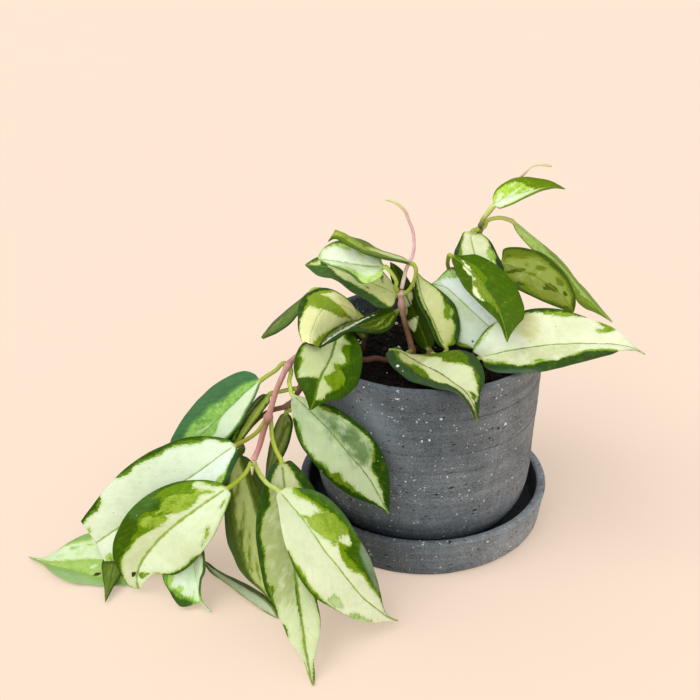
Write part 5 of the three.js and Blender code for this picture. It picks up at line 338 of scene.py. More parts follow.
        A=[(0, .05, .1, .2), (.4, .03, .15, .3), (.45, .03, .16, .3), (.48, .03, .14, .3), (.5, .03, .12, .24), (.54, .03, .06, .12), (.565, .04, .14, .2), (.58, .08, .22, .45), (.61, .1, .28, .42), (.63, .1, .28, .32), (.66, .15, .32, .36),
           (.69, .26, .4, .44), (.705, .32, .5, .7), (.74, .42, .54, .66), (.77, .45, .56, .62), (.8, .35, .5, .6), (.84, 0, .2, .8), (.88, 0, 0, .3), (.92, 0, 0, 0), (1, 0, 0, 0)],
        B=[(0, .1, .2, .3), (.25, .1, .2, .3), (.32, .06, .08, .1), (.37, .1, .12, .14), (.45, .1, .12, .14), (.52, .1, .12, .14), (.58, .06, .08, .1), (.7, .05, .1, .15), (.82, 0, 0, .2), (.88, 0, 0, 0), (1, 0, 0, 0)],
        tints=[("core", C(232, 246, 226), [(.4, -.7), (.62, -.5), (.6, -.1), (.4, -.2)], 3, .7)]),
    "leaf_ground_edge_on": dict(core=C(196, 210, 178), dark=C(72, 88, 24), mid=C(106, 122, 44), lime=C(132, 148, 68),
        A=[(0, 1.1, 1.2, 1.2), (.5, 1.05, 1.15, 1.2), (.8, .9, 1.0, 1.1), (1, .8, 1, 1.1)], B=[(0, .5, .8, 1.1), (.12, .05, .1, .3), (.3, 0, 0, .04), (.8, 0, 0, .04), (1, .1, .2, .4)]),
    "leaf_trail_shaded": dict(stalk_r=1.7, stalk0=C(58, 76, 18), stalk=C(74, 94, 24), jag=0.6, core2=C(190, 206, 120), un=0.15, 
        core=C(202, 218, 132), dark=C(54, 78, 0), mid=C(82, 108, 0), lime=C(134, 152, 44), rib=.4,
        A=[(0, .3, .4, .5), (.12, .1, .15, .2), (.2, .15, .2, .24), (.25, .2, .33, .36), (.3, .22, .38, .42), (.35, .24, .36, .4), (.4, .22, .28, .34), (.45, .25, .33, .38), (.5, .24, .3, .36), (.55, .25, .34, .4),
           (.6, .24, .3, .34), (.65, .25, .35, .4), (.7, .22, .3, .36), (.75, .22, .28, .32), (.8, .17, .2, .25), (.86, .1, .15, .2), (.93, .1, .2, .4), (1, .5, .9, 1.1)],
        B=[(0, .7, 1.1, 1.2), (.2, .72, 1.1, 1.2), (.4, .6, .95, 1.05), (.6, .4, .6, .8), (.8, .3, .5, .6), (1, .5, .9, 1.1)],
        zones=[("lime", [(.33, -.34), (.4, -.42), (.5, -.52), (.56, -.58), (.56, -.5), (.48, -.42), (.4, -.34)]), ("lime", [(.5, -.3), (.58, -.4), (.68, -.5), (.68, -.42), (.6, -.34), (.53, -.27)]),
               ("lime", [(.6, -.44), (.68, -.56), (.78, -.66), (.78, -.57), (.7, -.48), (.64, -.4)]), ("lime", [(.7, -.3), (.78, -.42), (.86, -.5), (.84, -.4), (.76, -.3)]),
               ("mid", [(.44, -.5), (.52, -.62), (.62, -.7), (.62, -.6), (.54, -.52)]), ("lime", [(.16, -.36), (.24, -.5), (.3, -.56), (.28, -.44), (.2, -.36)])]),
    "leaf_left_edge_on": dict(core=C(122, 146, 80), dark=C(44, 76, 14), mid=C(70, 98, 12), lime=C(92, 116, 36), un=.1,
        A=[(0, .6, 1.1, 1.2), (1, .7, 1.1, 1.2)], B=[(0, .3, .8, 1.1), (.4, .1, .5, 1), (.7, .05, .3, .8), (1, .5, 1, 1.2)]),
    "leaf_left_cut_tip": dict(ribc=0.2, 
        core=C(230, 232, 166), dark=C(44, 74, 22), mid=C(140, 164, 28), lime=C(128, 154, 42), rib=0.12,
        A=[(0, .3, .4, .5), (.2, .2, .26, .3), (.3, .12, .18, .2), (.36, .1, .18, .2), (.39, .18, .3, .32), (.42, .2, .35, .36), (.46, .2, .32, .36), (.49, .21, .26, .32), (.55, .18, .24, .3), (.61, .24, .35, .45), (.65, .36, .45, .46),
           (.68, .3, .38, .4), (.72, .3, .35, .36), (.76, .29, .33, .33), (.8, .2, .22, .22), (.86, .18, .2, .2), (.9, .12, .13, .14), (.95, .06, .08, .08), (1, .04, .05, .06)],
        B=[(0, .3, .4, .5), (.1, .1, .2, .2), (.4, 0, 0, 0), (.5, 0, .03, .04), (.6, 0, .04, .06), (.7, .0, .08, .12), (.8, .02, .12, .22), (.85, .02, .14, .3), (.9, .03, .2, .42), (.95, .03, .3, .6), (1, .03, .3, .8)],
        zones=[("lime", [(.14, .74), (.2, .54), (.25, .45), (.3, .27), (.33, .14), (.36, -.02), (.4, -.25), (.45, -.45), (.48, -.55), (.5, -.72), (.53, -.82), (.6, -.82), (.62, -.56), (.64, -.48), (.62, -.28), (.6, -.1), (.56, -.06), (.53, .05),
                         (.5, .2), (.46, .35), (.42, .48), (.38, .58), (.35, .66), (.3, .6), (.24, .63), (.18, .7)]),
               ("mid", [(.15, .73), (.2, .56), (.26, .45), (.31, .28), (.34, .12), (.38, .1), (.4, .3), (.4, .45), (.37, .58), (.34, .63), (.27, .6), (.2, .66)]),
               ("brown", [(.985, -.6), (1.02, -.6), (1.02, .5), (.99, .5)])],
        # the darker olive tint over the part near the base is painted shade
        tints=[("core", C(196, 196, 104), [(0, -1), (.34, -1), (.34, .5), (.1, .9), (0, .9)], 6, .6)]),
    "leaf_over_left_rim": dict(ribc=0.6, core2=C(180, 192, 132), 
        core=C(204, 216, 158), dark=C(46, 78, 0), mid=C(84, 118, 0), lime=C(112, 142, 10), rib=0.6,
        A=[(0, .9, .95, 1), (.05, .9, .92, .95), (.1, .84, .86, .88), (.15, .74, .76, .78), (.2, .66, .69, .7), (.25, .6, .63, .64), (.3, .56, .58, .6), (.36, .3, .32, .34), (.375, .08, .1, .12), (.4, .09, .13, .15), (.43, .08, .1, .12), (.46, .11, .14, .16),
           (.5, .08, .12, .14), (.53, .12, .2, .24), (.56, .14, .24, .26), (.6, .15, .21, .22), (.63, .13, .16, .17), (.67, .08, .1, .12), (.7, .04, .06, .07), (.71, .3, .32, .33), (.73, .72, .74, .75), (.75, .97, .99, 1), (.8, 1.1, 1.1, 1.1), (1, 1.1, 1.1, 1.1)],
        B=[(0, .9, .95, 1), (.05, .84, .86, .87), (.08, .64, .7, .72), (.1, .5, .55, .57), (.12, .46, .56, .58), (.15, .5, .6, .62), (.18, .46, .57, .6), (.21, .38, .45, .48), (.24, .34, .38, .4), (.255, .34, .4, .43), (.27, .42, .6, .66), (.3, .46, .66, .7),
           (.35, .44, .67, .7), (.38, .42, .6, .63), (.42, .42, .52, .54), (.46, .44, .5, .52), (.5, .52, .6, .62), (.53, .58, .67, .7), (.55, .6, .72, .76), (.57, .45, .5, .72), (.6, .32, .36, .7), (.66, .28, .32, .74), (.7, .3, .32, .74), (.73, .33, .36, .6), (.75, .36, .38, .4),
           (.78, .37, .4, .41), (.82, .37, .4, .41), (.84, .28, .3, .31), (.86, .26, .28, .29), (.88, .3, .34, .36), (.9, .5, .54, .55), (.915, .9, .95, 1), (1, 1.1, 1.1, 1.1)],
        zones=[("lime", [(.51, .22), (.54, .14), (.57, .22), (.6, .27), (.655, .25), (.68, .15), (.715, .12), (.72, .25), (.74, .34), (.72, .5), (.71, .67), (.65, .7), (.6, .65), (.575, .55), (.575, .4), (.55, .3)])],
        tints=[("core", C(206, 224, 160), [(.08, .0), (.42, .03), (.42, .6), (.1, .7)], 5, .6)]),
    "leaf_boat_shaped": dict(core=C(246, 250, 236), dark=C(38, 66, 8), mid=C(74, 90, 0), lime=C(124, 152, 50), un=.0, fade=.3, rib=.1,
        lift=[(0, 0), (.3, 0), (.4, .8), (.5, 1.2), (.6, 2.6), (.7, 3.6), (.85, 3.4), (.95, 1.8), (1, 0)],
        A=[(0, 1.1, 1.2, 1.2), (.3, 1.1, 1.2, 1.2), (1, 1.1, 1.2, 1.2)], B=[(0, .1, 1.1, 1.2), (.2, .3, 1.1, 1.2), (.5, 1.1, 1.2, 1.2), (1, 1.1, 1.2, 1.2)],
        zones=[("mid", [(.04, -.35), (.3, -.25), (.42, -.05), (.48, .1), (.44, .5), (.3, .75), (.1, .7)]),
               ("lime", [(.1, -.1), (.2, .1), (.3, .3), (.36, .3), (.3, .42), (.2, .3), (.1, .1)]), ("lime", [(.06, .3), (.16, .55), (.3, .62), (.3, .7), (.16, .68), (.06, .5)]),
               ("lime", [(.46, -.9), (.6, -.93), (.8, -.93), (.97, -.9), (.97, -.5), (.8, -.5), (.6, -.6), (.46, -.76)]),
               ("pale", [(.24, -.74), (.34, -.78), (.46, -.76), (.6, -.58), (.8, -.48), (.96, -.46), (.99, -.1), (.9, .02), (.75, -.02), (.6, -.2), (.46, -.48), (.34, -.64), (.24, -.66)])]),
    "leaf_upper_left_long": dict(ribc=0.3, 
        core=C(218, 222, 146), core2=C(224, 234, 172), dark=C(66, 98, 48), mid=C(108, 132, 24), lime=C(160, 180, 70), rib=0.26,
        A=[(0, .05, .1, .15), (.15, .04, .1, .12), (.3, .05, .1, .14), (.6, .1, .2, .25), (.76, .1, .2, .3), (.8, .5, .55, .6), (.86, .3, .4, .5), (1, .6, 1, 1.1)],
        B=[(0, 0, 0, .05), (.1, .02, .03, .04), (.15, .12, .16, .18), (.18, .2, .23, .25), (.2, .28, .3, .32), (.25, .36, .39, .4), (.3, .37, .4, .42), (.35, .34, .37, .4), (.4, .38, .41, .44), (.45, .38, .4, .42), (.5, .44, .46, .48), (.55, .4, .43, .45),
           (.6, .33, .36, .38), (.65, .33, .35, .37), (.7, .42, .45, .48), (.73, .7, .74, .76), (.77, .96, 1, 1.02), (.86, 1, 1.05, 1.1), (1, .8, 1, 1.1)],
        zones=[("mid", [(.34, .4), (.355, .28), (.4, .35), (.37, .42)]), ("mid", [(.2, -.3), (.225, -.5), (.23, -.75), (.26, -.7), (.25, -.45), (.22, -.3)]),
               ("dark", [(.7, .5), (.73, .2), (.77, .0), (.8, -.25), (.82, -.4), (.845, -.36), (.85, 0), (.85, 1.1), (.7, 1.1)])]),
    "leaf_upper_left_pale": dict(stalk=C(214, 240, 112), 
        core=C(236, 247, 222), dark=C(70, 104, 52), mid=C(122, 164, 62), lime=C(190, 224, 124), rib=.7, fade=.7,
        A=[(0, 0, .1, .5), (.05, 0, .1, .4), (.1, 0, .12, .3), (.2, 0, .1, .3), (.3, 0, .1, .3), (.4, 0, .05, .25), (.5, .02, .06, .15), (.53, .04, .1, .35), (.56, .07, .15, .42), (.6, .14, .18, .43), (.63, .17, .2, .35), (.68, .13, .16, .28), (.75, .1, .12, .2),
           (.82, .07, .1, .19), (.87, .02, .04, .06), (.91, 0, .05, .1), (.94, 0, .1, .5), (1, 0, .1, .7)],
        B=[(0, .03, .08, .4), (.1, .04, .08, .3), (.2, .05, .1, .26), (.3, .05, .1, .28), (.4, .05, .12, .4), (.5, .06, .14, .5), (.6, .06, .12, .4), (.75, .04, .08, .2), (.9, .02, .05, .2), (1, 0, .1, .7)],
        zones=[("lime", [(.02, .5), (.1, .55), (.2, .72), (.34, .7), (.42, .55), (.46, .8), (.3, 1.1), (.05, 1.1)]), ("lime", [(.32, -.44), (.4, -.62), (.46, -.78), (.43, -.6), (.37, -.45)])],
        tints=[("core", C(220, 236, 184), [(.05, .1), (.5, .1), (.5, .8), (.05, .8)], 4, .8)]),
    "leaf_upper_left_edge_on": dict(core=C(200, 212, 150), dark=C(52, 84, 20), mid=C(100, 120, 14), lime=C(156, 178, 68),
        A=[(0, .1, .3, .5), (.3, .05, .2, .5), (.45, .1, .5, .7), (.6, .4, .9, 1.1), (.8, .2, .6, 1.1), (1, .2, .6, 1.1)],
        B=[(0, .3, .8, 1.1), (.3, .2, 1, 1.1), (.45, .1, .8, 1.1), (.6, .05, .3, 1), (.8, .05, .4, 1.1), (1, .2, .6, 1.1)]),
    "leaf_centre_back": dict(core=C(235, 240, 180), dark=C(44, 64, 0), mid=C(66, 88, 0), lime=C(84, 104, 20),
        A=[(0, 1.1, 1.2, 1.2), (1, 1.1, 1.2, 1.2)], B=[(0, 1.1, 1.2, 1.2), (1, 1.1, 1.2, 1.2)],
        zones=[("pale", [(.24, -.72), (.3, -.85), (.39, -.95), (.385, -.6), (.38, -.2), (.4, .1), (.38, .25), (.35, .16), (.3, -.15), (.26, -.4)]), ("pale", [(.43, -.8), (.5, -.75), (.525, -.42), (.48, -.36), (.45, -.5)]),
               ("pale", [(.50, -.4), (.54, -.62), (.6, -.62), (.66, -.3), (.67, .4), (.63, .75), (.58, .6), (.54, .2), (.51, .1)]), ("mid", [(.38, -.7), (.43, -.7), (.45, -.3), (.5, 0), (.42, .2), (.4, -.1)])]),
    "leaf_centre_cream": dict(ribc=0.9, 
        core=C(200, 200, 126), core2=C(214, 222, 164), dark=C(44, 74, 14), mid=C(108, 140, 16), lime=C(160, 182, 70), rib=.4,
        A=[(0, .3, .4, .5), (.15, .5, .56, .6), (.4, .58, .6, .62), (.6, .5, .53, .56), (.8, .35, .4, .45), (1, .3, .4, .6)],
        B=[(0, .1, .4, .6), (.05, .05, .5, .62), (.1, .06, .4, .5), (.13, .14, .32, .36), (.16, .28, .3, .32), (.2, .26, .28, .3), (.25, .2, .22, .24), (.3, .2, .22, .23), (.34, .24, .26, .28), (.37, .24, .28, .3), (.41, .15, .18, .2), (.45, .12, .14, .16), (.49, .2, .28, .3), (.5, .3, .34, .35),
           (.55, .26, .28, .3), (.6, .16, .18, .2), (.65, .1, .12, .13), (.75, .08, .1, .12), (.85, .1, .13, .15), (1, .1, .2, .3)],
        zones=[("mid", [(.345, .64), (.38, .52), (.42, .52), (.47, .6), (.5, .7), (.53, .76), (.5, .84), (.46, .8), (.4, .72)])]),
    "leaf_right_mint": dict(
        core=C(212, 228, 206), dark=C(64, 86, 30), mid=C(120, 138, 50), lime=C(172, 208, 130), rib=.3,
        A=[(0, 0, .05, .15), (.28, .01, .04, .06), (.34, .04, .12, .14), (.42, .03, .12, .14), (.46, .01, .05, .06), (.6, .02, .06, .1), (.9, .04, .1, .2), (1, .1, .3, .6)],
        B=[(0, 0, .1, .3), (.1, .05, .1, .2), (.5, .05, .1, .15), (.72, .03, .1, .35), (.8, .08, .15, .5), (.88, .05, .15, .4), (.95, .1, .2, .4), (1, .1, .3, .6)],
        zones=[("brown", [(.285, -.78), (.3, -.8), (.315, -.75), (.3, -.7), (.288, -.72)]), ("brown", [(.43, -.64), (.45, -.65), (.45, -.6), (.435, -.58)])],
        tints=[("core", C(232, 255, 242), [(.1, .03), (.85, .03), (.95, .8), (.1, .8)], 1.5, .95), ("core", C(196, 210, 164), [(.25, -.3), (1, -.4), (1, -.02), (.25, -.02)], 3, .7)]),
    "leaf_right_back": dict(
        core=C(226, 234, 190), dark=C(40, 66, 34), mid=C(112, 140, 40), lime=C(160, 196, 84), rib=.36,
        A=[(0, 0, 0, 0), (.07, 0, 0, .02), (.1, .02, .1, .12), (.15, .1, .17, .19), (.2, .16, .24, .26), (.24, .15, .2, .22), (.28, .22, .3, .34), (.31, .24, .38, .4), (.345, .22, .36, .38), (.4, .2, .3, .35), (.6, .3, .4, .5), (1, .5, .8, 1)],
        B=[(0, .05, .1, .2), (.03, .02, .1, .3), (.06, .02, .1, .38), (.1, .02, .1, .36), (.13, .02, .05, .18), (.2, .05, .06, .1), (.27, .13, .15, .2), (.3, .17, .2, .32), (.34, .15, .18, .42), (.38, .12, .16, .48), (.42, .14, .18, .5), (.46, .2, .24, .46), (.5, .25, .28, .45), (.6, .25, .35, .5), (1, .5, .8, 1)],
        zones=[("pale", [(.46, .66), (.49, .58), (.52, .68), (.49, .72)])]),
    "leaf_right_front_green": dict(mott=1.1, dust=0.35, 
        core=C(240, 246, 200), dark=C(64, 94, 0), dark2=C(66, 96, 8), mid=C(96, 128, 0), lime=C(126, 150, 40), rib=.4,
        A=[(0, 1.2, 1.2, 1.2), (1, 1.2, 1.2, 1.2)], B=[(0, 1.2, 1.2, 1.2), (1, 1.2, 1.2, 1.2)],
        zones=[("pale", [(.08, .32), (.12, .2), (.15, .05), (.155, -.2), (.17, -.34), (.22, -.3), (.25, -.38), (.27, -.27), (.3, -.24), (.33, -.38), (.35, -.45), (.38, -.6), (.42, -.78), (.46, -.88), (.52, -.88), (.55, -.8), (.57, -.65), (.56, -.5), (.5, -.4), (.4, -.3), (.35, -.1), (.28, .08), (.22, .17), (.15, .26)]),
               ("lime", [(.22, .16), (.26, 0), (.28, -.12), (.33, -.12), (.345, -.25), (.36, -.45), (.42, -.45), (.455, -.55), (.52, -.67), (.56, -.6), (.58, -.48), (.63, -.42), (.68, -.3), (.73, -.25), (.75, -.1), (.68, -.04), (.6, -.02), (.5, .02), (.4, .06), (.3, .12)]),
               ("mid", [(.14, .3), (.2, .2), (.28, .15), (.36, .1), (.42, .1), (.43, .22), (.38, .33), (.3, .35), (.2, .38)])],
        tints=[("dark", C(64, 98, 0), [(.1, .2), (.7, .1), (.65, 1.1), (.1, 1.1)], 4, .85)]),
    "leaf_right_large": dict(ribc=0.3, dust=0.08, 
        core=C(224, 230, 190), core2=C(238, 242, 206), dark=C(46, 72, 24), mid=C(88, 120, 12), lime=C(136, 170, 44), rib=0.4,
        A=[(0, 0, 0, 0), (.05, .01, .02, .04), (.1, .03, .06, .12), (.15, .03, .05, .1), (.2, .02, .03, .08), (.24, 0, 0, .02), (.34, .0, .02, .03), (.36, .08, .1, .12), (.4, .09, .1, .11), (.44, .08, .1, .11), (.46, .08, .12, .2), (.5, .08, .12, .2),
           (.53, .06, .12, .24), (.56, .06, .1, .2), (.6, .05, .08, .15), (.63, .04, .06, .08), (.67, .02, .03, .04), (.7, 0, 0, 0), (.9, 0, 0, 0), (1, 0, 0, .1)],
        B=[(0, .05, .1, .2), (.03, .15, .25, .35), (.06, .33, .42, .54), (.1, .35, .4, .5), (.15, .35, .4, .47), (.18, .33, .37, .42), (.22, .27, .29, .31), (.26, .19, .21, .22), (.3, .24, .26, .27), (.345, .2, .23, .26), (.365, .3, .31, .33), (.4, .31, .33, .36), (.45, .29, .31, .34), (.475, .22, .24, .26), (.5, .32, .34, .36),
           (.55, .35, .37, .39), (.575, .3, .33, .4), (.6, .34, .38, .46), (.63, .42, .46, .52), (.645, .42, .47, .57), (.7, .38, .44, .53), (.75, .34, .4, .49), (.785, .22, .34, .45), (.82, .05, .1, .25), (.85, 0, 0, 0), (1, 0, 0, .1)],
        zones=[("lime", [(.73, -1.1), (.73, -.87), (.755, -.76), (.74, -.66), (.71, -.6), (.715, -.48), (.75, -.56), (.79, -.65), (.805, -.8), (.83, -1.1)]), ("lime", [(.33, .62), (.35, .56), (.38, .57), (.4, .62), (.37, .66), (.34, .67)])],
        tints=[("core", C(226, 238, 218), [(0, -1), (.24, -1), (.28, -.1), (0, -.05)], 5, .85), ("core", C(206, 204, 120), [(.32, -1), (.4, -.95), (.4, -.35), (.35, -.15), (.3, -.4)], 3, .6),
               # the blue-grey tint along the right margin near the base is painted sheen
               ("core", C(200, 206, 146), [(0, .05), (.6, .05), (.6, .7), (0, .7)], 3, .6), ("dark", C(80, 108, 92), [(.08, .88), (.4, .9), (.4, 1.02), (.08, 1.0)], 1.0, .7)]),
    "leaf_right_spotted": dict(
        core=C(150, 168, 68), dark=C(62, 86, 0), mid=C(104, 126, 14), lime=C(128, 146, 38), un=.05, jag=.7, rib=.2,
        A=[(0, .1, .8, 1), (.05, .12, .75, .8), (.1, .12, .55, .62), (.2, .12, .42, .5), (.3, .12, .28, .4), (.4, .14, .2, .3), (.5, .2, .24, .3), (.6, .2, .24, .3), (.7, .2, .26, .35), (.85, .2, .35, .5), (.92, .7, .9, 1), (1, 1, 1, 1)],
        B=[(0, .1, .4, .6), (.1, .2, .35, .5), (.2, .2, .3, .5), (.3, .2, .35, .5), (.4, .15, .4, .6), (.5, .1, .25, .5), (.65, .1, .2, .45), (.75, .2, .35, .5), (.85, .3, .4, .6), (.92, .7, .9, 1), (1, 1, 1, 1)],
        zones=[("dark", [(.11, .6), (.14, .35), (.165, .1), (.2, -.02), (.27, -.13), (.29, -.12), (.27, .0), (.22, .15), (.18, .45), (.15, .64)]), ("mid", [(.31, .02), (.35, -.08), (.41, -.14), (.4, -.06), (.34, .06)]),
               ("dark", [(.53, .07), (.58, -.1), (.62, -.08), (.66, -.13), (.7, -.05), (.69, .05), (.63, .16), (.57, .36), (.54, .3), (.57, .12)]), ("dark", [(.745, -.28), (.77, -.42), (.81, -.35), (.795, -.16), (.765, -.14)]),
               ("mid", [(.61, -.55), (.68, -.66), (.73, -.56), (.7, -.38), (.65, -.33)]), ("mid", [(.4, -.48), (.5, -.62), (.48, -.44), (.38, -.28)]), ("dark", [(.27, .75), (.3, .6), (.38, .55), (.39, .65), (.33, .78)]),
               ("mid", [(.27, -.3), (.31, -.42), (.32, -.36), (.29, -.26)])],
        tints=[("core", C(126, 138, 46), [(0, .1), (1, .1), (1, 1.1), (0, 1.1)], 3, .9)]),
    "leaf_right_narrow": dict(stalk=C(205, 205, 120), core=C(176, 206, 112), dark=C(108, 134, 38), mid=C(122, 152, 46), lime=C(178, 210, 110),
        A=[(0, .05, .5, 1.1), (.2, .05, .6, 1.2), (.35, .1, 1.1, 1.2), (.75, .1, 1.1, 1.2), (1, .5, 1.1, 1.2)], B=[(0, .03, .06, .4), (.2, .03, .06, .5), (.28, .05, .2, .8), (.38, .1, .8, 1.1), (.7, .1, .6, .8), (.8, .5, 1, 1.1), (1, .7, 1.1, 1.2)]),
    "leaf_top": dict(stalk0=C(110, 112, 70), stalk=C(208, 222, 130), core=C(230, 240, 214), dark=C(92, 122, 0), mid=C(104, 132, 6), lime=C(184, 220, 80), rib=.2, ribc=.3, mott=.3,
        A=[(0, 0, .05, 1.0), (.12, .04, .16, 1.0), (.3, .05, .2, .9), (.42, .05, .24, 1.1), (.5, .05, .6, 1.2), (.6, .1, 1.1, 1.2), (.75, .3, 1.2, 1.2), (1, .8, 1.2, 1.2)],
        B=[(0, 0, .02, .06), (.45, 0, .04, .1), (.62, 0, .06, .2), (.75, .03, .2, .6), (.85, .1, .6, 1.2), (1, .5, 1.2, 1.2)],
        zones=[("pale", [(.06, -.2), (.14, -.5), (.2, -.6), (.2, -.35), (.12, -.1)]), ("pale", [(.24, -.15), (.34, -.3), (.46, -.42), (.42, -.25), (.32, -.1)]), ("pale", [(.42, -.1), (.5, -.14), (.6, -.13), (.5, -.07)]),
               ("pale", [(.26, -.55), (.34, -.66), (.4, -.7), (.36, -.55)])]),
    "leaf_over_front_rim": dict(ribc=0.9, 
        core=C(210, 214, 160), dark=C(46, 72, 34), mid=C(86, 112, 0), lime=C(146, 174, 50), rib=.42,
        A=[(0, .9, 1.1, 1.1), (.05, .6, .9, 1), (.1, .3, .5, .6), (.2, .15, .4, .42), (.3, .08, .45, .46), (.4, .06, .48, .5), (.44, .06, .5, .51), (.46, .06, .6, .62), (.5, .08, .57, .58), (.55, .16, .5, .52), (.575, .2, .4, .42), (.6, .25, .35, .36), (.63, .22, .26, .27),
           (.66, .2, .23, .24), (.68, .2, .3, .31), (.71, .17, .3, .31), (.75, .2, .25, .26), (.8, .2, .22, .23), (.84, .17, .2, .21), (.87, .3, .4, .45), (.89, .7, .75, .8), (.92, 1.0, 1.1, 1.1), (1, 1.1, 1.1, 1.1)],
        B=[(0, .9, 1.1, 1.1), (.06, .75, 1.1, 1.1), (.1, .6, .9, 1), (.13, .5, .64, .65), (.18, .48, .58, .6), (.22, .5, .55, .56), (.26, .52, .6, .62), (.275, .54, .74, .76), (.33, .46, .78, .8), (.4, .4, .71, .72), (.45, .36, .6, .62), (.48, .34, .42, .44),
           (.52, .33, .36, .37), (.58, .34, .37, .38), (.65, .36, .39, .4), (.7, .3, .34, .36), (.8, .28, .32, .34), (.87, .25, .3, .34), (.92, .4, .5, .55), (1, 1, 1, 1)],
        zones=[("mid", [(.808, -.2), (.81, -.4), (.83, -.58), (.86, -.62), (.865, -.4), (.85, -.22)])],
        # the blue-grey tint along the right margin is painted sheen; the darker olive tint near the base is painted
        # shade
        drops=[(.2, .8, .9), (.26, .84, .5), (.3, .78, .35)], tints=[("dark", C(56, 76, 52), [(.05, .78), (1, .78), (1, 1.1), (.05, 1.1)], 2, .8), ("core", C(146, 146, 80), [(.05, -.6), (.35, -.6), (.35, .5), (.05, .5)], 5, .6), ("core", C(204, 214, 176), [(.35, -.7), (.9, -.8), (.9, -.03), (.35, -.03)], 2, .7)]),
}

# ------------------------------------------------------------------ small maths helpers
def unit(v):
    v = np.asarray(v, float)
    n = np.linalg.norm(v, axis=-1, keepdims=True)
    return v / np.maximum(n, 1e-12)


def smooth01(x):
    x = np.clip(x, 0.0, 1.0)
    return x * x * (3 - 2 * x)


def through(s, P, so):
    """Smooth curve through P at parameters s, read at so (cubic, slopes from the neighbours)."""
    s = np.asarray(s, float)
    P = np.asarray(P, float)
    one = P.ndim == 1
    if one:
        P = P[:, None]
    n = len(s)
    m = np.zeros_like(P)
    if n == 2:
        m[:] = (P[1] - P[0]) / (s[1] - s[0])
    else:
        h = np.diff(s)[:, None]
        d = np.diff(P, axis=0) / h
        m[1:-1] = (d[:-1] * h[1:] + d[1:] * h[:-1]) / (h[1:] + h[:-1])
        m[0] = 1.5 * d[0] - 0.5 * m[1]
        m[-1] = 1.5 * d[-1] - 0.5 * m[-2]
    so = np.asarray(so, float)
    k = np.clip(np.searchsorted(s, so, side="right") - 1, 0, n - 2)
    h = (s[k + 1] - s[k])[:, None]
    t = ((so - s[k]) / (s[k + 1] - s[k]))[:, None]
    out = ((2 * t**3 - 3 * t**2 + 1) * P[k] + (t**3 - 2 * t**2 + t) * h * m[k]
           + (-2 * t**3 + 3 * t**2) * P[k + 1] + (t**3 - t**2) * h * m[k + 1])
    return out[:, 0] if one else out


def chord(P, power=0.5):
    d = np.linalg.norm(np.diff(P, axis=0), axis=1) ** power
    s = np.r_[0, np.cumsum(np.maximum(d, 1e-6))]
    return s / s[-1]


def arc(P):
    return np.r_[0, np.cumsum(np.linalg.norm(np.diff(P, axis=0), axis=1))]


def even_curve(P, n):
    """n points at even spacing along the smooth curve through P."""
    P = np.asarray(P, float)
    f = through(chord(P), P, np.linspace(0, 1, 600))
    a = arc(f)
    so = np.linspace(0, a[-1], n)
    return np.stack([np.interp(so, a, f[:, i]) for i in range(3)], -1)


def hash3(i, j, k, seed):
    x = (i * 374761393 + j * 668265263 + k * 2147483647 + seed * 1274126177) & 0xFFFFFFFF
    x = ((x ^ (x >> 13)) * 1274126177) & 0xFFFFFFFF
    x = ((x ^ (x >> 16)) * 2246822519) & 0xFFFFFFFF
    return ((x ^ (x >> 15)) & 0xFFFFFF) / float(0xFFFFFF)


def noise(p, seed=0):
    """Smooth value noise in -1..1 at points p (n, 3)."""
    p = np.asarray(p, float)
    f = np.floor(p).astype(np.int64)
    t = p - f
    t = t * t * t * (t * (t * 6 - 15) + 10)
    r = 0
    for a in (0, 1):
        for b in (0, 1):
            for c in (0, 1):
                w = ((t[:, 0] if a else 1 - t[:, 0]) * (t[:, 1] if b else 1 - t[:, 1]) * (t[:, 2] if c else 1 - t[:, 2]))
                r = r + w * hash3(f[:, 0] + a, f[:, 1] + b, f[:, 2] + c, seed)
    return r * 2 - 1


def fractal(p, seed=0, octaves=3, gain=0.5):
    r, amp = 0, 1.0
    p = np.asarray(p, float)
    for o in range(octaves):
        r = r + amp * noise(p * (2.03**o) + 13.7 * o, seed + o)
        amp *= gain
    return r


# ------------------------------------------------------------------ meshes
def new_mesh(name, verts, faces, material, smooth=True):
    """verts in mm, faces as a list of index tuples."""
    me = bpy.data.meshes.new(name)
    me.from_pydata((np.asarray(verts) * MM).tolist(), [], [tuple(int(i) for i in f) for f in faces])
    me.validate()
    me.update()
    if smooth:
        me.polygons.foreach_set("use_smooth", np.ones(len(me.polygons), bool))
    me.materials.append(material)
    ob = bpy.data.objects.new(name, me)
    bpy.context.scene.collection.objects.link(ob)
    return ob


def set_vec(ob, name, values):
    a = ob.data.attributes.new(name, "FLOAT_VECTOR", "POINT")
    a.data.foreach_set("vector", np.asarray(values, np.float32).ravel())


def set_col(ob, name, values):
    v = np.asarray(values, np.float32)
    v = np.concatenate([v, np.ones((len(v), 1), np.float32)], 1)
    a = ob.data.color_attributes.new(name, "FLOAT_COLOR", "POINT")
    a.data.foreach_set("color", v.ravel())


def ring_faces(n, m, first=0):
    """Quads between n rings of m points, closed around."""
    i = np.arange(n - 1)[:, None] * m
    j = np.arange(m)[None, :]
    a = i + j
    b = i + (j + 1) % m
    q = np.stack([a, b, b + m, a + m], -1).reshape(-1, 4) + first
    return q


def signed_volume(V, F):
    V = np.asarray(V)
    v = 0.0
    for f in F:
        for k in range(1, len(f) - 1):
            v += np.dot(V[f[0]], np.cross(V[f[k]], V[f[k + 1]]))
    return v / 6


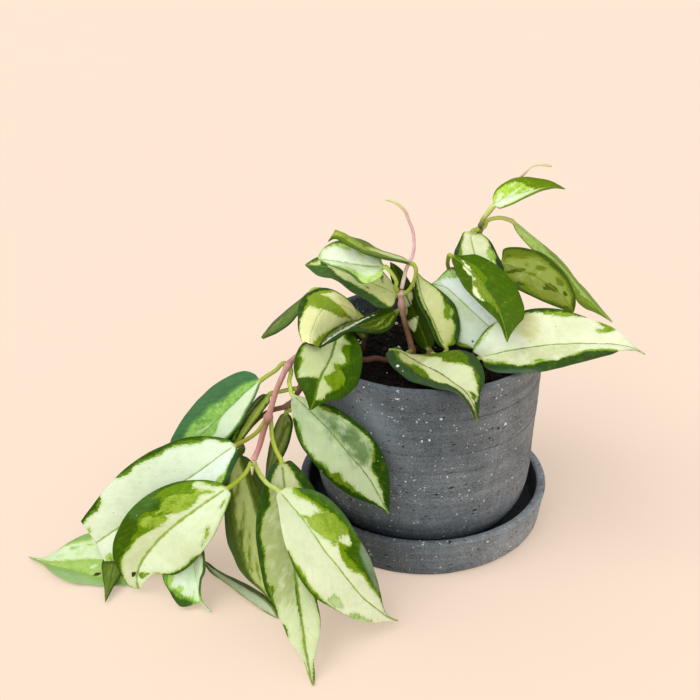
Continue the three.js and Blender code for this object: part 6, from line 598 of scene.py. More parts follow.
def close_rings(rings, cap_first=True, cap_last=True):
    """One closed body from rings (n, m, 3): verts and faces, with fans over both ends."""
    n, m, _ = rings.shape
    V = rings.reshape(-1, 3)
    F = [tuple(q) for q in ring_faces(n, m)]
    extra = []
    if cap_first:
        c = len(V) + len(extra)
        extra.append(rings[0].mean(0))
        F += [(c, (j + 1) % m, j) for j in range(m)]
    if cap_last:
        c = len(V) + len(extra)
        extra.append(rings[-1].mean(0))
        o = (n - 1) * m
        F += [(c, o + j, o + (j + 1) % m) for j in range(m)]
    V = np.vstack([V, extra]) if extra else V
    quads = np.array([f for f in F if len(f) == 4])
    tri = np.array([f for f in F if len(f) == 3])
    vol = 0.0
    for T in (quads[:, [0, 1, 2]], quads[:, [0, 2, 3]], tri):
        if len(T):
            vol += np.einsum("ij,ij->i", V[T[:, 0]], np.cross(V[T[:, 1]], V[T[:, 2]])).sum()
    if vol < 0:
        F = [f[::-1] for f in F]
    return V, F


# ------------------------------------------------------------------ node helpers
class Tree:
    def __init__(self, name):
        self.mat = bpy.data.materials.new(name)
        self.mat.use_nodes = True
        self.t = self.mat.node_tree
        self.n = self.t.nodes
        self.n.clear()
        self.out = self.n.new("ShaderNodeOutputMaterial")
        self.bsdf = self.n.new("ShaderNodeBsdfPrincipled")
        self.link(self.bsdf.outputs[0], self.out.inputs["Surface"])

    def link(self, a, b):
        self.t.links.new(a, b)

    def put(self, sock, v):
        if hasattr(v, "is_linked"):
            self.link(v, sock)
        else:
            sock.default_value = v

    def math(self, op, a, b=0.0, c=0.0, clamp=False):
        n = self.n.new("ShaderNodeMath")
        n.operation = op
        n.use_clamp = clamp
        self.put(n.inputs[0], a)
        self.put(n.inputs[1], b)
        if len(n.inputs) > 2:
            self.put(n.inputs[2], c)
        return n.outputs[0]

    def add(self, a, b): return self.math("ADD", a, b)
    def sub(self, a, b): return self.math("SUBTRACT", a, b)
    def mul(self, a, b): return self.math("MULTIPLY", a, b)
    def mad(self, a, b, c): return self.math("MULTIPLY_ADD", a, b, c)

    def ramp(self, x, lo, hi, a=0.0, b=1.0, smooth=True):
        n = self.n.new("ShaderNodeMapRange")
        n.interpolation_type = "SMOOTHSTEP" if smooth else "LINEAR"
        self.put(n.inputs["Value"], x)
        self.put(n.inputs["From Min"], lo)
        self.put(n.inputs["From Max"], hi)
        self.put(n.inputs["To Min"], a)
        self.put(n.inputs["To Max"], b)
        return n.outputs["Result"]

    def mix(self, f, a, b, blend="MIX"):
        n = self.n.new("ShaderNodeMix")
        n.data_type = "RGBA"
        n.blend_type = blend
        n.clamp_factor = True
        self.put(n.inputs[0], f)
        self.put(n.inputs[6], a if hasattr(a, "is_linked") else (*a, 1.0))
        self.put(n.inputs[7], b if hasattr(b, "is_linked") else (*b, 1.0))
        return n.outputs[2]

    def attr(self, name, out="Vector"):
        n = self.n.new("ShaderNodeAttribute")
        n.attribute_name = name
        return n.outputs[out]

    def split(self, v):
        n = self.n.new("ShaderNodeSeparateXYZ")
        self.link(v, n.inputs[0])
        return n.outputs[0], n.outputs[1], n.outputs[2]

    def join(self, x, y, z):
        n = self.n.new("ShaderNodeCombineXYZ")
        self.put(n.inputs[0], x)
        self.put(n.inputs[1], y)
        self.put(n.inputs[2], z)
        return n.outputs[0]

    def coord(self):
        n = self.n.new("ShaderNodeTexCoord")
        return n.outputs["Object"]

    def noise(self, vec, scale=1.0, detail=2.0, rough=0.5, distortion=0.0, out=0):
        n = self.n.new("ShaderNodeTexNoise")
        self.link(vec, n.inputs["Vector"])
        n.inputs["Scale"].default_value = scale
        n.inputs["Detail"].default_value = detail
        n.inputs["Roughness"].default_value = rough
        n.inputs["Distortion"].default_value = distortion
        return n.outputs[out]

    def voronoi(self, vec, scale, feature="F1", randomness=1.0):
        n = self.n.new("ShaderNodeTexVoronoi")
        n.feature = feature
        self.link(vec, n.inputs["Vector"])
        n.inputs["Scale"].default_value = scale
        n.inputs["Randomness"].default_value = randomness
        return n

    def scaled(self, vec, x, y, z):
        n = self.n.new("ShaderNodeVectorMath")
        n.operation = "MULTIPLY"
        self.link(vec, n.inputs[0])
        n.inputs[1].default_value = (x, y, z)
        return n.outputs[0]

    def bump(self, height, strength, distance, normal=None):
        n = self.n.new("ShaderNodeBump")
        n.inputs["Strength"].default_value = strength
        n.inputs["Distance"].default_value = distance
        self.link(height, n.inputs["Height"])
        if normal is not None:
            self.link(normal, n.inputs["Normal"])
        return n.outputs[0]

    def finish(self, color=None, rough=None, normal=None, **values):
        b = self.bsdf.inputs
        if color is not None:
            self.put(b["Base Color"], color)
        if rough is not None:
            self.put(b["Roughness"], rough)
        if normal is not None:
            self.link(normal, b["Normal"])
        for k, v in values.items():
            b[k.replace("_", " ")].default_value = v
        return self.mat


# ------------------------------------------------------------------ materials
def leaf_material():
    t = Tree("variegated_leaf")
    lu, lv, ed = t.split(t.attr("lf_place"))       # along, across, distance to the margin (mm)
    fd, fm, fl = t.split(t.attr("lf_zone"))        # how deep inside the dark, mid and lime green (mm)
    pt, un, soft = t.split(t.attr("lf_kind"))      # petiole, underside, how soft the greens' borders are (mm)
    seed, midw, jag = t.split(t.attr("lf_look"))
    fb, fw, dust = t.split(t.attr("lf_more"))      # inside a brown spot, inside a white spot (mm), dust
    mott = t.attr("lf_mott", "Fac")
    core, dark = t.attr("lf_core", "Color"), t.attr("lf_dark", "Color")
    midc, lime = t.attr("lf_mid", "Color"), t.attr("lf_lime", "Color")
    al = t.math("ABSOLUTE", lv)
    mr = t.add(al, t.mul(pt, 9.0))                 # distance to the midrib
    # side veins leave the midrib at about 30 degrees; pv counts across them, av along them
    pv = t.mul(t.sub(lu, t.mul(al, 1.7)), 0.5)
    av = t.add(t.mul(lu, 0.87), t.mul(al, 0.5))
    side = t.math("SIGN", lv)
    sz = t.add(t.mul(seed, 17.3), t.mul(side, 5.7))

    def vein_noise(a, b, off, detail=3.0, rough=0.6):
        return t.sub(t.noise(t.join(t.mul(pv, a), t.mul(av, b), t.add(sz, off)), 1.0, detail, rough), 0.5)

    def blotch(scale, off, detail=3.0, rough=0.6):
        return t.sub(t.noise(t.join(t.mul(lu, scale), t.mul(lv, scale), t.add(t.mul(seed, 17.3), off)), 1.0, detail, rough), 0.5)
    # the borders of the greens run in steps that follow the side veins, with a fine grit on top
    grit = t.mul(blotch(1.7, 5.0, 3.0, 0.7), 1.0)
    step1 = t.add(t.add(t.mul(vein_noise(0.75, 0.20, 0.0), 2.6), t.mul(vein_noise(2.9, 0.75, 3.1, 3.0, 0.7), 2.0)), grit)
    step2 = t.add(t.mul(vein_noise(0.8, 0.22, 11.3), 2.4), t.mul(vein_noise(2.6, 0.7, 19.1, 3.0, 0.7), 2.0))
    step3 = t.add(t.mul(vein_noise(0.7, 0.18, 31.0), 2.4), t.mul(vein_noise(2.4, 0.65, 37.0, 3.0, 0.7), 2.0))
    keep = t.ramp(ed, 0.0, 1.6, 0.25, 1.0)
    jd = t.mul(t.mul(step1, jag), keep)
    jm = t.mul(t.mul(t.add(t.mul(step1, 0.6), t.mul(step2, 0.8)), jag), keep)
    jl = t.mul(t.mul(t.add(t.mul(step1, 0.5), step3), jag), keep)
    ed_d, ed_m, ed_l = t.add(fd, jd), t.add(fm, jm), t.add(fl, jl)
    neg = t.mul(soft, -1.0)
    is_dark = t.ramp(ed_d, neg, soft)
    is_mid = t.ramp(ed_m, t.mul(neg, 0.7), t.mul(soft, 0.7))
    is_lime = t.ramp(ed_l, t.mul(neg, 0.5), t.mul(soft, 0.5))
    # pale middle: soft clouds, faint streaks along the veins
    cloud = blotch(0.085, 60.0)
    streak = vein_noise(1.6, 0.10, 71.0, 2.0)
    hair = vein_noise(5.0, 0.35, 77.0, 2.0)
    green_tint = t.mix(0.45, core, lime)
    col = t.mix(t.ramp(cloud, -0.08, 0.22, 0.0, 0.30), core, green_tint)
    col = t.mix(t.ramp(streak, 0.02, 0.28, 0.0, 0.30), col, green_tint)
    col = t.mix(t.ramp(hair, 0.05, 0.3, 0.0, 0.16), col, t.mix(0.35, core, midc))
    col = t.mix(t.ramp(blotch(0.5, 64.0, 3.0, 0.7), 0.02, 0.22, 0.0, 0.20), col, green_tint)
    dull = t.mix(0.22, core, (0.30, 0.36, 0.20))
    patch = t.add(t.mul(blotch(0.17, 67.0, 4.0, 0.66), 1.0), t.mul(vein_noise(1.1, 0.5, 69.0, 3.0, 0.7), 0.5))
    col = t.mix(t.ramp(patch, -0.02, 0.20, 0.0, 0.75), col, dull)
    col = t.mix(t.ramp(patch, -0.04, -0.24, 0.0, 0.45), col, t.mix(0.35, core, (0.92, 0.95, 0.86)))
    # green bleeds a little into the pale tissue before it stops
    col = t.mix(t.ramp(ed_l, -1.5, 0.0, 0.0, 0.34), col, t.mix(0.3, lime, midc))
    # lime: mottled with the mid green
    wide = blotch(0.26, 201.0, 4.0, 0.62)
    fine = vein_noise(2.3, 0.55, 83.0, 4.0, 0.74)
    tiny = blotch(1.3, 207.0, 4.0, 0.72)
    mo1 = t.add(t.add(t.mul(wide, 0.8), t.mul(fine, 0.8)), t.mul(tiny, 0.4))
    lime_v = t.mix(t.ramp(mo1, -0.06, 0.22, 0.0, 0.80), lime, t.mix(0.22, midc, dark))
    lime_v = t.mix(t.ramp(mo1, -0.06, -0.28, 0.0, 0.42), lime_v, t.mix(0.45, lime, core))
    col = t.mix(is_lime, col, lime_v)
    # mid green: clouds towards dark and flecks of lime
    mo2 = t.add(t.add(t.mul(blotch(0.30, 211.0, 4.0, 0.62), 0.8), t.mul(vein_noise(1.7, 0.45, 91.0, 4.0, 0.74), 0.8)), t.mul(tiny, 0.5))
    mid_v = t.mix(t.ramp(mo2, 0.0, 0.26, 0.0, 0.70), midc, dark)
    mid_v = t.mix(t.ramp(mo2, -0.06, -0.28, 0.0, 0.60), mid_v, lime)
    col = t.mix(is_mid, col, mid_v)
    # dark green: veins and clouds a little lighter
    mo3 = t.add(t.add(t.mul(blotch(0.22, 221.0, 4.0, 0.62), 1.0), t.mul(vein_noise(1.2, 0.5, 97.0, 4.0, 0.70), 0.45)), t.mul(tiny, 0.5))
    dark_v = t.mix(t.mul(t.ramp(mo3, 0.0, 0.28, 0.0, 0.60), mott), dark, midc)
    dark_v = t.mix(t.mul(t.ramp(mo3, -0.04, -0.28, 0.0, 0.50), mott), dark_v, t.mix(0.6, dark, (0.004, 0.012, 0.001)))
    dark_v = t.mix(t.mul(t.ramp(blotch(0.9, 103.0, 3.0, 0.7), 0.17, 0.22, 0.0, 0.45), mott), dark_v, t.mix(0.6, midc, lime))
    col = t.mix(is_dark, col, dark_v)
    # side veins: faint lines a few millimetres apart
    phase = t.math("FRACT", t.add(t.mul(pv, 0.38), t.mul(blotch(0.07, 41.0), 1.6)))
    line = t.ramp(t.mul(t.math("ABSOLUTE", t.sub(phase, 0.5)), 2.6), 0.06, 0.34, 1.0, 0.0)
    line = t.mul(t.mul(line, t.ramp(ed, 0.4, 3.0)), t.ramp(blotch(0.35, 47.0), -0.12, 0.12, 0.25, 1.0))
    vein_c = t.mix(is_lime, t.mix(0.6, core, (0.86, 0.92, 0.80)), t.mix(0.5, lime, midc))
    col = t.mix(t.mul(line, t.ramp(ed_l, -0.3, 0.3, 0.07, 0.16)), col, vein_c)
    # midrib
    rib_n = t.noise(t.join(t.mul(lu, 0.25), 0.0, sz), 1.0, 3.0, 0.6)
    rib_w = t.mul(midw, t.ramp(rib_n, 0.3, 0.7, 0.8, 1.5))
    rib = t.mul(t.ramp(mr, t.mul(rib_w, 0.45), t.mul(rib_w, 1.45), 1.0, 0.0), t.ramp(rib_n, 0.3, 0.6, 0.6, 0.95))
    rib_col = t.mix(t.attr("lf_ribc", "Fac"), t.mix(0.2, lime, midc), t.mix(0.4, midc, dark))
    rib_col = t.mix(is_dark, rib_col, t.mix(0.5, midc, lime))
    col = t.mix(rib, col, rib_col)
    # underside: paler and duller
    col = t.mix(un, col, t.mix(0.6, col, (0.34, 0.40, 0.20)))
    # tiny dark dots, brown spots, dust and dried drops
    dots = t.voronoi(t.join(t.mul(lu, 0.30), t.mul(lv, 0.30), sz), 1.0)
    dot = t.mul(t.ramp(dots.outputs["Distance"], 0.055, 0.12, 1.0, 0.0),
                t.math("GREATER_THAN", t.split(dots.outputs["Color"])[0], 0.86))
    col = t.mix(t.mul(dot, 0.6), col, (0.10, 0.085, 0.03))
    dv = t.voronoi(t.join(t.mul(lu, 0.34), t.mul(lv, 0.34), t.add(sz, 3.3)), 1.0)
    dr, dg, db = t.split(dv.outputs["Color"])
    spot = t.mul(t.ramp(dv.outputs["Distance"], t.mul(dg, 0.09), t.add(t.mul(dg, 0.09), 0.05), 1.0, 0.0),
                 t.math("LESS_THAN", dr, dust))
    col = t.mix(t.mul(spot, 0.55), col, (0.62, 0.68, 0.58))
    col = t.mix(t.ramp(t.add(fw, t.mul(grit, 0.9)), -0.14, 0.14, 0.0, 0.9), col, (0.80, 0.86, 0.82))
    col = t.mix(t.ramp(t.add(fb, t.mul(step2, 0.45)), -0.12, 0.15), col, (0.055, 0.032, 0.02))
    # petiole, with painted shade along one side
    pn = t.noise(t.coord(), 900.0, 3.0, 0.6)
    stalk = t.attr("lf_stalk", "Color")
    pcol = t.mix(t.ramp(pn, 0.35, 0.7, 0.0, 0.5), stalk, t.mix(0.5, stalk, (0.16, 0.20, 0.03)))
    petiole_side_shade = t.ramp(lv, -0.9, 0.5, 0.45, 0.0)
    pcol = t.mix(petiole_side_shade, pcol, t.mix(0.6, pcol, (0.14, 0.17, 0.02)))
    col = t.mix(pt, col, pcol)
    # relief
    vein = vein_noise(0.9, 0.05, 7.0, 1.0, 0.5)
    grain = t.noise(t.coord(), 2400.0, 3.0, 0.6)
    hgt = t.add(t.add(t.mul(vein, 0.8), t.mul(grain, 0.20)), t.mul(line, -0.25))
    rough = t.ramp(t.noise(t.coord(), 350.0, 3.0, 0.6), 0.3, 0.7, 0.38, 0.50, smooth=False)
    rough = t.add(rough, t.mul(un, 0.2))
    rough = t.sub(rough, t.mul(is_dark, 0.05))
    return t.finish(col, rough, t.bump(hgt, 0.35, 0.0004), Specular_IOR_Level=0.07, Subsurface_Weight=0.0)


def stem_material():
    t = Tree("stem_skin")
    c = t.attr("st_col", "Color")
    along, around, young = t.split(t.attr("st_place"))
    s = t.noise(t.join(t.mul(along, 0.25), t.mul(around, 3.2), 1.3), 1.0, 4.0, 0.65)
    m = t.noise(t.coord(), 1400.0, 4.0, 0.65)
    col = t.mix(t.ramp(s, 0.35, 0.7, 0.0, 0.45), c, t.mix(0.6, c, (0.10, 0.045, 0.03)))
    col = t.mix(t.ramp(m, 0.55, 0.75, 0.0, 0.35), col, t.mix(0.5, c, (0.75, 0.62, 0.50)))
    v = t.voronoi(t.coord(), 900.0)
    lent = t.mul(t.ramp(v.outputs["Distance"], 0.16, 0.24, 1.0, 0.0), t.math("GREATER_THAN", t.split(v.outputs["Color"])[0], 0.8))
    col = t.mix(t.mul(lent, 0.5), col, (0.30, 0.20, 0.13))
    hgt = t.add(t.mul(s, 0.7), t.mul(m, 0.4))
    return t.finish(col, t.ramp(m, 0.3, 0.7, 0.42, 0.62, smooth=False), t.bump(hgt, 0.5, 0.0003), Specular_IOR_Level=0.25)


def clay_material():
    t = Tree("raw_grey_clay")
    c = t.coord()
    x, y, z = t.split(c)
    # painted shade: the clay is darker in the middle and under the rim; painted light: it is lighter on the right
    drift = t.sub(t.noise(c, 24.0, 3.0, 0.6), 0.5)
    lit_share = t.ramp(t.add(x, t.mul(drift, 0.030)), 0.004, 0.060)
    rim_shade = t.ramp(t.add(z, t.mul(drift, 0.030)), 0.094, 0.058)
    col = t.mix(rim_shade, (0.080, 0.096, 0.108), (0.112, 0.132, 0.148))
    col = t.mix(lit_share, col, (0.205, 0.222, 0.236))
    # painted shade and painted light on the saucer: darker on the left, lighter on the right
    saucer_side_light = t.ramp(z, 0.030, 0.020)
    col = t.mix(1.0, col, t.mix(saucer_side_light, (1.0, 1.0, 1.0), t.ramp(x, -0.030, 0.055, 0.62, 1.36)), "MULTIPLY")
    # bands left by turning, and a cloudy drying pattern
    band = t.noise(t.join(t.mul(x, 7.0), t.mul(y, 7.0), t.mul(z, 300.0)), 1.0, 4.0, 0.65)
    hair = t.noise(t.join(t.mul(x, 22.0), t.mul(y, 22.0), t.mul(z, 1700.0)), 1.0, 3.0, 0.6)
    cloud = t.noise(c, 60.0, 4.0, 0.62)
    grain = t.noise(c, 1150.0, 4.0, 0.72)
    col = t.mix(1.0, col, t.ramp(band, 0.34, 0.66, 0.90, 1.12), "MULTIPLY")
    col = t.mix(1.0, col, t.ramp(hair, 0.34, 0.68, 0.95, 1.07), "MULTIPLY")
    col = t.mix(1.0, col, t.ramp(cloud, 0.32, 0.68, 0.86, 1.16), "MULTIPLY")
    col = t.mix(1.0, col, t.ramp(grain, 0.28, 0.72, 0.66, 1.38), "MULTIPLY")

    # a few thin score lines, broken along their length
    def score(z0, width, seed):
        wob = t.mul(t.sub(t.noise(t.join(t.mul(x, 14.0), t.mul(y, 14.0), seed), 1.0, 2.0, 0.5), 0.5), 0.0030)
        d = t.math("ABSOLUTE", t.sub(t.sub(z, z0), wob))
        cut = t.ramp(t.noise(t.join(t.mul(x, 26.0), t.mul(y, 26.0), seed + 9.0), 1.0, 2.0, 0.6), 0.36, 0.52, 0.1, 1.0)
        return t.mul(t.ramp(d, width * 0.35, width, 1.0, 0.0), cut)
    lines = None
    for k, (z0, width, power) in enumerate(((0.0863, 0.00042, 0.8), (0.0670, 0.00050, 1.0), (0.0460, 0.00040, 0.5), (0.0765, 0.00025, 0.35), (0.0565, 0.00025, 0.3), (0.0120, 0.00030, 0.4))):
        q = t.mul(score(z0, width, 3.0 + 5.0 * k), power)
        lines = q if lines is None else t.math("MAXIMUM", lines, q)
    col = t.mix(t.mul(lines, 0.60), col, (0.040, 0.045, 0.050))
    # wiping marks that run down the wall
    ang = t.math("ARCTAN2", y, x)
    lean = t.add(t.mul(ang, 17.0), t.mul(t.noise(c, 22.0, 2.0, 0.5), 7.0))
    wipe = t.noise(t.join(lean, t.mul(z, 62.0), 4.0), 1.0, 3.0, 0.6)
    wipe = t.mul(t.sub(wipe, 0.5), t.ramp(t.add(z, t.mul(drift, 0.1)), 0.080, 0.040, 0.0, 1.0))
    col = t.mix(1.0, col, t.ramp(wipe, -0.16, 0.16, 0.93, 1.09), "MULTIPLY")
    # painted sheen: a pale, cool reflection of window light on the clay at the front left, under the rim
    bx0, bz0 = t.add(x, 0.0285), t.sub(z, 0.0840)
    along = t.sub(t.mul(bx0, 0.65), t.mul(bz0, 0.76))
    across = t.add(t.mul(bx0, 0.76), t.mul(bz0, 0.65))
    far = t.math("SQRT", t.add(t.math("POWER", t.mul(t.math("ABSOLUTE", along), 48.0), 2.0), t.math("POWER", t.mul(t.math("ABSOLUTE", across), 88.0), 2.0)))
    window_sheen = t.mul(t.mul(t.ramp(far, 1.35, 0.35), t.ramp(y, -0.018, -0.030)), t.ramp(grain, 0.2, 0.8, 0.65, 1.0, smooth=False))
    col = t.mix(t.mul(window_sheen, 0.8), col, (0.205, 0.250, 0.285))
    # painted shade: the saucer's floor around the pot's foot and the saucer's inner wall are made near black, for the
    # narrow gap between pot and saucer
    rad = t.math("SQRT", t.add(t.mul(x, x), t.mul(y, y)))
    inner = t.add(0.0595, t.mul(z, 0.075))
    wall = t.mul(t.ramp(rad, 0.0566, 0.0578), t.ramp(z, 0.0212, 0.0196))
    gap_shade = t.mul(t.ramp(t.sub(inner, rad), -0.0002, 0.0006), t.math("MAXIMUM", wall, t.mul(t.ramp(z, 0.0068, 0.0056), t.ramp(t.math("ABSOLUTE", t.sub(z, 0.0049)), 0.0016, 0.0008))))
    col = t.mix(t.mul(gap_shade, 0.85), col, (0.010, 0.010, 0.010))
    # scattered specks: white grit in clusters, partly painted glints; dark pits, partly painted shade inside them; a
    # few rusty ones
    flock = t.noise(c, 75.0, 3.0, 0.6)
    wx, wy, wz = t.split(t.noise(c, 900.0, 1.0, 0.5, out=1))
    bent = t.join(t.add(x, t.mul(t.sub(wx, 0.5), 0.0022)), t.add(y, t.mul(t.sub(wy, 0.5), 0.0022)), t.add(z, t.mul(t.sub(wz, 0.5), 0.0018)))

    def specks(vec, scale, keep, lo, hi, mask=None):
        v = t.voronoi(vec, scale)
        r, g, b = t.split(v.outputs["Color"])
        size = t.add(lo, t.mul(t.mul(g, g), hi - lo))
        hit = t.math("GREATER_THAN", r, 1 - keep)
        if mask is not None:
            hit = t.math("GREATER_THAN", t.add(r, t.mul(t.sub(mask, 0.5), 2.4)), 1 - keep)
        return t.mul(t.ramp(v.outputs["Distance"], t.mul(size, 0.7), size, 1.0, 0.0), hit)
    bx, by, bz = t.split(bent)
    flat = t.scaled(t.join(t.add(bx, 0.3), t.add(by, 0.2), bz), 1.0, 1.0, 1.9)
    w1 = specks(bent, 330.0, 0.17, 0.08, 0.30, flock)
    w2 = specks(bent, 620.0, 0.24, 0.14, 0.42, flock)
    # pits dragged out along the turning of the clay
    drag = t.scaled(t.join(t.add(bx, 0.3), t.add(by, 0.2), bz), 0.5, 0.5, 1.9)
    k1 = specks(drag, 330.0, 0.36, 0.10, 0.30)
    k3 = specks(flat, 420.0, 0.18, 0.12, 0.34)
    k2 = specks(flat, 700.0, 0.22, 0.14, 0.40)
    o1 = specks(c, 240.0, 0.05, 0.06, 0.16)
    col = t.mix(t.mul(k2, 0.75), col, (0.022, 0.024, 0.027))
    col = t.mix(t.mul(t.math("MAXIMUM", k1, k3), 0.95), col, (0.008, 0.009, 0.010))
    col = t.mix(o1, col, (0.25, 0.13, 0.06))
    # white specks fade out where the painted gap shade lies
    lit_share = t.sub(1.0, t.mul(gap_shade, 0.9))
    col = t.mix(t.mul(t.mul(w2, 0.85), lit_share), col, (0.50, 0.51, 0.51))
    col = t.mix(t.mul(w1, lit_share), col, (0.72, 0.73, 0.72))
    hgt = t.add(t.mul(band, 1.0), t.mul(grain, 0.9))
    hgt = t.sub(hgt, t.mul(t.add(t.math("MAXIMUM", k1, k3), t.mul(k2, 0.6)), 1.2))
    hgt = t.sub(t.add(hgt, t.mul(hair, 0.25)), t.mul(lines, 1.2))
    n1 = t.bump(hgt, 0.85, 0.00025)
    rough = t.ramp(grain, 0.2, 0.8, 0.78, 0.96, smooth=False)
    return t.finish(col, rough, n1, Specular_IOR_Level=0.2)


def soil_material(name, dark, mid, light, rough_lo=0.85):
    t = Tree(name)
    c = t.coord()
    a = t.noise(c, 500.0, 4.0, 0.65)
    b = t.noise(c, 2200.0, 3.0, 0.65)
    tint = t.attr("gr_tint", "Color")
    col = t.mix(t.ramp(a, 0.35, 0.65), dark, mid)
    col = t.mix(t.ramp(b, 0.55, 0.8, 0.0, 0.5), col, light)
    col = t.mix(0.55, col, tint)
    hgt = t.add(a, t.mul(b, 0.5))
    return t.finish(col, t.ramp(b, 0.3, 0.7, rough_lo, 1.0, smooth=False), t.bump(hgt, 0.8, 0.0005), Specular_IOR_Level=0.10)


def perlite_material():
    t = Tree("perlite")
    c = t.coord()
    a = t.noise(c, 1200.0, 4.0, 0.7)
    v = t.voronoi(c, 1900.0)
    col = t.mix(t.ramp(a, 0.35, 0.7), (0.62, 0.59, 0.53), (0.86, 0.85, 0.82))
    col = t.mix(t.ramp(v.outputs["Distance"], 0.12, 0.3, 0.5, 0.0), col, (0.30, 0.26, 0.20))
    return t.finish(col, t.ramp(a, 0.3, 0.7, 0.8, 0.95, smooth=False), t.bump(a, 0.7, 0.0004), Specular_IOR_Level=0.3)


def floor_material():
    t = Tree("pale_floor")
    c = t.coord()
    a = t.noise(c, 2.5, 2.0, 0.5)
    col = t.mix(t.ramp(a, 0.3, 0.7, 0.0, 1.0), (0.585, 0.466, 0.376), (0.590, 0.470, 0.379))
    return t.finish(col, t.ramp(a, 0.3, 0.7, 0.88, 0.92, smooth=False), Specular_IOR_Level=0.1,
                    Emission_Color=(0.345, 0.277, 0.224, 1.0), Emission_Strength=1.0)


M_LEAF = leaf_material()
M_STEM = stem_material()
M_CLAY = clay_material()
M_SOIL = soil_material("potting_soil", (0.004, 0.003, 0.003), (0.012, 0.009, 0.007), (0.040, 0.030, 0.022))
M_GRAIN = soil_material("soil_crumbs", (0.005, 0.004, 0.003), (0.018, 0.013, 0.010), (0.065, 0.048, 0.034))
M_PERL = perlite_material()
M_FLOOR = floor_material()

# ------------------------------------------------------------------ leaves
NU = 88
TT = np.linspace(0, 1, NU)
UF = 0.55 * TT + 0.45 * 0.5 * (1 - np.cos(np.pi * TT))      # denser at base and tip
VH = np.array([0.0, .04, .09, .16, .24, .33, .42, .51, .60, .68, .76, .83, .89, .94, .975, 1.0])
VV = np.r_[-VH[::-1], VH[1:]]                                # 31 across
NV = len(VV)
RING = 2 * NV - 2                                            # 60 points around


def inside(px, py, poly):
    """signed distance to a closed outline, positive inside"""
    best = np.full(px.shape, 1e9)
    odd = np.zeros(px.shape, bool)
    n = len(poly)
    for i in range(n):
        (x0, y0), (x1, y1) = poly[i], poly[(i + 1) % n]
        ex, ey = x1 - x0, y1 - y0
        w = np.clip(((px - x0) * ex + (py - y0) * ey) / max(ex * ex + ey * ey, 1e-9), 0, 1)
        best = np.minimum(best, (px - x0 - w * ex) ** 2 + (py - y0 - w * ey) ** 2)
        if y0 != y1:
            odd ^= ((y0 <= py) != (y1 <= py)) & (px < ex * (py - y0) / ey + x0)
    return np.where(odd, 1, -1) * np.sqrt(best)


def finer(poly, gap=0.03):
    out = []
    n = len(poly)
    for i in range(n):
        (u0, s0), (u1, s1) = poly[i], poly[(i + 1) % n]
        k = max(1, int(math.ceil(max(abs(u1 - u0), abs(s1 - s0) / 6) / gap)))
        out += [(u0 + (u1 - u0) * j / k, s0 + (s1 - s0) * j / k) for j in range(k)]
    return out


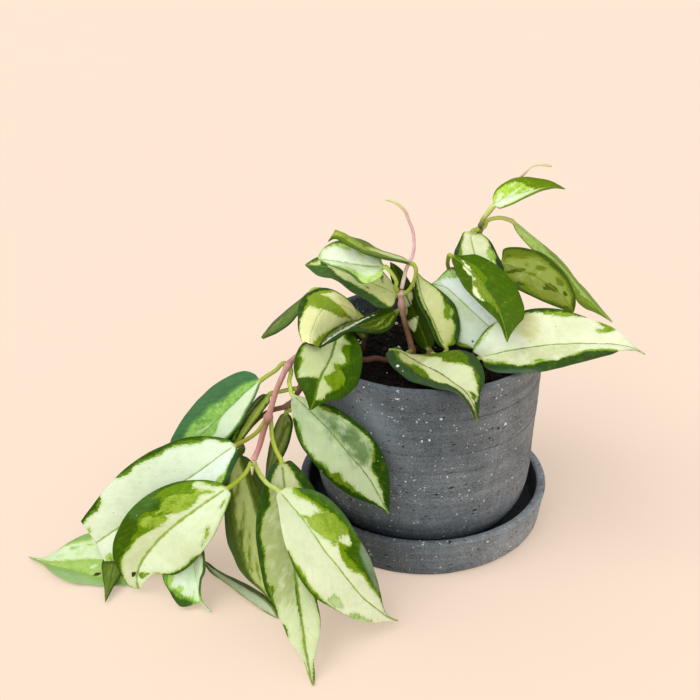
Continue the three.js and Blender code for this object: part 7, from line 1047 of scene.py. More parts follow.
def build_leaf(name, d, look, seed):
    up = d["up"]
    M, A, B = (through(US, np.array(d[k]), UF) for k in ("mid", "left", "right"))
    for u, mm in look.get("lift", [])[:1]:
        lift = np.array(look["lift"], float)
        A = A + np.interp(UF, lift[:, 0], lift[:, 1])[:, None] * np.array((0, 0, 1.0))
    thick = look.get("thick", 0.98)
    L = arc(M)
    length = L[-1]
    # sheet through the midrib and both margins, its crease softened
    e = look.get("soft", 0.12)
    g = (np.sqrt(VV**2 + e * e) - e) / (math.sqrt(1 + e * e) - e)
    S = M[:, None, :] + (A + B - 2 * M)[:, None, :] * 0.5 * g[None, :, None] + (B - A)[:, None, :] * 0.5 * VV[None, :, None]

    def normals(S):
        du = np.gradient(S, axis=0)
        dv = np.gradient(S, axis=1)
        return unit(np.cross(dv, du)) * up
    N = normals(S)
    half = np.where(VV[None, :] < 0, np.linalg.norm(A - M, axis=1)[:, None], np.linalg.norm(B - M, axis=1)[:, None])
    # each half is slightly domed, and the margin undulates
    dome = look.get("dome", 0.05)
    bulge = np.minimum(dome * half, 1.0) * (4 * np.abs(VV) * (1 - np.abs(VV)))[None, :]
    fade = smooth01(UF / 0.15) * smooth01((1 - UF) / 0.12)
    pl = np.stack(np.broadcast_arrays(L[:, None] / 9.0, (VV * 1.3)[None, :] + 0 * L[:, None], seed * 3.7 + 0 * half), -1).reshape(-1, 3)
    wav = noise(pl, 5).reshape(NU, NV) * look.get("wave", 0.42) * (np.abs(VV) ** 1.5)[None, :] * fade[:, None]
    pl2 = np.stack(np.broadcast_arrays(L[:, None] / 4.0, (half * VV[None, :]) / 4.0, seed * 1.9 + 0 * half), -1).reshape(-1, 3)
    wav = wav + noise(pl2, 9).reshape(NU, NV) * 0.10 * fade[:, None]
    S = S + N * (bulge * fade[:, None] + wav)[..., None]
    N = normals(S)
    # lateral distance from the midrib, in mm, measured over the sheet
    step = np.linalg.norm(np.diff(S, axis=1), axis=2)
    c = NV // 2
    lat = np.zeros((NU, NV))
    lat[:, c + 1:] = np.cumsum(step[:, c:], axis=1)
    lat[:, :c] = -np.cumsum(step[:, :c][:, ::-1], axis=1)[:, ::-1]
    wide = np.where(VV[None, :] < 0, np.abs(lat[:, :1]), np.abs(lat[:, -1:]))
    edge = np.maximum(wide - np.abs(lat), 0)
    # distance to the margin near the tip: the outline also closes ahead
    ahead = (length - L)[:, None]
    slope = np.abs(np.gradient(wide[:, 0], L) + 0) + 1e-6
    edge_d = edge / np.sqrt(1 + np.minimum(np.where(VV[None, :] < 0, np.abs(np.gradient(wide[:, 0], L))[:, None], np.abs(np.gradient(wide[:, -1], L))[:, None]), 3.0) ** 2)
    # thickness, round at the margin
    H = thick / 2 * (0.72 + 0.28 * smooth01((1 - UF) / 0.25)) * (1 + 0.12 * smooth01((0.2 - UF) / 0.2))
    r = np.clip(edge / H[:, None], 0, 1)
    t = H[:, None] * np.sqrt(1 - (1 - r) ** 2)
    ribfade = (0.25 + 0.75 * (1 - UF)) * smooth01((1 - UF) / 0.06)
    rib = np.exp(-((lat / 0.62) ** 2))
    top = t - 0.20 * rib * ribfade[:, None]
    bot = t + 0.42 * rib * ribfade[:, None]
    # very faint side veins
    q = L[:, None] - 0.75 * np.abs(lat)
    top = top + 0.035 * np.sin(q * 1.15 + seed) * np.clip(np.abs(lat) / 3, 0, 1) * np.clip(edge / 2, 0, 1)
    P_top = S + N * top[..., None]
    P_bot = S - N * bot[..., None]
    rings = np.concatenate([P_top, P_bot[:, 1:-1][:, ::-1]], axis=1)         # (NU, 48, 3)

    # petiole
    root = np.array(d["root"], float)
    pet = np.array(d["pet"], float)
    start = pet[0] - unit(pet[0] - root) * 1.35
    path = [start, *pet, M[0]]
    # leave the base of the blade in the blade's own direction
    tb = unit(M[3] - M[0])
    P = np.vstack([path, M[0] + tb * 0.8])
    s = chord(P, 0.5)
    f = through(s, P, np.linspace(0, s[-2], 240))
    a = arc(f)
    npet = int(np.clip(round(a[-1] / 0.85), 7, 40))
    so = np.linspace(0, a[-1], npet + 1)
    Q = np.stack([np.interp(so, a, f[:, i]) for i in range(3)], -1)
    T = unit(np.gradient(Q, axis=0))
    T[-1] = unit(T[-1] + tb)
    ang = np.r_[np.pi * (1 - np.arange(NV) / (NV - 1)), -np.pi * np.arange(1, NV - 1) / (NV - 1)]
    rp0 = look.get("stalk_r", 1.02)
    sdir = unit(B[4] - A[4])
    ndir = N[4, c]
    sd = unit(sdir - T[-1] * (sdir @ T[-1]))
    nd = unit(ndir - T[-1] * (ndir @ T[-1]) - sd * (ndir @ sd))
    frames = []
    for k in range(npet, -1, -1):
        sd = unit(sd - T[k] * (sd @ T[k]))
        nd = unit(nd - T[k] * (nd @ T[k]) - sd * (nd @ sd))
        frames.append((sd.copy(), nd.copy()))
    frames = frames[::-1]
    fr = np.linspace(0, 1, npet + 1)
    rad = rp0 * (1 + 0.30 * np.exp(-((so / 1.5) ** 2)) + 0.10 * smooth01((fr - 0.75) / 0.25))
    rad = rad * (1 + 0.03 * np.sin(so * 1.7 + seed))
    prings = []
    for k in range(npet + 1):
        sd, nd = frames[k]
        groove = 1 - 0.14 * np.exp(-(((ang - np.pi / 2) / 0.45) ** 2)) * smooth01(fr[k] * 2)
        prings.append(Q[k] + rad[k] * groove[:, None] * (np.cos(ang)[:, None] * sd + np.sin(ang)[:, None] * nd))
    prings = np.array(prings)
    # morph the round petiole into the blade over its first few millimetres
    sd, nd = frames[-1]
    Tb = unit(np.gradient(M, axis=0))
    k_end = int(np.searchsorted(L, min(4.0, 0.09 * length)))
    for i in range(0, k_end + 1):
        w = smooth01(L[i] / max(L[k_end], 1e-6))
        sdi = unit(unit(B[max(i, 2)] - A[max(i, 2)]) * w + sd * (1 - w))
        sdi = unit(sdi - Tb[i] * (sdi @ Tb[i]))
        ndi = N[i, c] * w + nd * (1 - w)
        ndi = unit(ndi - Tb[i] * (ndi @ Tb[i]) - sdi * (ndi @ sdi))
        circ = M[i] + rad[-1] * (np.cos(ang)[:, None] * sdi + np.sin(ang)[:, None] * ndi)
        rings[i] = circ * (1 - w) + rings[i] * w
    allr = np.concatenate([prings[:-1], rings], axis=0)
    allr[..., 2] = np.maximum(allr[..., 2], 0.12)
    V, F = close_rings(allr)
    ob = new_mesh(name, V, F, M_LEAF)

    # what the material needs at each point
    np_ = npet

    def both(X):            # blade grid -> ring order
        return np.concatenate([X, X[:, 1:-1][:, ::-1]], axis=1)
    lu = both(np.repeat(L[:, None], NV, 1))
    lv = both(lat)
    ed = both(edge_d)
    un = np.concatenate([np.zeros((NU, NV)), np.ones((NU, NV - 2))], axis=1)
    un[:, 0] = un[:, NV - 1] = 0.5
    # signed distances to each green, measured over the flattened blade
    wl_, wr_ = wide[:, 0], wide[:, -1]

    def flat(poly):
        out = []
        for (u, sv) in finer(poly):
            w = np.interp(u, UF, wl_ if sv < 0 else wr_)
            x = np.interp(u, UF, L) + (min(u, 0) + max(u - 1, 0)) * length
            y = sv * w if abs(sv) <= 1 else math.copysign(w + (abs(sv) - 1) * 60, sv)
            out.append((x, y))
        return out

    def band(rows, k, sg):
        pts = []
        for row in rows:
            f = row[k]
            pts.append((row[0], sg * (1 - f) if f > 0.001 else sg * 1.03))
        pts[0] = (-.08, pts[0][1])
        pts[-1] = (1.08, pts[-1][1])
        # past the midrib a full half stops there
        pts = [(u, sv if sv * sg > -0.02 else -0.02 * sg) for u, sv in pts]
        return pts + [(1.08, sg * 1.4), (-.08, sg * 1.4)]
    px, py = np.repeat(L[:, None], NV, 1), lat
    gx = px
    gy = np.where(VV[None, :] < 0, VV[None, :] * wl_[:, None], VV[None, :] * wr_[:, None])
    F = []
    for k in (1, 2, 3):
        F.append(np.maximum(inside(gx, gy, flat(band(look["A"], k, -1))), inside(gx, gy, flat(band(look["B"], k, 1)))))
    # where the blade is thin, as at its tip, the border between two tones can't be told from the margin
    for k in (1, 2, 3):
        for half, w_, rows in ((VV < 0, wl_, look["A"]), (VV >= 0, wr_, look["B"])):
            share = np.interp(UF, [row[0] for row in rows], [row[k] for row in rows])
            lean = 0.6 * (1 - np.clip(w_ / 1.5, 0, 1)) * np.where(share < 0.4, -1.0, np.where(share > 0.8, 1.0, 0.0))
            F[k - 1][:, half] += lean[:, None]
    brown = np.full(gx.shape, -6.0)
    order = {"dark": 0, "mid": 1, "lime": 2, "pale": 3}
    for tone, poly in look.get("zones", []):
        d_ = inside(gx, gy, flat(poly))
        if tone == "brown":
            brown = np.maximum(brown, d_)
            continue
        for k in range(3):
            F[k] = np.maximum(F[k], d_) if k >= order[tone] else np.minimum(F[k], -d_)
    F = [both(np.clip(f, -6, 6)) for f in F]
    brown = both(np.clip(brown, -6, 6))
    ptv = both(np.repeat((1 - smooth01((L - 0.4) / 3.2))[:, None], NV, 1))
    place = np.stack([lu, lv, ed], -1)
    zone = np.stack(F, -1)
    white = np.full(gx.shape, -6.0)
    for (u, sv, rad_) in look.get("drops", []):
        w = np.interp(u, UF, wl_ if sv < 0 else wr_)
        white = np.maximum(white, rad_ - np.hypot(gx - np.interp(u, UF, L), gy - sv * w))
    white = both(np.clip(white, -6, 6))
    kind = np.stack([ptv, un * look.get("un", 0.45), 0 * un + look.get("fade", 0.42)], -1)
    more = np.stack([brown, white, 0 * brown + look.get("dust", 0.04)], -1)
    pp = np.zeros((np_, RING, 3))
    pp[..., 0] = -(so[-1] - so[:-1])[:, None]
    pp[..., 1] = rad[:-1, None] * np.cos(ang)[None, :]
    pb = np.full((np_, RING, 3), -6.0)
    pk = np.zeros((np_, RING, 3))
    pk[..., 0] = 1.0
    pk[..., 2] = 0.42

    def pack(p, b):
        x = np.concatenate([p, b], axis=0)
        ends = np.stack([x[0].mean(0), x[-1].mean(0)])
        return np.concatenate([x.reshape(-1, 3), ends], 0)
    nV = len(V)
    set_vec(ob, "lf_place", pack(pp, place))
    set_vec(ob, "lf_zone", pack(pb, zone))
    set_vec(ob, "lf_kind", pack(pk, kind))
    set_vec(ob, "lf_more", pack(pb * [1, 1, 0], more))
    av = ob.data.attributes.new("lf_mott", "FLOAT", "POINT")
    av.data.foreach_set("value", np.full(nV, look.get("mott", 0.7), np.float32))
    av = ob.data.attributes.new("lf_ribc", "FLOAT", "POINT")
    av.data.foreach_set("value", np.full(nV, look.get("ribc", 0.35), np.float32))
    set_vec(ob, "lf_look", np.tile([seed * 0.37, look.get("rib", 0.42), look.get("jag", 1.0)], (nV, 1)))
    uu = np.repeat(UF[:, None], NV, 1)[..., None]
    for key in ("core", "dark", "mid", "lime"):
        c0 = np.array(look.get(key, {"core": CREAM, "dark": DARK, "mid": MID, "lime": LIME}[key]), float)
        c1 = np.array(look.get(key + "2", c0), float)
        col = c0 * (1 - uu) + c1 * uu
        for what, tint, poly, soft, power in look.get("tints", []):
            if what == key:
                fleck = noise(np.stack([gx / 3.4, gy / 3.4, 0 * gx + seed + 7.7], -1).reshape(-1, 3), 15).reshape(gx.shape)
                speck = noise(np.stack([(gx - 1.7 * np.abs(gy)) / 1.3, (gx * 0.5 + np.abs(gy)) / 3.0, 0 * gx + seed + 3.1], -1).reshape(-1, 3), 16).reshape(gx.shape)
                w = inside(gx, gy, flat(poly)) / soft + min(soft, 4.0) * (0.10 * fleck + 0.06 * speck)
                w = power * (smooth01(np.clip(w, -0.5, 0.5) + 0.5) * np.clip(0.86 + 0.5 * speck + 0.4 * fleck, 0.2, 1.0))[..., None]
                col = col * (1 - w) + np.array(tint, float) * w
        set_col(ob, "lf_" + key, pack(np.tile(c0, (np_, RING, 1)), both(col)))
    sc0, sc1 = np.array(look.get("stalk0", STALK)), np.array(look.get("stalk", STALK))
    w = np.concatenate([np.repeat((so[:-1] / so[-1])[:, None], RING, 1), np.ones((NU, RING))], 0).reshape(-1)
    w = smooth01(np.r_[w, 0, 1] * 1.3)[:, None]
    set_col(ob, "lf_stalk", sc0 * (1 - w) + sc1 * w)
    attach(ob, "root")
    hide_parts(name)
    return ob


for k, (name, d) in enumerate(LEAVES.items()):
    build_leaf(name, d, {**PLAIN, **LOOKS.get(name, {})}, k + 1)

# ------------------------------------------------------------------ stems
SIDES = 20
# colour along each stem: (fraction, colour)
BROWN, DULL = (0.085, 0.040, 0.022), (0.16, 0.10, 0.045)
STEM_LOOK = {
    # stem_trailing: the dark stop at .845 is partly a brown collar at the node and partly painted shade just below the
    # node
    "stem_trailing": dict(col=[(0, BROWN), (.15, (0.16, 0.06, 0.03)), (.30, (0.18, 0.075, 0.045)), (.42, (0.40, 0.20, 0.17)), (.55, (0.58, 0.30, 0.27)), (.63, (0.68, 0.35, 0.34)), (.69, (0.54, 0.26, 0.22)),
                               (.80, (0.55, 0.26, 0.22)), (.825, (0.45, 0.23, 0.17)), (.845, (0.22, 0.11, 0.055)), (.875, (0.34, 0.165, 0.11)), (.91, (0.42, 0.19, 0.145)), (.97, (0.58, 0.24, 0.235)), (1, (0.66, 0.42, 0.34))]),
    "stem_second": dict(col=[(0, BROWN), (.3, (0.16, 0.08, 0.05)), (.36, (0.28, 0.14, 0.12)), (.41, (0.17, 0.085, 0.055)), (.48, (0.085, 0.055, 0.012)), (.55, (0.07, 0.055, 0.006)), (1, (0.25, 0.27, 0.07))]),
    "stem_upright": dict(col=[(0, (0.14, 0.07, 0.04)), (.29, (0.27, 0.14, 0.07)), (.49, (0.19, 0.09, 0.035)), (.6, (0.26, 0.14, 0.08)), (.72, (0.40, 0.24, 0.16)), (.8, (0.55, 0.32, 0.25)), (.93, (0.74, 0.43, 0.36)), (1, (0.78, 0.52, 0.44))]),
    "stem_tendril": dict(col=[(0, (0.90, 0.72, 0.64)), (.13, (0.92, 0.74, 0.68)), (.3, (0.95, 0.57, 0.62)), (.62, (0.95, 0.52, 0.56)), (.74, (0.90, 0.62, 0.52)), (.84, (0.86, 0.82, 0.42)), (1, (0.86, 0.88, 0.46))]),
    "stem_right": dict(col=[(0, (0.14, 0.09, 0.04)), (.5, (0.26, 0.25, 0.08)), (.93, (0.38, 0.40, 0.12)), (1, (0.15, 0.09, 0.06))]),
    "stem_top_tendril": dict(col=[(0, (0.40, 0.40, 0.12)), (.3, (0.62, 0.55, 0.30)), (.5, (0.80, 0.64, 0.50)), (.65, (0.88, 0.62, 0.54)), (.75, (0.92, 0.90, 0.66)), (.88, (0.80, 0.76, 0.46)), (1, (0.62, 0.62, 0.30))]),
    "stem_left": dict(col=[(0, BROWN), (1, DULL)]),
    "stem_front": dict(col=[(0, BROWN), (1, DULL)]),
    "bud_trailing": dict(col=[(0, (0.52, 0.50, 0.26)), (.4, (0.60, 0.60, 0.34)), (1, (0.30, 0.30, 0.12))]),
}
IN_SOIL = {"stem_trailing": (-8.5, -3.0, 86.5), "stem_second": (-37.6, -23.6, 86.0), "stem_upright": (-6.2, 1.8, 86.0),
           "stem_right": (23.0, 1.6, 86.0), "stem_left": (-32.1, 6.3, 86.0), "stem_front": (1.8, -7.0, 86.5)}
ROOTS = [np.array(d["root"], float) for d in LEAVES.values()]
for name, s in STEMS.items():
    P = np.array(s["route"], float)
    if name in IN_SOIL:
        P = np.vstack([IN_SOIL[name], P])
    Q0 = even_curve(P, 400)
    length = arc(Q0)[-1]
    n = int(np.clip(length / 0.8, 10, 260))
    Q = even_curve(P, n)
    a = arc(Q)
    fr = a / a[-1]
    r0 = s["r"]
    taper = {"stem_tendril": 0.72, "stem_top_tendril": 0.85, "bud_trailing": 0.35, "stem_second": 0.8}.get(name, 0.92)
    r0 = {"stem_tendril": 0.98, "stem_top_tendril": 0.72, "stem_trailing": 1.42}.get(name, r0)
    R = r0 * (1 + (taper - 1) * fr)
    if name == "bud_trailing":
        R = r0 * (0.95 - 0.62 * fr)
    for root in ROOTS:                       # thicker where a leaf sits
        dist = np.linalg.norm(Q - root, axis=1)
        k = dist.argmin()
        if dist[k] < 1.2:
            R = R * (1 + 0.30 * np.exp(-(((a - a[k]) / 1.9) ** 2)))
    R = R * (1 + 0.05 * noise(np.stack([a / 3.0, 0 * a, 0 * a + len(name)], -1), 3))
    end = np.sqrt(np.clip(1 - ((a - (a[-1] - R[-1] * 1.2)) / (R[-1] * 1.2)) ** 2, 0, 1)) * (a > a[-1] - R[-1] * 1.2) + (a <= a[-1] - R[-1] * 1.2)
    R = R * np.maximum(end, 0.25)
    T = unit(np.gradient(Q, axis=0))
    sd = unit(np.cross(T[0], (0.31, 0.52, 0.79)))
    rings, place = [], []
    ang = np.linspace(0, 2 * np.pi, SIDES, endpoint=False)
    for k in range(n):
        sd = unit(sd - T[k] * (sd @ T[k]))
        nd = np.cross(T[k], sd)
        rr = R[k] * (1 + 0.04 * np.sin(ang * 2 + a[k] * 0.15) + 0.03 * np.sin(ang * 5 + a[k] * 0.5))
        rings.append(Q[k] + rr[:, None] * (np.cos(ang)[:, None] * sd + np.sin(ang)[:, None] * nd))
        place.append(np.stack([np.full(SIDES, a[k]), np.sin(ang), np.cos(ang)], -1))
    rings, place = np.array(rings), np.array(place)
    V, F = close_rings(rings)
    V[:, 2] = np.maximum(V[:, 2], 0.1)
    ob = new_mesh(name, V, F, M_STEM)
    pv = np.concatenate([place.reshape(-1, 3), place[0].mean(0)[None], place[-1].mean(0)[None]], 0)
    set_vec(ob, "st_place", pv)
    stops = STEM_LOOK[name]["col"]
    ff = pv[:, 0] / a[-1]
    set_col(ob, "st_col", np.stack([np.interp(ff, [q[0] for q in stops], [q[1][i] for q in stops]) for i in range(3)], -1))
    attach(ob, "root")
    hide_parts(name)


# ------------------------------------------------------------------ turned clay
def turned(name, node, profile, segs, fine, coarse, shape, is_fine):
    """Closed lathe body from a closed (r, z) profile, mm; shape(r, z, angle) moves the skin outward."""
    P = np.array(profile, float)
    pts = []
    for i in range(len(P) - 1):
        d = np.linalg.norm(P[i + 1] - P[i])
        step = fine if is_fine(*((P[i] + P[i + 1]) / 2)) else coarse
        k = max(1, int(math.ceil(d / step)))
        for j in range(k):
            pts.append(P[i] + (P[i + 1] - P[i]) * j / k)
    pts.append(P[-1])
    pts = np.array(pts)
    # round the corners
    for _ in range(3):
        q = pts.copy()
        q[1:-1] = 0.25 * pts[:-2] + 0.5 * pts[1:-1] + 0.25 * pts[2:]
        near = np.r_[0, np.minimum(np.linalg.norm(pts[1:-1] - pts[:-2], axis=1), np.linalg.norm(pts[2:] - pts[1:-1], axis=1)), 0]
        keep = (pts[:, 0] < 1e-6) | (near > fine * 1.5)
        pts = np.where(keep[:, None], pts, q)
    t = np.gradient(pts, axis=0)
    nrm = unit(np.stack([t[:, 1], -t[:, 0]], -1))
    ang = np.linspace(0, 2 * np.pi, segs, endpoint=False)
    closed = np.allclose(P[0], P[-1])
    if closed:
        pts, nrm = pts[:-1], nrm[:-1]
    R, Z = np.meshgrid(pts[:, 0], ang, indexing="ij")[0], np.meshgrid(pts[:, 1], ang, indexing="ij")[0]
    G = np.meshgrid(pts[:, 0], ang, indexing="ij")[1]
    D = shape(R, Z, G, nrm[:, 0][:, None] + 0 * R, nrm[:, 1][:, None] + 0 * R)
    R2 = R + D * nrm[:, 0][:, None]
    Z2 = Z + D * nrm[:, 1][:, None]
    X = np.stack([R2 * np.cos(G), R2 * np.sin(G), Z2], -1)
    n = len(pts)
    V, F = [], []
    idx = np.zeros((n, segs), int)
    flat = X.reshape(-1, 3)
    axis_pts = pts[:, 0] < 1e-6
    verts = []
    for i in range(n):
        if axis_pts[i]:
            idx[i, :] = len(verts)
            verts.append(X[i].mean(0))
        else:
            idx[i, :] = np.arange(len(verts), len(verts) + segs)
            verts.extend(X[i])
    last = n if closed else n - 1
    for i in range(last):
        k = (i + 1) % n
        for j in range(segs):
            m = (j + 1) % segs
            f = [idx[i, j], idx[i, m], idx[k, m], idx[k, j]]
            g = []
            for v in f:
                if v not in g:
                    g.append(v)
            if len(g) > 2:
                F.append(tuple(g))
    V = np.array(verts)
    vol = 0.0
    for f in F[::1]:
        a0 = V[f[0]]
        for q in range(1, len(f) - 1):
            b0, c0 = V[f[q]], V[f[q + 1]]
            vol += a0[0] * (b0[1] * c0[2] - b0[2] * c0[1]) - a0[1] * (b0[0] * c0[2] - b0[2] * c0[0]) + a0[2] * (b0[0] * c0[1] - b0[1] * c0[0])
    if vol < 0:
        F = [f[::-1] for f in F]
    return new_mesh(name, V, F, M_CLAY)


def clay_skin(grooves, seed, amp=0.10):
    def shape(R, Z, G, nr, nz):
        x, y = R * np.cos(G), R * np.sin(G)
        p = np.stack([x, y, Z], -1).reshape(-1, 3)
        d = 0.22 * noise(p / 34.0, seed) + amp * noise(p / np.array([30.0, 30.0, 2.6]), seed + 1)
        d = d + 0.05 * noise(p / np.array([9.0, 9.0, 0.9]), seed + 2) + 0.035 * noise(p / 1.3, seed + 3)
        d = d.reshape(R.shape)
        side = np.clip(np.abs(nr) * 1.4 - 0.3, 0, 1)
        for z0, dz, w, depth, g0, gw in grooves:
            zz = z0 + dz * np.sin(G + g0)
            m = np.exp(-(((Z - zz) / w) ** 2))
            if gw:
                m = m * smooth01(0.5 + 0.5 * np.cos(G - g0) + gw)
            d = d - depth * m * side * (nr > 0)
        return d
    return shape


POT = [(34, 5.2), (41.6, 5.4), (45.1, 7.2), (48.4, 10.6), (51.3, 14.8), (53.4, 19.6), (54.8, 25.4), (55.6, 31), (56.0, 38), (56.2, 47), (56.9, 58),
       (57.5, 69), (58.0, 79), (58.3, 89), (58.8, 94), (59.5, 98.4), (59.9, 101.0), (59.75, 102.4), (59.0, 103.1), (57.9, 103.3), (56.9, 103.1),
       (56.2, 102.3), (55.9, 100.8), (55.3, 94), (55.0, 88), (52.4, 40), (50.4, 26), (46, 17.5), (40, 13.2), (34, 12.2), (6, 12.2), (6, 5.2), (34, 5.2)]
pot = turned("pot_clay", "pot", POT, 240, 0.75, 4.0,
             clay_skin([(86.3, 0.3, 0.55, 0.26, 0.6, 0.0), (67.0, 0.4, 0.5, 0.30, 1.9, 0.0), (46.0, 0.3, 0.7, 0.16, 2.7, 0.2), (76.5, 0.2, 0.5, 0.10, 4.0, 0.0), (56.5, 0.5, 0.8, 0.10, 5.0, 0.1)], 21),
             lambda r, z: (r > 50 and z > 84) or r > 52.6 or (r > 36 and z < 24 and not (z > 12 and r < 50.4 and z > 12.2 and r < 46.5)))
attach(pot, "root"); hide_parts("pot")
SAUCER = [(0, 0), (59.0, 0), (60.8, 0.5), (61.8, 2.0), (62.4, 5), (63.3, 11), (64.1, 17.4), (64.75, 19.8), (64.7, 20.9), (63.9, 21.55), (62.3, 21.6), (60.8, 21.3),
          (60.1, 20.3), (59.7, 16.5), (59.3, 12), (58.8, 8.2), (57.9, 6.2), (56.2, 5.0), (54, 4.9), (0, 4.9)]
saucer = turned("saucer_clay", "saucer", SAUCER, 240, 0.75, 4.0,
                clay_skin([(12.0, 0.3, 0.6, 0.22, 1.0, 0.0), (17.2, 0.2, 0.4, 0.14, 3.0, 0.0)], 51, 0.08), lambda r, z: r > 40)
v = saucer.data.vertices
co = np.empty(len(v) * 3, np.float32)
v.foreach_get("co", co)
co = co.reshape(-1, 3)
co[:, 2] = np.where(np.abs(co[:, 2]) < 0.00045, 0.0, np.maximum(co[:, 2], 0.0))
v.foreach_set("co", co.ravel())
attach(saucer, "root"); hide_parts("saucer")

# ------------------------------------------------------------------ soil
rng = np.random.default_rng(7)
SOIL_Z = 89.3


def soil_height(x, y):
    p = np.stack([x, y, 0 * x], -1)
    r = np.hypot(x, y)
    h = 1.1 * noise(p / 17.0, 61) + 0.7 * noise(p / 6.0, 62) + 0.42 * noise(p / 2.4, 63) + 0.2 * noise(p / 1.1, 64)
    return SOIL_Z - 0.7 + h * smooth01((53.6 - r) / 3.0) - 0.5 * smooth01((r - 46) / 8)


segs = 180
ring_r = np.r_[np.linspace(0.8, 53.7, 76)]
ang = np.linspace(0, 2 * np.pi, segs, endpoint=False)
rings = []
for r in ring_r:
    x, y = r * np.cos(ang), r * np.sin(ang)
    rings.append(np.stack([x, y, soil_height(x, y)], -1))
for r, z in [(54.3, 87.0), (53.6, 70), (51.7, 40.2), (49.8, 26.4), (45.4, 18.1), (39.7, 13.8), (33.8, 12.7), (5.6, 12.7), (5.6, 5.8)]:
    rings.append(np.stack([r * np.cos(ang), r * np.sin(ang), np.full(segs, z)], -1))
V, F = close_rings(np.array(rings))
soil = new_mesh("soil_body", V, F, M_SOIL)
set_col(soil, "gr_tint", np.tile((0.009, 0.007, 0.006), (len(V), 1)))
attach(soil, "root"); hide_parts("soil")


def icosphere():
    f = (1 + 5**0.5) / 2
    v = np.array([(-1, f, 0), (1, f, 0), (-1, -f, 0), (1, -f, 0), (0, -1, f), (0, 1, f), (0, -1, -f), (0, 1, -f), (f, 0, -1), (f, 0, 1), (-f, 0, -1), (-f, 0, 1)], float)
    v = unit(v)
    F = [(0, 11, 5), (0, 5, 1), (0, 1, 7), (0, 7, 10), (0, 10, 11), (1, 5, 9), (5, 11, 4), (11, 10, 2), (10, 7, 6), (7, 1, 8),
         (3, 9, 4), (3, 4, 2), (3, 2, 6), (3, 6, 8), (3, 8, 9), (4, 9, 5), (2, 4, 11), (6, 2, 10), (8, 6, 7), (9, 8, 1)]
    v = list(map(tuple, v))
    mid = {}
    G = []

    def half(a, b):
        k = (min(a, b), max(a, b))
        if k not in mid:
            mid[k] = len(v)
            v.append(tuple(unit(np.array(v[a]) + np.array(v[b]))))
        return mid[k]
    for a, b, c in F:
        ab, bc, ca = half(a, b), half(b, c), half(c, a)
        G += [(a, ab, ca), (b, bc, ab), (c, ca, bc), (ab, bc, ca)]
    return np.array(v), np.array(G)


ICO_V, ICO_F = icosphere()


def lumps(name, count, size, flat, rmax, rough, tints, material, sink=0.3, keep=None, seed=1, fixed=()):
    g = np.random.default_rng(seed)
    VV_, FF_, CC_ = [], [], []
    k = 0
    spots = list(fixed)
    while len(spots) < count:
        r = rmax * math.sqrt(g.random())
        a = g.random() * 2 * math.pi
        s = size[0] + (size[1] - size[0]) * g.random() ** 2.4
        spots.append((r * math.cos(a), r * math.sin(a), s))
    for x, y, s in spots:
        q = g.normal(size=4)
        q /= np.linalg.norm(q)
        w, a, b, c = q
        Rm = np.array([[1 - 2 * (b * b + c * c), 2 * (a * b - c * w), 2 * (a * c + b * w)],
                       [2 * (a * b + c * w), 1 - 2 * (a * a + c * c), 2 * (b * c - a * w)],
                       [2 * (a * c - b * w), 2 * (b * c + a * w), 1 - 2 * (a * a + b * b)]])
        sc = np.array([1.0, 0.6 + 0.4 * g.random(), flat[0] + (flat[1] - flat[0]) * g.random()])
        v = ICO_V * (1 + rough * noise(ICO_V * 1.7 + g.random(3) * 50, 77))[:, None]
        v = (v * sc) @ Rm.T * (s / 2)
        z = soil_height(np.array([x]), np.array([y]))[0]
        v = v + np.array([x, y, z + s * 0.5 * (0.55 - sink)])
        VV_.append(v)
        FF_.append(ICO_F + k)
        k += len(ICO_V)
        CC_.append(np.tile(np.array(tints[g.integers(len(tints))]) * (0.7 + 0.6 * g.random()), (len(ICO_V), 1)))
    V, F, Ccol = np.vstack(VV_), np.vstack(FF_), np.vstack(CC_)
    ob = new_mesh(name, V, F, material)
    set_col(ob, "gr_tint", Ccol)
    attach(ob, "root")
    return ob


lumps("soil_crumbs", 1500, (0.9, 4.2), (0.5, 1.0), 52.6, 0.42,
      [(0.007, 0.005, 0.004), (0.012, 0.009, 0.007), (0.022, 0.015, 0.010), (0.050, 0.034, 0.020), (0.006, 0.006, 0.005)], M_GRAIN, 0.35, seed=11)
lumps("soil_perlite", 70, (0.9, 3.6), (0.7, 1.0), 52.0, 0.34, [(0.8, 0.8, 0.78)], M_PERL, 0.25, seed=12)

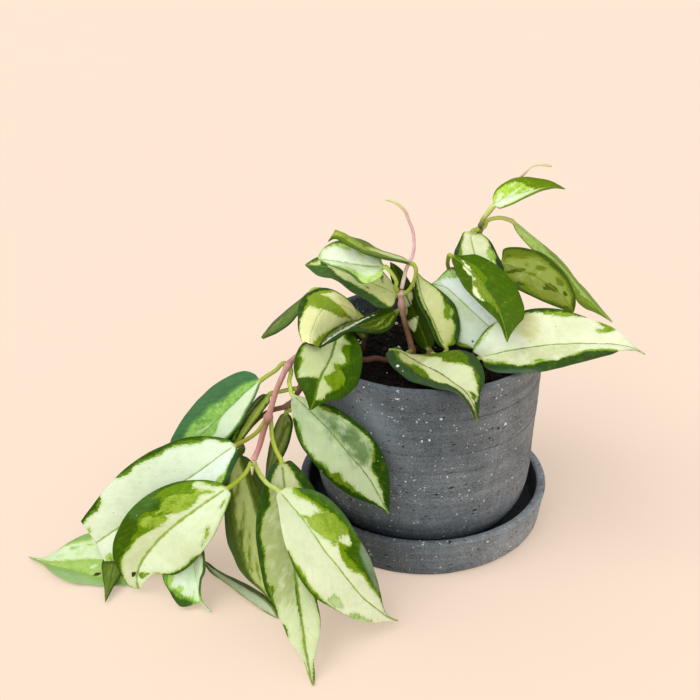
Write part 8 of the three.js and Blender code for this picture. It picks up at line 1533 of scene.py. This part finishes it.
# ------------------------------------------------------------------ stage, light, camera
me = bpy.data.meshes.new("floor")
me.from_pydata([(-12, -12, 0), (12, -12, 0), (12, 12, 0), (-12, 12, 0)], [], [(0, 1, 2, 3)])
me.materials.append(M_FLOOR)
floor = bpy.data.objects.new("floor", me)
bpy.context.scene.collection.objects.link(floor)

scene = bpy.context.scene
scene.view_settings.view_transform = "Standard"
scene.view_settings.look = "None"
world = bpy.data.worlds.new("studio")
scene.world = world
world.use_nodes = True
bg = world.node_tree.nodes["Background"]
bg.inputs[0].default_value = (1.0, 1.0, 1.0, 1.0)
bg.inputs[1].default_value = 0.68


def sun(name, toward, power, angle, color=(1, 1, 1)):
    li = bpy.data.lights.new(name, "SUN")
    li.energy = power
    li.angle = math.radians(angle)
    li.color = color
    ob = bpy.data.objects.new(name, li)
    scene.collection.objects.link(ob)
    ob.location = -Vector(toward) * 1.5
    ob.rotation_euler = Vector(toward).to_track_quat("-Z", "Y").to_euler()
    return ob


sun("key", (0.50, 0.28, -0.82), 1.15, 45, (1.0, 0.995, 0.985))
sun("fill", (0.10, 0.83, -0.55), 0.90, 50)

cy, cz, yaw, pitch, roll, fpx = -539.36, 370.63, -0.07066, 0.47436, 0.006266, 1200.0
cyw, syw = math.cos(yaw), math.sin(yaw)
fwd = np.array([syw * math.cos(pitch), cyw * math.cos(pitch), -math.sin(pitch)])
rgt = np.array([cyw, -syw, 0.0])
dwn = np.cross(fwd, rgt)
cr_, sr_ = math.cos(roll), math.sin(roll)
rgt, dwn = cr_ * rgt + sr_ * dwn, -sr_ * rgt + cr_ * dwn
cam = bpy.data.cameras.new("camera")
cam.sensor_fit = "HORIZONTAL"
cam.sensor_width = 36.0
cam.lens = fpx / 700.0 * 36.0
cam.clip_start = 0.01
cam.clip_end = 50.0
cob = bpy.data.objects.new("camera", cam)
scene.collection.objects.link(cob)
m = Matrix.Identity(4)
for i in range(3):
    m[i][0], m[i][1], m[i][2] = rgt[i], -dwn[i], -fwd[i]
m[0][3], m[1][3], m[2][3] = 0.0, cy * MM, cz * MM
cob.matrix_world = m
scene.camera = cob

bpy.context.view_layer.update()
